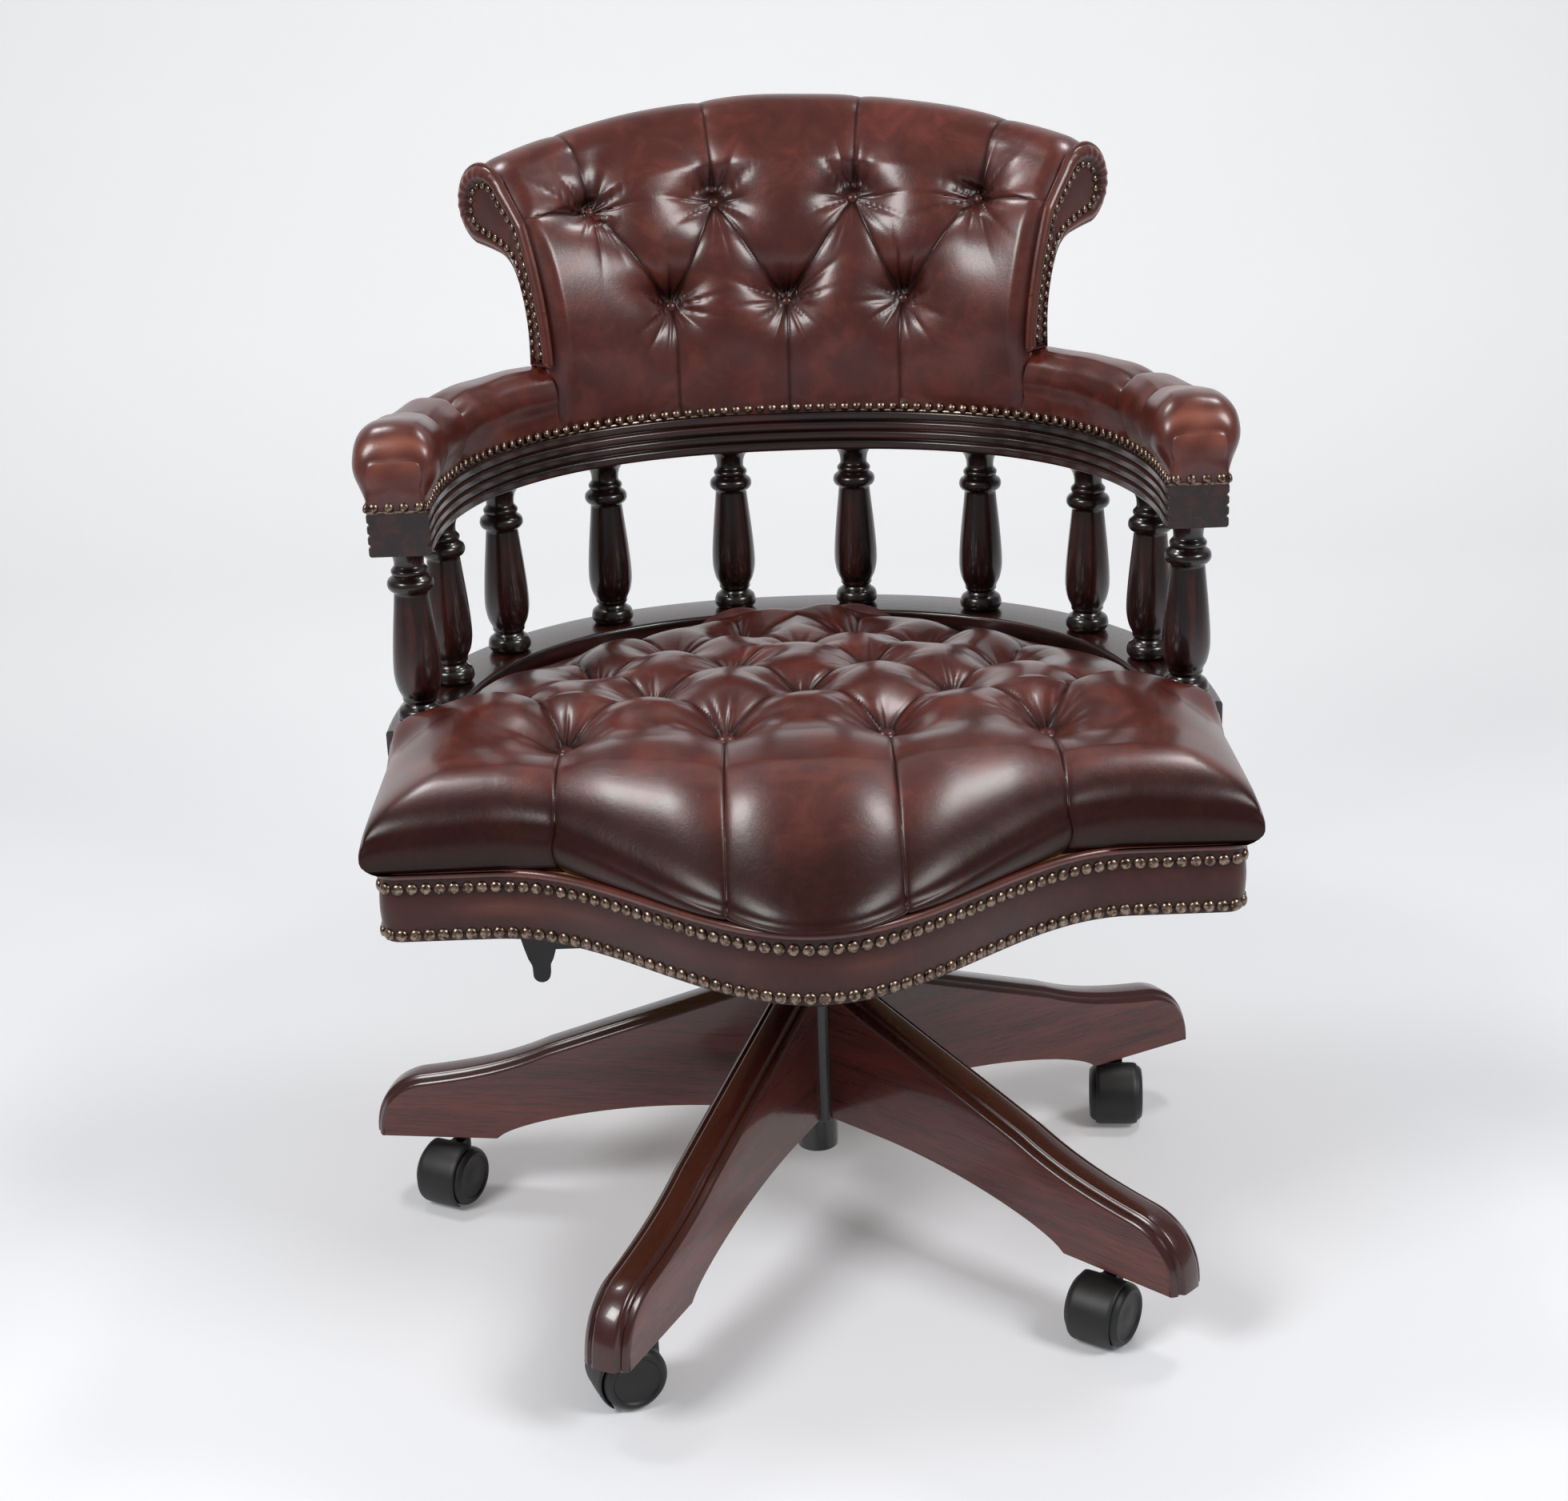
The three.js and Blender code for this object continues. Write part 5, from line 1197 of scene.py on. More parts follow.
        # Painted shade: folds, pits and seams are darkened, and the face below the ridge takes a strong
        # painted shade.
        dark = np.maximum(np.maximum(dark, seam_dark), self.face_shade * smooth((fall - 0.3) / 0.5))
        top = columns(plan, z)
        number = np.arange(len(top)).reshape(u.shape)
        edge = np.concatenate([number[0], number[1:, -1], number[-1, -2::-1], number[-2:0:-1, 0]])
        rim = top[edge]
        in_front = edge < u.shape[1]
        beside = smooth((rim[:, 1] - (RAIL.front_y - 9)) / 6)
        out = columns(rim[:, 0], np.where(in_front, -170.0, 0.0))
        out /= np.maximum(1, np.linalg.norm(out, axis=1, keepdims=True))
        bottom = LEVELS.frame_top + LEVELS.fit
        rings, darks = [top], [dark]
        bulges = ((0.12, 2.0), (0.28, 3.4), (0.45, 3.6), (0.62, 2.4), (0.8, -0.6), (0.92, -3.6), (1, -8))
        for share, bulge in bulges:
            push = mix(bulge, -3 * share, beside)[:, None]
            rings.append(columns(rim[:, :2] + out * push, mix(rim[:, 2], bottom, share)))
            # Painted shade: the skirt keeps the face's shade, and darkens further towards the band.
            left_on = np.maximum(seam_dark[edge] * in_front, self.face_shade * np.where(in_front, 1, share))
            darks.append(np.clip(left_on + 0.5 * max(0, share - 0.55), 0, 1))
        points = np.vstack(rings)
        loops = [edge, *np.arange(len(top), len(points)).reshape(-1, len(edge))]
        return Shape(points, quads(*u.shape) + skinned(loops), points, np.concatenate(darks))

    def button_shapes(self) -> Shape:
        """Makes the covered buttons, each down in its pit."""
        plan, span = self.tufting.buttons, 12
        before, here, after = (self.top(plan + [0, step])[0] for step in (-span, 0, span))
        tilt = np.clip((before - after) / (2 * span), -0.5, 0.5)
        return set_facing(ButtonShape().shape(), columns(plan, here + 1.6), columns(0, tilt * 0.4, 1))

    def build(self) -> None:
        """Makes the cushion and its buttons."""
        hide = self.finishes.hide
        cushion = make_piece("seat_cushion_leather", self.shape(), hide, leather("seat_cushion"), 80)
        make_piece("seat_buttons", self.button_shapes(), hide, leather(), 60)


@dataclass
class SeatBand:
    """Leather band round the seat frame, with a welt on top and two rows of nails."""

    finishes: Finishes
    height: float = 48.0
    thick: float = 3.5
    welt: float = 3.2
    nail_pitch: float = 9.4
    upper_row: float = 38.5
    lower_row: float = 5.2

    def face(self, height: float) -> float:
        """Gives how far the band's face stands in front of the plan at a height."""
        swell = math.sin(math.pi * np.clip((height - 6) / (self.upper_row - 6), 0, 1))
        return 1.2 * max(0.0, float(swell))

    def build(self) -> None:
        """Makes the band, its welt and its nails."""
        base, top = LEVELS.seat_base, LEVELS.seat_base + self.height
        heights = [0.0, 0.6, 2.5, 6.0, 10.0, 15.0, 20.0, 25.0, 30.0, 34.0, 38.0, 42.0, 45.0, 47.4]
        section = [((0.8 if h < 1 else 0.0) - self.face(h), base + h) for h in heights]
        section += [(0.8, top - 0.2), (self.thick, top - 0.2), (self.thick, base)]
        outline = PLAN.outline(0.0, 4.0)
        outward = clockwise(ahead_of(outline, loop=True))
        band = swept(np.stack([columns(outline - outward * inset, z) for inset, z in section], 1), loop=True)
        lift = band.points[:, 2] - base
        # Painted shade: the whole band is darkened, more along the two nail rows and in a thin line under the
        # welt.
        rows = bell(lift - self.lower_row, 4) + bell(lift - self.upper_row, 4)
        band.shade = 0.6 + 0.3 * rows + 0.1 * bell(lift - 46, 2)
        band.wear = 0.5 * bell(lift - 24, 8) * (0.5 + 0.5 * waver(band.points, 90, 5))
        hide = self.finishes.hide
        make_piece("seat_band_leather", band, hide, leather("seat_band"), 60)
        welt = tube(columns(outline - outward * 0.6, top + 0.2), self.welt, loop=True)
        welt.wear = np.full(len(welt.points), 0.35)
        make_piece("seat_band_welt", welt, hide, leather())
        places, normals = [], []
        for row in (self.lower_row, self.upper_row):
            path = columns(outline + outward * (self.face(row) - 0.1), outward)
            at = spaced(path, self.nail_pitch, loop=True)
            places.append(columns(at[:, :2], base + row))
            normals.append(columns(at[:, 2:], 0))
        nails = set_facing(NailShape().shape(), np.vstack(places), np.vstack(normals))
        make_piece("seat_nails", nails, self.finishes.nails, leather(), 70)


# Gallery


@dataclass
class Gallery:
    """Lower rail, turned spindles and reeded arm bow, all in mahogany."""

    finishes: Finishes
    rail_half: float = 24.0
    rail_board: float = 25.0
    spots_deg: tuple[float, ...] = (1.9, 18.9, 37.2, 60.3, 81.8)
    spindle_height: float = 134.4
    body_radius: float = 17.5
    bow_half: float = 22.0
    bow_gain: float = 4.0
    reeds: int = 3
    reed_depth: float = 1.9
    end_block: float = 30.0

    def rail(self) -> Shape:
        """Makes the rail: a stepped board that the spindles stand on."""
        base, top = LEVELS.frame_top + LEVELS.fit, LEVELS.rail_top
        board = top - self.rail_board
        frame_out = PLAN.half_width - 3.5 - LEVELS.fit - RAIL.half_width
        corners = [
            (-self.rail_half, base), (frame_out, base), (frame_out, board - 4), (self.rail_half - 5, board),
            (self.rail_half, board + 4), (self.rail_half, top), (-self.rail_half, top)]
        section = filleted(corners, 3.0, 4, closed=True)
        at = np.linspace(0, RAIL.length(), 220)
        made = swept(RAIL.sweep(at, np.repeat(section[None], len(at), 0)))
        made.grain = columns(np.repeat(at, len(section)), np.tile(section[:, 0], len(at)), made.points[:, 2])
        # Painted shade on the rail's lower part, under the board.
        made.shade = 0.35 * smooth((board + 6 - made.points[:, 2]) / 10)
        return made

    def spindle_profile(self) -> Array:
        """Gives the spindle's turned profile from its foot up."""
        foot = spline([(14.4, 0.3), (16.5, 3.0), (16.9, 6.2), (15.6, 10.6), (12.4, 13.2), (11.2, 15.2)], 5)
        bead = spline([(11.4, 16.0), (12.6, 17.3), (12.6, 19.4)], 4)
        body = spline(
            [(13.2, 21.0), (15.6, 26.4), (17.2, 34.0), (17.5, 42.0), (16.9, 54.0), (15.5, 70.0), (13.7, 87.0),
             (12.5, 98.8)])
        collar = spline(
            [(13.0, 99.6), (15.2, 100.6), (16.7, 103.0), (16.9, 105.6), (16.0, 108.2), (13.2, 110.6)], 5)
        neck = spline(
            [(12.2, 111.6), (13.3, 113.0), (13.4, 115.2), (12.2, 116.8), (10.9, 118.6), (10.8, 121.0)], 4)
        flare = spline([(11.2, 124.2), (12.4, 127.6), (14.4, 130.6), (15.6, 132.0), (15.7, 134.2)], 4)
        line = np.vstack([[(0, 0)], foot, bead, body, collar, neck, flare, [(0, 134.4)]])
        return line * [self.body_radius / 17.5, self.spindle_height / 134.4]

    def spindle(self) -> Shape:
        """Makes one spindle, darker at its beads than on its body."""
        made = turned(self.spindle_profile(), 44)
        z = made.points[:, 2]
        # The beads, collar, neck and foot are darker than the body, partly a shading lacquer and partly
        # painted shade.
        made.shade = 0.72 * (1 - smooth((z - 22) / 10) * smooth((99 - z) / 14))
        return made

    def bow(self) -> Shape:
        """Makes the bow, with reeds cut in both its faces but not in its end blocks."""
        length, low, high = BOW.length(), LEVELS.bow, LEVELS.bow_top
        block = np.array([0.0, 0.4, 1.2, self.end_block - 1.0, self.end_block + 1.0])
        reeded = np.linspace(self.end_block + 6, length - self.end_block - 6, 240)
        at = np.concatenate([block, reeded, length - block[::-1]])
        z = np.linspace(low + 1.4, high - 1.4, 41)
        pitch = (high - low) / (self.reeds + 1)
        depth = self.reed_depth * sum(bell(z - low - pitch * (k + 1), 0.95) for k in range(self.reeds))
        sections = []
        for d in at:
            half = self.bow_half + self.bow_gain * math.sin(math.pi * d / length)
            if d < 1 or d > length - 1:
                half -= 0.6
            face = np.vstack([(half - 1.4, low), (half - 0.5, low + 0.4), columns(half - depth, z),
                              (half - 0.5, high - 0.4), (half - 1.4, high)])
            sections.append(np.vstack([face, face[::-1] * [-1, 1]]))
        sections = np.array(sections)
        made = swept(BOW.sweep(at, sections))
        made.grain = columns(np.repeat(at, sections.shape[1]), sections[..., 0].ravel(), made.points[:, 2])
        # Painted shade in the reeds and along the top and bottom edges.
        widths = np.abs(sections[..., 0])
        made.shade = np.clip((widths.max(axis=1, keepdims=True) - widths) / 2.2, 0, 1).ravel() * 0.8
        return made

    def build(self) -> None:
        """Makes the rail, the spindles and the bow."""
        wood = self.finishes.mahogany
        make_piece("rail_board", self.rail(), wood, Role("seat", "dark_wood", "gallery_rail"), 50)
        angles = [*self.spots_deg, *[180 - a for a in reversed(self.spots_deg)]]
        for number, (x, y) in enumerate(RAIL.curve(np.radians(angles)), 1):
            shape = self.spindle().moved(Matrix.Translation((x, y, LEVELS.rail_top + LEVELS.fit)))
            shape.grain = shape.grain + [40.0 * number, 23.0 * number, 0.0]
            role = Role("seat", "dark_wood", f"spindle_{number:02d}")
            make_piece(f"turned_spindle_{number:02d}", shape, wood, role, 46)
        make_piece("reeded_bow", self.bow(), wood, Role("seat", "dark_wood", "arm_bow"), 50)


# Arms and back


class Side(Enum):
    """The sitter's right or left, seen from the front of the chair as +X or -X."""

    RIGHT = 1
    LEFT = -1


@dataclass(frozen=True)
class BackShape:
    """Lines of the buttoned back, shared by its cushion, panel and facings.

    `s` is the distance along the bow from the middle of the back, and heights are
    above the top of the bow.
    """

    end_x: float = 195.0
    height: float = 241.0
    end_height: float = 203.0
    roll_r: float = 31.0
    roll_reach: float = 52.0
    roll_end_reach: float = 56.0
    front: float = 26.0
    end_front: float = 18.0
    rear: float = 15.0
    end_rear: float = 5.0
    lower_row: float = 88.0
    upper_row: float = 167.0
    upper_spots: tuple[float, ...] = (54.0, 148.0)
    lower_spot: float = 94.0

    @property
    def half(self) -> float:
        """Half the back's length along the bow."""
        return BOW.length() / 2 - BOW.distance_at(self.end_x)

    def profile(self, s: float, dense: bool = True) -> tuple[Array, Array, Array]:
        """Gives the back's side profile at s.

        Args:
            s: Distance from the middle of the back.
            dense: Whether the points are close enough for leather.

        Returns:
            Outward distance and height of each point, its height on the flat pattern,
            and whether it is on the upholstered front (1) or not (0).
        """
        e = min(1.0, abs(s) / self.half)
        crest = mix(self.height, self.end_height, e**2)
        front = -mix(self.front, self.end_front, e**2)
        rear = mix(self.rear, self.end_rear, e)
        reach = mix(self.roll_reach, self.roll_end_reach, e)
        roll_z = crest - self.roll_r
        start_z = roll_z + self.roll_r * math.sin(math.radians(152)) - 26
        z = np.linspace(0, start_z, 90 if dense else 8)
        t = np.clip((z - 55) / (roll_z - 55), 0, 1)
        lean = mix(front, reach - self.roll_r * 1.45, t**1.7)
        angle = np.radians(np.linspace(163, -92, 74 if dense else 12))
        roll = columns(reach + self.roll_r * np.cos(angle), roll_z + self.roll_r * np.sin(angle))
        waist = roll_z - self.roll_r - 1
        tail = filleted([roll[-1], (rear + 5, waist), (rear, waist - 9), (rear, 0)], 5.0)[1:]
        face = columns(lean, z)
        join = spline([face[-3], face[-1], roll[3], roll[6]])[6:-6] if dense else np.empty((0, 2))
        line = np.vstack([face, join[1:-1], roll[3:], tail])
        run = run_of(line)
        start = len(face) - 1
        pattern = np.where(np.arange(len(line)) <= start, line[:, 1], line[start, 1] + run - run[start])
        soft = np.ones(len(line))
        fade = start + len(join) + int(0.62 * len(roll))
        soft[fade:] = 0
        soft[fade - 8 : fade] = np.linspace(1, 0, 8)
        return line, pattern, soft

    def ring(self, s: float, section: Array) -> Array:
        """Places outward distances and heights at s along the bow."""
        at = np.array([BOW.length() / 2 - s])
        return BOW.sweep(at, (section + [0, LEVELS.bow_rest])[None])[0]


BACK = BackShape()


@dataclass
class Backrest:
    """Buttoned back cushion that rolls over at the top, with its rear panel."""

    finishes: Finishes
    pit: float = 24.0
    plump: float = 6.0
    panel_thick: float = 6.5
    edge_r: float = 14.0

    def tufting(self) -> Tufting:
        """Marks out the back's buttons and folds on its flat pattern."""
        b = BACK
        upper = [(s * side, b.upper_row) for s in b.upper_spots for side in (-1, 1)]
        lower = [(s, b.lower_row) for s in (-b.lower_spot, 0.0, b.lower_spot)]
        pleats = []
        for spot in upper:
            pleats.append(Pleat(spot, (spot[0] * 1.1, b.height + 95), 1.8, 16.0, 0.7))
            for mate in lower:
                if abs(mate[0] - spot[0]) < b.lower_spot * 0.7:
                    pleats.append(Pleat(spot, mate, 8.0, 40.0))
        pleats += [Pleat(spot, (spot[0], 0.0), 4.0, 36.0, 0.7) for spot in lower]
        for side in (-1, 1):
            outer = (side * max(b.upper_spots), b.upper_row)
            pleats.append(Pleat(outer, (side * b.half, b.upper_row), 5.0, 22.0))
        return Tufting(
            np.array(upper + lower), pleats, pit=self.pit, pit_reach=20.0, sink=8.0, dark_reach=15.0,
            gather=4.2, gather_reach=32.0, fan=13, seed=11)

    def held(self, s: float, line: Array, move: Array) -> Array:
        """Keeps pits inside the cushion.

        Args:
            s: Distance from the middle of the back.
            line: Points of the side profile.
            move: How far each is to be drawn in.

        Returns:
            How far each may be drawn in: less where the rear panel is close behind.
        """
        b = BACK
        e = min(1.0, abs(s) / b.half)
        waist = mix(b.height, b.end_height, e**2) - 2 * b.roll_r - 1
        behind = np.maximum(8.0, mix(b.rear, b.end_rear, e) - line[:, 0] - 2.5)
        room = mix(behind, 60.0, smooth((line[:, 1] - waist + 4) / 18))
        return np.where(move > 0, move / (1 + (np.abs(move) / room) ** 4) ** 0.25, move)

    def plumped(self, height: Array) -> Array:
        """Gives how far the stuffing lifts the front at a height."""
        return self.plump * np.sin(math.pi * np.clip(height / BACK.end_height, 0, 1))

    def cushion(self) -> Shape:
        """Makes the cushion's leather, closed at its ends and along the bow."""
        b, tufting = BACK, self.tufting()
        half = b.half - LEVELS.fit
        rounding = np.array([0.0, 0.5, 1.4, 2.6, 4.2, 6.2, 8.6, 11.4])
        middle = np.linspace(-half + 13, half - 13, 380)
        stations = np.concatenate([-half + rounding, middle, (half - rounding)[::-1]])
        # Rows lie closer together along the sideways folds, which run at the upper buttons' height.
        fold_rows = b.upper_row + np.array([-5.0, -3.4, -2.2, -1.2, -0.5, 0.0, 0.5, 1.2, 2.2, 3.4, 5.0])
        fixed = np.concatenate([np.linspace(0, b.upper_row - 7, 82), fold_rows])
        rings, shades, grains = [], [], []
        for s in stations.tolist():
            line, pattern, soft = b.profile(s)
            levels = np.concatenate([fixed, np.linspace(b.upper_row + 7, pattern[-1], 96)])
            out, up, soft = (np.interp(levels, pattern, values) for values in (*line.T, soft))
            line = columns(out, up)
            inset = float(smooth((b.half - abs(s)) / 16))
            corner = 0.85 * (1 - min(1.0, max(0.0, (half - abs(s)) / self.edge_r)))
            pull, dark = tufting.draw_in(columns(s, levels))
            move = self.held(s, line, soft * ((pull - self.plumped(up)) * (0.1 + 0.9 * inset)))
            move += self.edge_r * (1 - math.sqrt(1 - corner**2)) * (0.25 + 0.75 * soft)
            inward = clockwise(ahead_of(line))
            rings.append(b.ring(s, line + inward * (move * smooth(up / 14))[:, None]))
            # Painted shade in the folds and pits, and along the cushion's foot on the bow.
            shades.append(dark * soft * inset + 0.45 * bell(up, 9))
            grains.append(columns(s, levels, 0))
        made = swept(rings)
        made.shade = np.clip(np.concatenate(shades), 0, 1)
        made.grain = np.concatenate(grains)
        return made

    def buttons(self) -> Shape:
        """Makes the back's covered buttons."""
        b, tufting = BACK, self.tufting()
        places, normals = [], []
        pulls, _ = tufting.draw_in(tufting.buttons)
        for (s, height), pull in zip(tufting.buttons.tolist(), pulls):
            line, pattern, _ = b.profile(s)
            i = int(np.argmin(np.abs(pattern - height)))
            inward = clockwise(unit(line[i + 1 : i + 2] - line[i - 1 : i]))
            depth = self.held(s, line[i : i + 1], pull - self.plumped(line[i : i + 1, 1])) + 3.0
            foot, tip = b.ring(s, line[i] + inward * [depth, depth - 5])
            places.append(foot + (tip - foot) / 5 * 2.4)
            normals.append(tip - foot)
        return set_facing(ButtonShape(4.6, 3.2).shape(), places, normals)

    def panel(self) -> Shape:
        """Makes the plain leather panel that closes the back from behind."""
        b = BACK
        half = b.half - LEVELS.fit
        rings = []
        for s in np.linspace(-half, half, 90).tolist():
            line, _, _ = b.profile(s)
            rear, top = line[-1][0], line[-3][1] - 2
            heights = np.linspace(0, top - 3, 18)
            puff = 2.2 * np.sin(math.pi * heights / top) * (1 - (abs(s) / half) ** 6)
            outer = columns(rear + self.panel_thick - 0.9 + puff, heights)
            crest = [(rear + self.panel_thick - 1.2, top - 1), (rear + 1.8, top)]
            rings.append(b.ring(s, np.vstack([(rear + 1.5, 0), outer, *crest])))
        made = swept(rings)
        # Painted shade at the panel's foot on the bow and at its top, under the cushion.
        lift = made.points[:, 2] - LEVELS.bow_top
        made.shade = 0.45 * bell(lift, 12) + 0.3 * bell(lift - 165, 14)
        return made

    def build(self) -> None:
        """Makes the cushion, its buttons and the rear panel."""
        hide = self.finishes.hide
        cushion = make_piece("back_cushion_leather", self.cushion(), hide, leather("back_cushion"), 80)
        make_piece("back_buttons", self.buttons(), hide, leather(), 60)
        make_piece("back_panel_leather", self.panel(), hide, leather("back_panel"), 55)


@dataclass
class ScrollFacing:
    """Scroll-shaped leather facing at one end of the back, with its nails and piping."""

    finishes: Finishes
    side: Side
    low: float = 52.5
    thick: float = 5.5
    front_inset: float = 8.5
    top_inset: float = 16.0
    outer_inset: float = 18.0
    under_inset: float = 11.0
    rear_inset: float = 3.4
    nail_pitch: float = 7.8
    least_gap: float = 12.0

    def outline(self) -> Array:
        """Gives the facing's closed outline as outward distance and height."""
        b = BACK
        line, _, _ = b.profile(self.side.value * b.half)
        outermost = int(line[:, 0].argmax())
        round_part = line[:outermost][line[:outermost, 1] > self.low + 1]
        angle = np.radians(np.arange(0.0, -71.0, -7.0))
        heart = np.array([b.roll_end_reach, b.end_height - b.roll_r])
        under = heart + b.roll_r * columns(np.cos(angle), np.sin(angle))
        # Under the scroll the outline sweeps down to the stem's rear edge in one hollow curve.
        rear = line[-1][0]
        drops = ((40, 32.5), (24, 37), (12, 49), (4, 68), (0, 92))
        throat = [(rear + out, heart[1] - drop) for out, drop in drops]
        hollow = spline([under[-1], *throat, (rear, self.low)])[1:]
        front = float(np.interp(self.low, line[:40, 1], line[:40, 0]))
        closed = np.vstack([(front, self.low), round_part, under, hollow, (front, self.low)])
        return evenly(closed, 161)[:-1]

    def inward(self, outline: Array, distance: Reals) -> Array:
        """Moves an outline inwards by a distance, or by one for each point."""
        return outline + clockwise(ahead_of(outline, loop=True)) * np.reshape(distance, (-1, 1))

    def nail_inset(self, outline: Array) -> Array:
        """Gives how far inside the outline the nails are: most on the scroll's outer side."""
        b = BACK
        count = len(outline)
        out = int(outline[:, 0].argmax())
        over = int(outline[:, 1].argmax())
        under = out + int(np.abs(outline[out:, 0] - b.roll_end_reach).argmin())
        throat = under + int(np.abs(outline[under:, 1] - (b.end_height - b.roll_r - 60)).argmin())
        marks = [0, over - 22, over, out, under, throat, count - 1]
        insets = [self.front_inset, self.front_inset + 1.5, self.top_inset, self.outer_inset,
                  self.under_inset, self.rear_inset, self.rear_inset]
        steps = np.interp(np.arange(count), marks, insets)
        padded = np.concatenate([np.full(3, steps[0]), steps, np.full(3, steps[-1])])
        return np.convolve(padded, np.full(7, 1 / 7), "valid")

    def place(self, section: Array, shift: Reals) -> Array:
        """Stands facing points up at the back's end, moved forwards by a shift."""
        point, out = BOW.frames(np.array([BOW.length() / 2 - self.side.value * BACK.half]))
        ahead = clockwise(out) * self.side.value
        plan = point + section[:, :1] * out + np.reshape(shift, (-1, 1)) * ahead
        return columns(plan, section[:, 1] + LEVELS.bow_rest)

    def opened(self, path: Array, above: float) -> Array:
        """Keeps the part of a closed path above a height, from one of its ends to the other."""
        kept = path[path[:, -1] > above]
        gaps = np.linalg.norm(np.diff(kept, axis=0), axis=1)
        return np.roll(kept, -1 - gaps.argmax(), axis=0) if gaps.max() > self.least_gap else kept

    def build(self) -> None:
        """Makes the facing, the piping round it and its nails."""
        name, hide = self.side.name.lower(), self.finishes.hide
        outline, start, thick = self.outline(), LEVELS.fit, self.thick
        bed = self.nail_inset(outline)
        run = np.arange(len(outline)) * np.linalg.norm(outline[1] - outline[0])
        # The border is a rolled edge of leather, gathered in small tucks where it goes round the scroll.
        full = smooth((bed - self.front_inset - 2) / 8)
        tucks = 0.14 * np.sin(run * 2 * math.pi / 9.5) * full + 0.45 * full
        border = ((0.0, 0.0), (0.02, 0.3), (0.1, 0.6), (0.25, 0.84), (0.45, 0.98), (0.62, 0.96), (0.74, 0.72))
        rings = [self.place(self.inward(outline, bed * f), start + thick * t * (1 + tucks))
                 for f, t in border]
        for extra, t in ((-0.6, 0.62), (1.2, 0.66), (2.8, 0.68)):
            rings.append(self.place(self.inward(outline, bed + extra), start + thick * t))
        made = swept(rings)
        # Painted shade at the border's outer edge and in the groove where the rolled border meets the flat
        # facing.
        made.shade = np.repeat([0.5, 0.35, 0.2, 0.1, 0.0, 0.1, 0.7, 0.8, 0.6, 0.3], len(outline))
        made.wear = np.repeat([0.0, 0.2, 0.4, 0.4, 0.2, 0.1, 0.0, 0.0, 0.0, 0.0], len(outline))
        make_piece(f"facing_leather_{name}", made, hide, leather(f"back_facing_{name}"), 60)
        at = spaced(self.opened(self.inward(outline, bed), self.low + 9), self.nail_pitch)
        feet, tips = (self.place(at, start + thick * 0.66 + lift) for lift in (0, 5))
        nails = set_facing(NailShape(3.0, 2.3).shape(), feet, tips - feet)
        make_piece(f"facing_nails_{name}", nails, self.finishes.nails, leather(), 70)
        cord = self.place(self.inward(outline, 0.4), start + thick * 0.25)
        piping = tube(self.opened(cord, LEVELS.bow_top + self.low + 1.5), 1.9, 8)
        piping.wear = np.full(len(piping.points), 0.3)
        make_piece(f"facing_piping_{name}", piping, hide, leather())


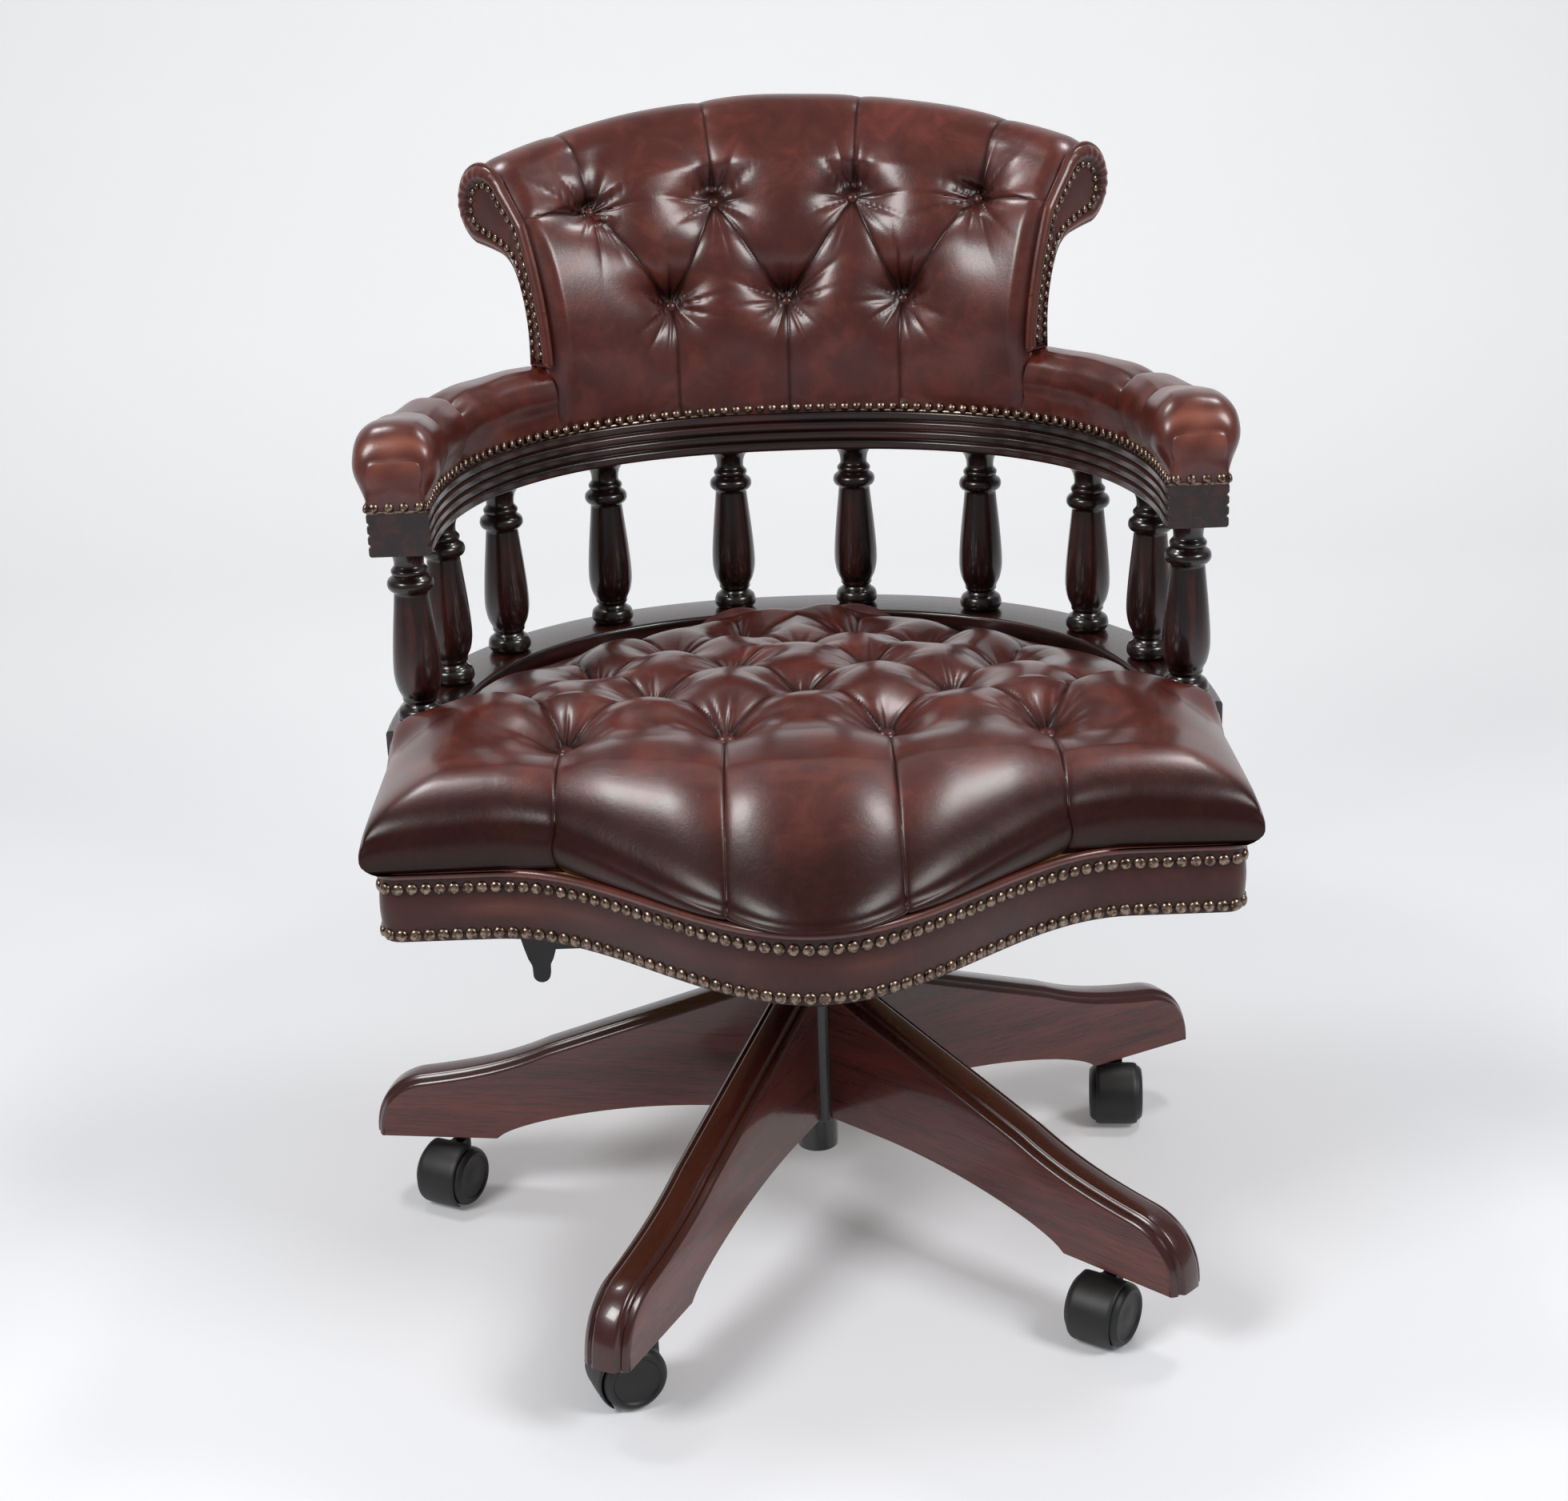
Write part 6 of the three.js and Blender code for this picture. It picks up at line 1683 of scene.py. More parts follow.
@dataclass
class ArmPad:
    """Stuffed leather pad on one arm, pleated across and rounded at its front."""

    finishes: Finishes
    side: Side
    height: float = 52.0
    front_gain: float = 12.0
    bulge: float = 10.0
    half: float = 21.5
    pleats: tuple[float, ...] = (0.3, 0.55)
    pleat_depth: float = 6.5
    nose_r: float = 22.0
    nose_narrow: float = 0.38
    nose_lower: float = 0.33

    @property
    def length(self) -> float:
        """Length of the pad along the bow."""
        return BOW.distance_at(BACK.end_x) - LEVELS.fit

    def section(self, share: float) -> Array:
        """Gives the pad's section at a share of its length, without its flat bottom."""
        half, top = self.half, self.height + self.front_gain * bell(share, 0.25)
        outer = half + self.bulge
        inner = float(mix(outer, half, smooth(share)))
        corners = [
            (half, 0), (half + 0.8, top * 0.1), (half + 4, top * 0.22), (outer - 0.6, top * 0.42),
            (outer, top * 0.6), (outer - 4.5, top * 0.82), (outer - 14, top * 0.96), (5, top * 1.0),
            (-6, top * 1.0), (-inner + 14, top * 0.955), (-inner + 4, top * 0.8), (-inner, top * 0.58),
            (-inner + 1.2, top * 0.36), (-half - 0.8, top * 0.14), (-half, 0)]
        return evenly(spline(corners, 8), 90)

    def folds(self, d: float, run: Array) -> tuple[Array, Array, Array]:
        """Works out the two folds that lap over the leather behind them.

        Args:
            d: Distance from the pad's front end.
            run: Places round the section, from 0 to 1.

        Returns:
            How far each place is drawn in, how dark it is, and how worn.
        """
        pull, dark, worn = np.zeros((3, len(run)))
        arch = np.sin(math.pi * run) ** 0.4
        for k, pleat in enumerate(self.pleats):
            # Each fold curves forwards down both sides.
            curve = 20.0 * (2 * run - 1) ** 2 + 5.0 * (run - 0.5) * (1 if k % 2 else -1)
            gap = d - pleat * self.length + curve
            behind = np.where(gap > 0, np.exp(-np.maximum(gap, 0) / 17), 0)
            ahead = np.where(gap > 0, 0, np.exp(np.minimum(gap, 0) / 2.6))
            pull += self.pleat_depth * arch * (behind + ahead)
            pull += (0.45 * np.cos(run * 46 + 2 * k) * bell(gap - 9, 8) + 2.4 * bell(gap + 1.4, 1.5)) * arch
            # Painted shade: a dark line in each fold, and a broad painted shadow on the leather behind it.
            dark += (0.95 * bell(gap + 1.2, 1.8) + 0.5 * behind) * arch
            worn += 0.5 * bell(gap + 5.5, 2.4) * arch
        return pull, dark, worn

    def shape(self) -> Shape:
        """Makes the pad's leather."""
        nose = np.array([0.0, 0.3, 0.8, 1.6, 2.7, 4.1, 5.8, 7.6, 9.5, 12.0, 15.0, 19.0, 24.0, 29.0])
        at = np.concatenate([nose, np.linspace(32, self.length, 190)])
        flat = columns(np.linspace(-self.half, self.half, 10)[1:-1], 0)
        sections, shades, wears = [], [], []
        for d in at.tolist():
            section = self.section(d / self.length)
            edge = 1 - math.sqrt(1 - (max(0.0, self.nose_r - d) / self.nose_r) ** 2)
            lift = section[:, 1] / section[:, 1].max()
            lower = self.nose_lower * edge + 5.0 * bell(d, 22) / self.height
            section = section * columns(1 - self.nose_narrow * edge * smooth(lift * 3), 1 - lower * lift**1.3)
            pull, dark, worn = self.folds(d, np.linspace(0, 1, len(section)))
            spots = columns(d, section)
            pull += 0.7 * waver(spots, 45, 21 + self.side.value) * smooth(lift * 3)
            toward = unit(np.array([0.0, self.height * 0.45]) - section)
            section = section + toward * (pull * smooth(lift * 5))[:, None]
            sections.append(np.vstack([section, flat]))
            # Painted shade along the pad's foot, and on its flat underside.
            shades.append(np.concatenate([dark + 0.4 * bell(lift, 0.08), np.ones(len(flat))]))
            tip = (0.35 * bell(d, 20) + 0.5 * bell(d - 4, 4)) * lift**2
            worn += tip * (0.9 + 0.3 * waver(spots, 22, 4))
            wears.append(np.concatenate([worn, np.zeros(len(flat))]))
        sections = np.array(sections) + [0, LEVELS.bow_rest]
        rings = BOW.sweep(at if self.side is Side.RIGHT else BOW.length() - at, sections)
        made = swept(rings)
        made.faces.pop(-2)
        made.shade = np.clip(np.concatenate(shades), 0, 1)
        made.wear = np.clip(np.concatenate(wears), 0, 1)
        made.grain = columns(np.repeat(at, sections.shape[1]), made.points[:, :2])
        return self.with_nose(made, rings[0])

    def with_nose(self, made: Shape, ring: Array) -> Shape:
        """Closes the pad's front end with a full, slightly domed face.

        Args:
            made: The pad, open at its front.
            ring: The front ring's points.

        Returns:
            The closed pad.
        """
        heart = np.array([*ring[:, :2].mean(axis=0), LEVELS.bow_rest + 20])
        rings = []
        for scale in (0.985, 0.95, 0.88, 0.75, 0.56, 0.36, 0.16):
            smaller = heart + (ring - heart) * [scale, 1, scale]
            smaller[:, 2] = np.maximum(smaller[:, 2], ring[:, 2].min())
            low = smooth((smaller[:, 2] - LEVELS.bow_top) / 16)
            smaller[:, 1] = ring[:, 1] - 2.4 * (1 - scale**2) ** 0.5 * low
            rings.append(smaller)
        added = np.vstack(rings)
        start, count = len(made.points), len(ring)
        loops = [np.arange(count), *np.arange(start, start + len(added)).reshape(-1, count)]
        lift = added[:, 2] - LEVELS.bow_top
        patch = np.clip(0.55 + 0.2 * waver(added, 22, 9), 0, 1) * smooth((lift - 4) / 30)
        # Painted shade at the foot of the nose.
        return Shape(
            np.vstack([made.points, added]), made.faces + skinned(loops), np.vstack([made.grain, added]),
            np.concatenate([made.shade, 0.5 * bell(lift, 6)]), np.concatenate([made.wear, patch]))

    def build(self) -> None:
        """Makes the pad."""
        name = self.side.name.lower()
        role = leather(f"arm_pad_{name}")
        pad = make_piece(f"arm_pad_leather_{name}", self.shape(), self.finishes.hide, role, 75)


@dataclass
class BowTrim:
    """Nails and gimp along the bow's top edges, under the upholstery."""

    finishes: Finishes
    half: float = 22.0
    gain: float = 4.0
    pitch: float = 9.6
    lift: float = 4.4

    def line(self, side: float, out: float, lift: float) -> Array:
        """Gives a path beside the upholstery's foot.

        Args:
            side: -1 along the bow's inner edge, 1 along its outer edge.
            out: How far it stands off the leather.
            lift: Height above the bow.

        Returns:
            Points, and the direction away from the leather.
        """
        length = BOW.length()
        at = np.linspace(1.0, length - 1.0, 400)
        reach = self.half + self.gain * np.sin(math.pi * at / length) - 0.9 + out
        points, outward = BOW.frames(at)
        return columns(points + outward * (side * reach)[:, None], LEVELS.bow_top + lift, outward * side)

    def build(self) -> None:
        """Makes the nails and the gimp cord under them."""
        front, top = LEVELS.bow_front, LEVELS.bow_top
        places, normals, cords = [], [], []
        for side in (-1, 1):
            at = spaced(self.line(side, 0.3, self.lift), self.pitch)
            places.append(at[:, :3])
            normals.append(columns(at[:, 3:], 0.25))
            cords.append(self.line(side, -0.2, 1.0)[:, :3])
        for side in (-1, 1):
            middle = side * BOW.half_width
            places.append(columns(middle + np.linspace(-16, 16, 4), front - 0.2, top + 4.6))
            normals.append(np.tile([0.0, -1.0, 0.15], (4, 1)))
            cords.append(columns(middle + np.array([-21.0, 0.0, 21.0]), front - 0.1, top + 1.0))
        nails = set_facing(NailShape(3.6, 2.2).shape(), np.vstack(places), np.vstack(normals))
        make_piece("bow_nails", nails, self.finishes.nails, leather(), 70)
        make_piece("bow_gimp", joined([tube(cord, 1.0, 6) for cord in cords]), self.finishes.nails, leather())


# Base


@dataclass
class StarBase:
    """Five moulded mahogany legs round a hub."""

    finishes: Finishes
    legs: int = 5
    turn_deg: float = 28.2
    tip_r: float = 345.0
    width: float = 34.0
    foot_length: float = 98.0
    toe_height: float = 50.0
    root_depth: float = 108.0
    undercut: float = 34.0
    band: float = 17.0
    step: float = 3.2
    apothem: float = 30.0
    foot_z: float = 54.0

    def angles(self) -> list[float]:
        """Gives each leg's direction in radians."""
        return [math.radians(self.turn_deg + 360 / self.legs * i) for i in range(self.legs)]

    def top_edge(self) -> Array:
        """Gives the leg's top edge, from the hub to the floor side of the toe."""
        root = self.apothem + LEVELS.fit
        root_z = self.foot_z + self.undercut + self.root_depth
        toe_z = self.foot_z + self.toe_height
        knee = np.array([self.tip_r - self.foot_length - 41, toe_z + 28])
        toe = np.array([self.tip_r - 38, toe_z])
        straight = np.linspace([root, root_z], knee, 16, endpoint=False)

        def bezier(a: Array, b: Array, c: Array, d: Array, count: int) -> Array:
            """Draws a curve from a to d that b and c pull on."""
            t = np.linspace(0, 1, count)[:, None]
            return (1 - t) ** 3 * a + 3 * t * (1 - t) ** 2 * b + 3 * t**2 * (1 - t) * c + t**3 * d

        sweep = bezier(knee, knee + [30, -14], toe + [-45, 7], toe, 18)[:-1]
        over = np.array([(self.tip_r - 18, toe_z - 4), (self.tip_r, toe_z - 20), (self.tip_r, self.foot_z)])
        return np.vstack([straight, sweep, bezier(toe, *over, 26)])

    def underside(self, r: Array) -> Array:
        """Gives the leg's lower edge at a distance from the axis."""
        heel = self.tip_r - self.foot_length
        root = self.apothem + LEVELS.fit
        t = np.clip((heel - r) / (heel - root), 0, 1)
        return self.foot_z + self.undercut * np.sin((math.pi / 2) * np.minimum(1, 1.25 * t)) ** 0.65

    def leg(self) -> Shape:
        """Makes a leg that points along +X."""
        line = self.top_edge()
        half, band = self.width / 2, self.band / 2
        corners = [
            (half, self.step + 4.2), (half - 0.4, self.step + 2.6), (half - 1.8, self.step + 1.2),
            (band + 4.4, self.step - 0.2), (band + 2.6, self.step + 0.7), (band + 1.3, self.step + 0.1),
            (band + 0.6, 1.6), (band - 0.3, 0.5), (band - 1.6, 0.1), (0.0, 0.0)]
        edge = np.array([(-w, d) for w, d in corners] + corners[-2::-1])
        last_foot, rings = self.tip_r - 6, []
        for i, (top, down) in enumerate(zip(line, clockwise(ahead_of(line)))):
            down = np.array([0.0, -1.0]) if i == 0 else down
            share = max(0.0, (top[0] - (self.tip_r - 38)) / 38)
            foot = min(last_foot, mix(top[0], last_foot, share**0.5))
            under = float(self.underside(np.array([foot]))[0])
            ring = columns(top[0] + down[0] * edge[:, 1], edge[:, 0], top[1] + down[1] * edge[:, 1])
            sides = np.array([mix(ring[-1], np.array([foot, half, under]), t) for t in (0.35, 0.7, 1.0)])
            rings.append(np.vstack([ring, sides, sides[::-1] * [1, -1, 1]]))
        made = swept(rings)
        made.grain = made.points.copy()
        # Painted shade: the moulded top is darkened almost to the dark colour, the quirks darker still,
        # against the lighter sides.
        drop = np.tile(np.concatenate([edge[:, 1], np.zeros(6)]), len(rings))
        quirk = bell(drop - self.step, 0.9)
        made.shade = np.clip(0.86 * smooth((self.step + 4.4 - drop) / 1.5) * (drop > 0) + quirk, 0, 1)
        made.shade[len(edge) // 2 :: len(edge) + 6] = 0.86
        return made

    def hub(self) -> Shape:
        """Makes the five-sided hub."""
        r, half = self.apothem, self.apothem * math.tan(math.pi / self.legs) - 3
        outline = [
            (r * math.cos(a) - across * math.sin(a), r * math.sin(a) + across * math.cos(a))
            for a in self.angles() for across in (-half, half)]
        low = self.foot_z + self.undercut - 3
        made = prism(outline, low, low + self.root_depth + 6)
        made.grain = made.points[:, [2, 0, 1]]
        made.shade = np.full(len(made.points), 0.3)
        return made

    def build(self) -> None:
        """Makes the hub and the legs."""
        f = self.finishes
        make_piece("mahogany_hub", self.hub(), f.ebonised, Role("base", "dark_wood", "base_hub"), 40, 1.2)
        for number, angle in enumerate(self.angles(), 1):
            leg = self.leg().moved(Matrix.Rotation(angle, 4, "Z"))
            leg.grain = leg.grain + [430.0 * number, 57.0 * number, 0.0]
            role = Role("base", "dark_wood", f"base_leg_{number}")
            make_piece(f"moulded_leg_{number}", leg, f.leg_wood, role, 50)


@dataclass
class Castor:
    """One twin-wheel castor: a hood, a stem and two wheels."""

    finishes: Finishes
    number: int
    spot: tuple[float, float]
    heading_deg: float
    trail: float = 17.0
    wheel_r: float = 23.0
    wheel_width: float = 14.5
    web: float = 12.0
    hood_width: float = 33.0
    build_height: float = 54.0
    gap: float = 4.0
    stem_r: float = 5.0

    def placed(self, shape: Shape) -> Shape:
        """Moves a shape from the castor's own frame, stem up and trail along +X."""
        heading = Matrix.Rotation(math.radians(self.heading_deg), 4, "Z")
        return shape.moved(Matrix.Translation((*self.spot, 0.0)) @ heading)

    def on_axle(self, shape: Shape, side: int) -> Shape:
        """Lays a shape that is turned about Z on the wheels' axle."""
        lay = Matrix.Rotation(math.radians(-90 * side), 4, "X")
        return shape.moved(Matrix.Translation((self.trail, 0.0, self.wheel_r)) @ lay)

    def wheel(self, side: int) -> Shape:
        """Makes a wheel with a rounded tread, a raised rim and a dished hub cap."""
        r, inner = self.wheel_r, self.web / 2 + 0.5
        outer = inner + self.wheel_width
        corners = [
            (3.1, inner), (r - 1.0, inner), (r, inner + 1.4), (r, outer - 6.0), (r - 0.8, outer - 3.2),
            (r - 3.0, outer - 0.6), (r - 4.6, outer), (r - 6.2, outer - 0.8), (r - 7.0, outer - 2.0),
            (9.0, outer - 1.6), (5.0, outer - 0.9), (0.0, outer - 0.7)]
        return self.placed(self.on_axle(turned(filleted(corners, 1.3, 3), 56), side))

    def hood(self) -> Shape:
        """Makes the hood: a crowned cover over the wheels, a web and the stem's barrel."""
        inner, half, web = self.wheel_r + 0.9, self.hood_width / 2, self.web / 2

        def arched(section: Sequence | Array, first: float, last: float, count: int) -> Shape:
            """Sweeps a section of radius and y round the axle, between two angles in degrees."""
            around = np.radians(np.linspace(first, last, count))
            return swept([[(r * math.cos(a), y, r * math.sin(a)) for r, y in section] for a in around])

        cover = filleted(
            [(inner, -half), (inner + 0.9, -half - 0.2), (inner + 1.9, -half + 2.5), (inner + 2.1, 0),
             (inner + 1.9, half - 2.5), (inner + 0.9, half + 0.2), (inner, half), (inner + 0.3, 0)],
            1.6, 3, closed=True)
        plate = [(5.0, -web), (inner + 0.6, -web), (inner + 0.6, web), (5.0, web)]
        lay = Matrix.Rotation(math.radians(90), 4, "X")
        boss = turned(filleted([(0, -web), (7, -web), (7, web), (0, web)], 0.6), 30)
        reach = web + self.wheel_width - 3
        axle = turned([(0, -reach), (3, -reach), (3, reach), (0, reach)], 20)
        top = self.build_height - self.gap - self.wheel_r
        barrel = turned(filleted([(0, 1.5), (web, 1.5), (web, top), (0, top)], 1.0), 32)
        whole = joined([
            arched(cover, -48, 98, 44), arched(plate, -38, 112, 30), boss.moved(lay), axle.moved(lay),
            barrel.moved(Matrix.Translation((-self.trail, 0, 0))),
            box_between((-self.trail, -web + 0.6, 3), (0, web - 0.6, 23)),
        ])
        return self.placed(whole.moved(Matrix.Translation((self.trail, 0, self.wheel_r))))

    def stem(self) -> Shape:
        """Makes the steel stem that stands in the leg."""
        r, low, top = self.stem_r, self.build_height - self.gap + 0.3, self.build_height + 34
        pin = filleted([(0, low), (r, low), (r, top - 1), (r - 1, top), (0, top + 0.6)], 0.8)
        return self.placed(turned(pin, 28))

    def build(self) -> None:
        """Makes the castor's pieces on their bodies."""
        n, f = self.number, self.finishes
        hood = Role(f"castor_{n}", "castor_brown", f"castor_{n}_hood")
        make_piece(f"castor_cover_{n}", self.hood(), f.nylon, hood)
        stem = Role(f"castor_{n}", "zinc_steel", f"castor_{n}_stem")
        make_piece(f"castor_pin_{n}", self.stem(), f.zinc, stem)
        for side, letter in ((1, "a"), (-1, "b")):
            wheel = Role(f"castor_{n}_{letter}", "wheel_black", f"castor_{n}_wheel_{letter}")
            make_piece(f"castor_tread_{n}_{letter}", self.wheel(side), f.nylon, wheel, 35)


# Column and mechanism


@dataclass
class Column:
    """Gas column: outer tube, bush, cylinder, rod and clip."""

    finishes: Finishes
    tube_r: float = 15.5
    wall: float = 3.0
    foot_z: float = 50.0
    eye_z: float = 57.0
    top_z: float = 230.0
    cylinder_r: float = 11.0
    cylinder_top: float = 274.2

    def build(self) -> None:
        """Makes the column's pieces and finishes the two that stay as packed."""
        f, top, r = self.finishes, self.top_z, self.cylinder_r
        bore, eye = self.tube_r - self.wall, 4.3
        sleeve = [(eye, self.eye_z), (bore, self.eye_z), (bore, self.foot_z), (self.tube_r, self.foot_z),
                  (self.tube_r, top), (bore, top), (bore, self.eye_z + 4), (eye, self.eye_z + 4)]
        inner, outer = r + 0.3, bore - 0.3
        collar = [(inner, top - 26), (outer, top - 26), (outer, top + 0.3), (self.tube_r, top + 0.3),
                  (self.tube_r - 1, top + 4), (inner, top + 4)]
        for name, section, rounding, finish, role in (
            ("column_sleeve", sleeve, 0.9, f.enamel, Role("base", "black_steel", "column_tube")),
            ("column_collar", collar, 0.7, f.acetal, Role("base", "bush_plastic", "column_bush")),
        ):
            make_piece(name, turned(filleted(section, rounding, 3, closed=True), 64, loop=True), finish, role)
        crown = self.cylinder_top
        cylinder = [(0, 210), (4.1, 210), (4.1, 68), (r - 0.6, 68), (r, 68.6), (r, crown - 0.8),
                    (r - 0.8, crown), (4, crown), (4, crown + 4), (0, crown + 4)]
        lift = Role("lift", "bright_steel", "gas_cylinder")
        make_piece("gas_cylinder_barrel", turned(cylinder, 56), f.chrome, lift)
        frame["nodes"]["piston_rod"].data.materials[0] = f.chrome
        frame["nodes"]["column_clip"].data.materials[0] = f.zinc


@dataclass
class TiltGear:
    """Housing, plate, spring, knob and lift lever under the seat."""

    finishes: Finishes
    lever_y: float = -90.0
    lever_z: float = 265.2
    pivot_x: float = -51.0
    reach: float = 207.0
    paddle_width: float = 27.0
    paddle_drop: float = 30.0
    knob_r: float = 19.0
    knob_height: float = 15.0
    spring_y: float = -86.0
    spring_r: float = 13.0
    wire_r: float = 1.7
    spring_turns: float = 3.5
    spring_length: float = 26.0
    spring_top: float = 253.9

    def paddle(self) -> Shape:
        """Makes the lever's paddle: a flat tongue that hangs under the seat's edge."""
        half, drop = self.paddle_width / 2, self.paddle_drop
        arc = np.radians(np.linspace(180, 360, 16))
        lobe = columns(6.2 * np.cos(arc), -drop + 6.2 + 6.2 * np.sin(arc))
        waist = spline([(-half + 4.6, -12), (-6.6, -17), (-6.2, -drop + 7)], 5)
        left = np.vstack([(-half, 4.5), (-half + 2.2, -4), waist])
        plate = prism(np.vstack([left, lobe[1:-1], left[::-1] * [-1, 1]]), -3.5, 3.5)
        stand = Matrix.Rotation(math.radians(90), 4, "X")
        return plate.moved(Matrix.Translation((-self.reach + half, self.lever_y, self.lever_z)) @ stand)

    def lever(self) -> Shape:
        """Makes the whole lever, from its paddle to the tongue over the valve."""
        x, y, z = self.pivot_x, self.lever_y, self.lever_z
        near, far, tongue = -31.0, -23.0, 282.7
        lay = Matrix.Translation((x, y, z)) @ Matrix.Rotation(math.radians(90), 4, "X")
        section = filleted([(2.6, -6), (6.5, -6), (6.5, 6), (2.6, 6)], 0.6, 3, closed=True)
        barrel = turned(section, 32, loop=True)
        blocks = [
            box_between((-self.reach + 8, y - 4, z - 4.5), (x - 4, y + 4, z + 4.5)),
            box_between((x + 4, y - 4, z - 3), (far, y + 4, z + 3)),
            box_between((near, y - 4, z - 3), (far, 4, z + 3)),
            box_between((near, -4, z), (near + 4, 4, tongue + 3)),
            box_between((near, -4, tongue), (4, 4, tongue + 3))]
        return joined([self.paddle(), barrel.moved(lay), *blocks])

    def spring(self) -> Shape:
        """Makes the tension spring as one coiled wire."""
        t = np.linspace(0, 1, int(self.spring_turns * 40))
        angle = 2 * math.pi * self.spring_turns * t
        climb = self.spring_length - 2 * self.wire_r
        height = self.spring_top - self.wire_r - climb * t
        r = self.spring_r
        return tube(columns(r * np.cos(angle), r * np.sin(angle) + self.spring_y, height), self.wire_r, 12)

    def knob(self) -> Shape:
        """Makes the fluted tension knob and its bolt."""
        top, tall = self.spring_top - self.spring_length - 0.3, self.knob_height
        angle = np.linspace(0, 2 * math.pi, 120, endpoint=False)
        r = self.knob_r - 1.1 + 1.1 * np.cos(10 * angle)
        steps = ((0.55, 0.0), (0.9, 0.0), (1.0, 1.6), (1.0, tall - 2.2), (0.93, tall), (0.5, tall))
        rings = [columns(r * k * np.cos(angle), r * k * np.sin(angle), top - tall + h) for k, h in steps]
        shank = turned([(0, top - 1), (4, top - 1), (4, 303.7), (0, 303.7)], 24)
        return joined([swept(rings), shank]).moved(Matrix.Translation((0, self.spring_y, 0)))

    def build(self) -> None:
        """Makes the gear's pieces and finishes the ones that stay as packed."""
        f = self.finishes
        lever = Role("lever", "black_plastic", "lift_lever")
        make_piece("lift_lever_arm", self.lever(), f.nylon, lever, 40, 0.9)
        spring = make_piece("tension_spring", self.spring(), f.zinc, Role("", "zinc_steel", "tilt_spring"))
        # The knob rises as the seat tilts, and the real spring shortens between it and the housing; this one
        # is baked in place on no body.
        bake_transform(spring)
        make_piece("tension_grip", self.knob(), f.nylon, Role("knob", "black_plastic", "tension_knob"), 35)
        for node, finish in (("tilt_housing", f.enamel), ("seat_plate", f.enamel), ("tilt_pin", f.zinc),
                             ("lever_pin", f.zinc), ("seat_board", f.ply), ("seat_frame", f.beech)):
            frame["nodes"][node].data.materials[0] = finish


# Stage


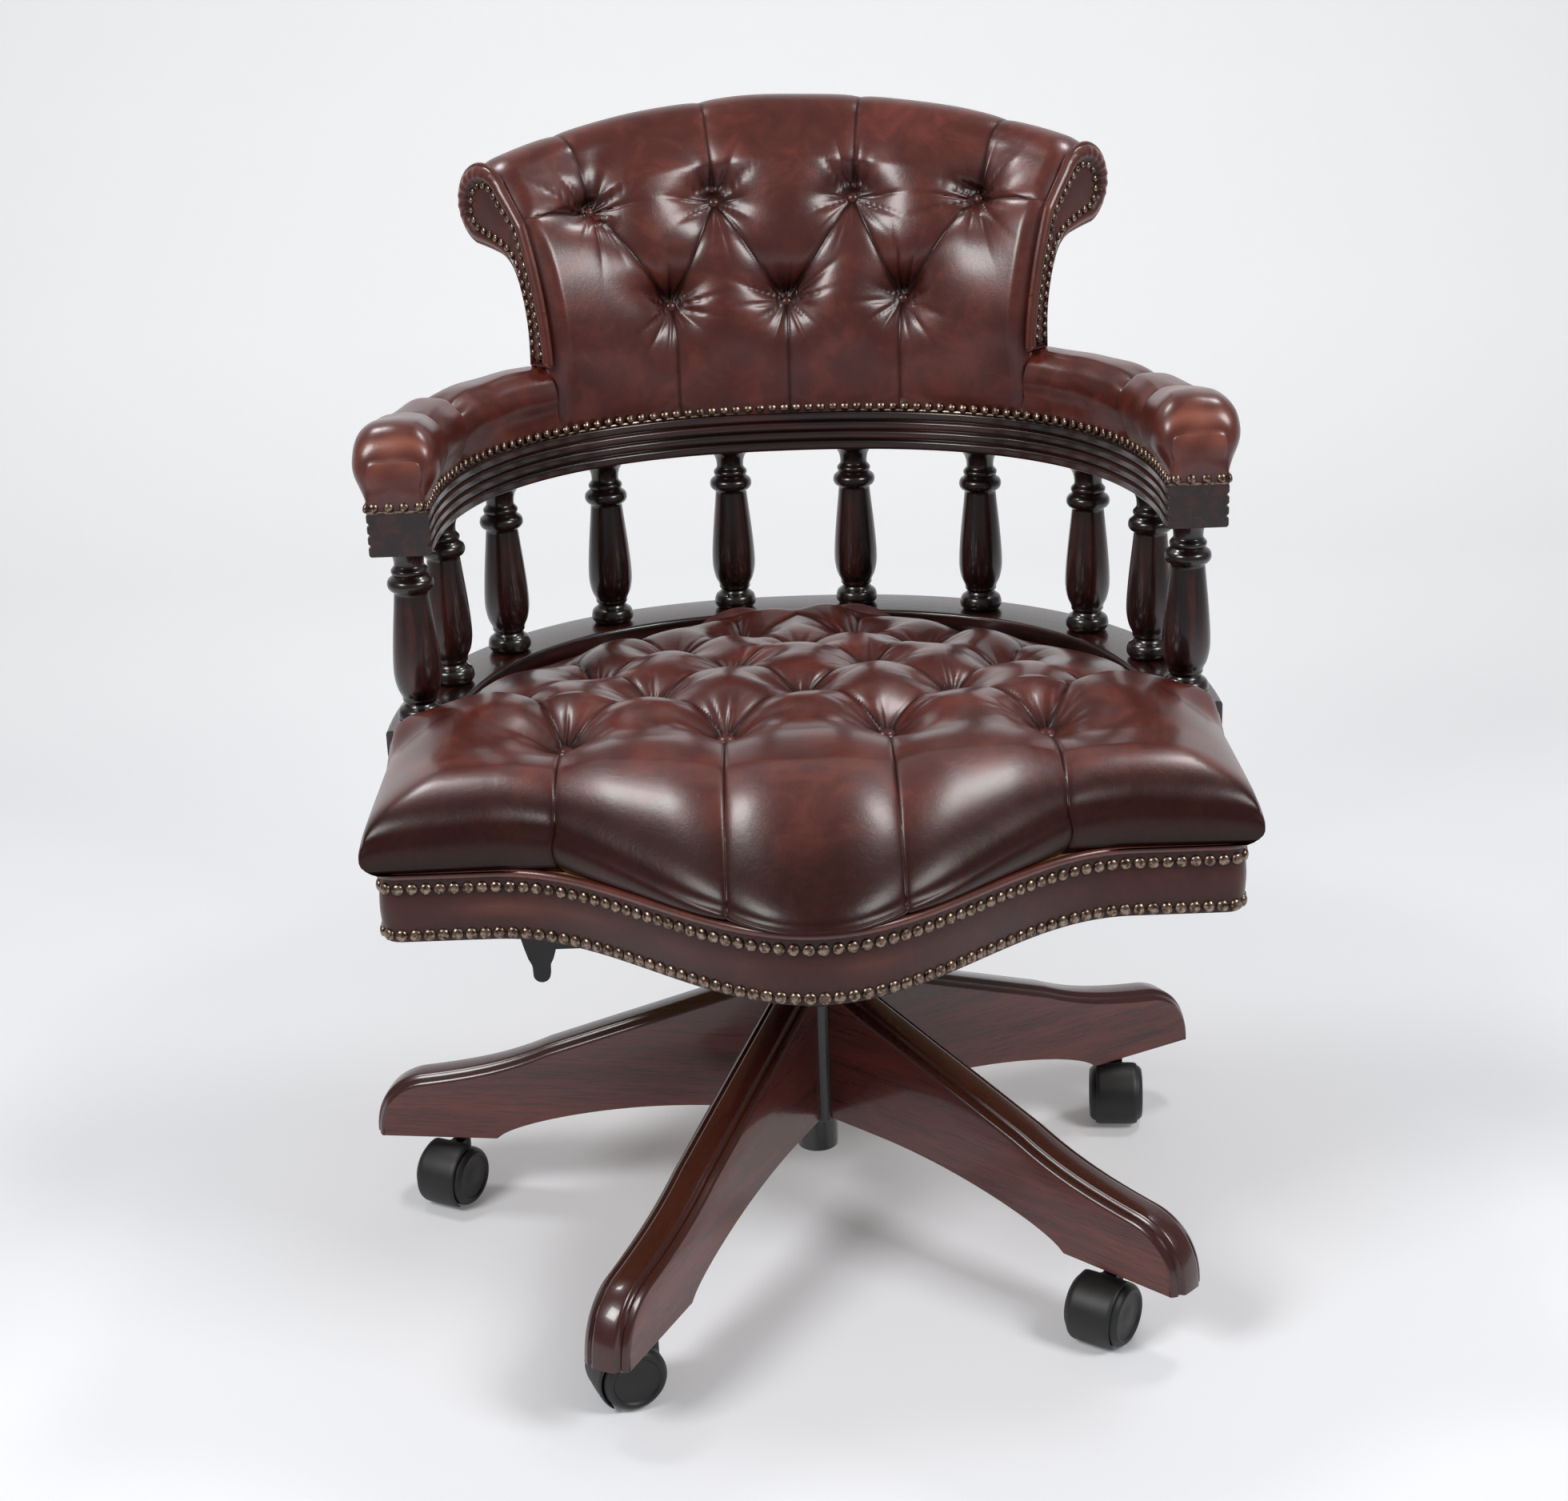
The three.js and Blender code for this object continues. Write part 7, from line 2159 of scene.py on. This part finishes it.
@dataclass
class Studio:
    """Camera, lamps, sweep of white paper and plain daylight."""

    image_width: int = 1960
    focal_px: float = 3238.24
    place: tuple[float, float, float] = (-8.593, -1806.181, 1005.585)
    look: tuple[float, float, float] = (0.00436096, 0.94151425, -0.33694494)
    roll_deg: float = 1.9852

    def camera(self) -> None:
        """Sets the camera where the photograph was taken."""
        data = bpy.data.cameras.new("photo_camera")
        data.sensor_width, data.sensor_fit = 36.0, "HORIZONTAL"
        data.lens = self.focal_px / self.image_width * data.sensor_width
        data.clip_start, data.clip_end = 0.05, 60.0
        forward = Vector(self.look).normalized()
        level = forward.cross(Vector((0, 0, 1))).normalized()
        above = level.cross(forward)
        turn = math.radians(self.roll_deg)
        right = level * math.cos(turn) - above * math.sin(turn)
        up = right.cross(forward)
        pose = Matrix((right, up, -forward)).transposed().to_4x4()
        pose.translation = Vector(self.place) * MM
        camera = bpy.data.objects.new("photo_camera", data)
        camera.matrix_world = pose
        bpy.context.scene.collection.objects.link(camera)
        bpy.context.scene.camera = camera

    def lamp(self, name: str, place: tuple[float, float, float], aim: tuple[float, float, float],
             size: tuple[float, float], power: float) -> None:
        """Hangs a soft box.

        Args:
            name: Its name.
            place: Where it hangs, in metres.
            aim: The point that it faces.
            size: Its width and height.
            power: Its power in watts.
        """
        data = bpy.data.lights.new(name, "AREA")
        data.shape, data.size, data.size_y, data.energy = "RECTANGLE", size[0], size[1], power
        lamp = bpy.data.objects.new(name, data)
        lamp.location = place
        lamp.rotation_euler = (Vector(aim) - Vector(place)).to_track_quat("-Z", "Y").to_euler()
        bpy.context.scene.collection.objects.link(lamp)

    def sweep(self) -> None:
        """Rolls out the paper: floor, curve and wall in one sheet."""
        radius, wall_y, front_y, half, top = 1.6, 3.4, -4.5, 6.0, 5.5
        arc = [(wall_y - radius + radius * math.sin(a), radius - radius * math.cos(a))
               for a in np.linspace(0, math.pi / 2, 24)]
        line = np.array([(front_y, 0.0), *arc, (wall_y, top)])
        line[:, 1] -= 0.0005
        points = [(x, y, z) for y, z in line for x in (-half, half)]
        mesh = bpy.data.meshes.new("paper_sweep")
        mesh.from_pydata(points, [], quads(len(line), 2))
        mesh.shade_smooth()
        mesh.materials.append(self.paper())
        sheet = bpy.data.objects.new("paper_sweep", mesh)
        bpy.context.scene.collection.objects.link(sheet)

    def paper(self) -> Material:
        """Makes matt white background paper, a little cooler on the floor."""
        g = Graph("background_paper")
        place = g.add("TexCoord").outputs["Object"]
        along = g.add("SeparateXYZ", links={0: place}).outputs["Y"]
        back = g.add("MapRange", {1: -0.6, 2: 2.6}, {0: along})
        # Painted light: the paper is greyer and cooler on the floor in front and whiter up the wall.
        stops = [(0.0, "#D9DADE"), (0.55, "#E4E5E7"), (1.0, "#F8F8F9")]
        tone = g.add("ValToRGB", {"stops": stops}, {0: back})
        fibres = g.add("TexNoise", {"Scale": 1.4, "Detail": 3.0}, {"Vector": place})
        faint = g.add("ValToRGB", {"stops": [(0.3, "#E8E8E8"), (0.7, "#FFFFFF")]}, {0: fibres})
        soft = g.add("Mix", {"data_type": "RGBA", "blend_type": "MULTIPLY", 0: 0.05}, {6: tone, 7: faint})
        # Seen directly or in a gloss, the paper is lifted towards white, more towards the wall as a painted
        # brightening; it lights nothing by that.
        rays = g.add("LightPath").outputs
        seen = rays["Is Camera Ray"]
        for kind in ("Is Glossy Ray", "Is Transmission Ray"):
            seen = g.add("Math", {"operation": "MAXIMUM"}, {0: seen, 1: rays[kind]})
        lift = g.add("MapRange", {1: -0.4, 2: 3.0, 3: 0.08, 4: 0.26}, {0: along})
        g.feed(Base_Color=soft.outputs[2],
               Emission_Strength=g.add("Math", {"operation": "MULTIPLY"}, {0: seen, 1: lift}))
        g.set(Roughness=0.9, Specular_IOR_Level=0.1, Emission_Color=linear("#FFFFFF"))
        return g.owner

    def daylight(self) -> bpy.types.World:
        """Makes plain daylight: weak on the chair, yet seen as white behind the paper."""
        g = Graph("daylight", "worlds", "Background")
        seen = g.add("LightPath").outputs["Is Camera Ray"]
        g.feed(Strength=g.add("MapRange", {"To Min": 0.26, "To Max": 1.0}, {"Value": seen}))
        g.set(Color=linear("#F2F4F7"))
        return g.owner

    def build(self) -> None:
        """Sets up camera, lamps, paper and world."""
        self.camera()
        self.sweep()
        for name, place, aim_z, size, power in (
            ("soft_box_left", (-1.6, -1.4, 2.1), 0.5, (0.9, 0.9), 44.0),
            ("soft_box_right", (1.7, -1.2, 2.05), 0.5, (0.9, 0.9), 39.0),
            ("overhead_left", (-0.95, 0.6, 2.5), 0.4, (0.45, 0.35), 14.0),
            ("overhead_right", (1.0, 0.6, 2.5), 0.4, (0.45, 0.35), 12.5),
        ):
            self.lamp(name, place, (0.0, 0.0, aim_z), size, power)
        bpy.context.scene.view_settings.view_transform = "Standard"
        bpy.context.scene.world = self.daylight()


# Chair


@dataclass
class Chair:
    """The whole chair, sub-assembly by sub-assembly."""

    headings_deg: tuple[float, ...] = (265.0, 80.0, 242.0, 202.0, 235.0)
    castor_ring: float = 280.0

    def build(self) -> None:
        """Builds every sub-assembly in order."""
        finishes = Finishes()
        base = StarBase(finishes)
        base.build()
        for number, (angle, heading) in enumerate(zip(base.angles(), self.headings_deg), 1):
            spot = (self.castor_ring * math.cos(angle), self.castor_ring * math.sin(angle))
            Castor(finishes, number, spot, heading).build()
        Column(finishes).build()
        TiltGear(finishes).build()
        SeatBand(finishes).build()
        SeatCushion(finishes).build()
        Gallery(finishes).build()
        Backrest(finishes).build()
        for side in Side:
            ScrollFacing(finishes, side).build()
            ArmPad(finishes, side).build()
        BowTrim(finishes).build()


def main() -> None:
    """Builds the stage and the chair."""
    logging.basicConfig(level=logging.INFO, format="%(name)s %(message)s")
    Studio().build()
    Chair().build()
    bpy.context.view_layer.update()


if __name__ == "__main__":
    main()
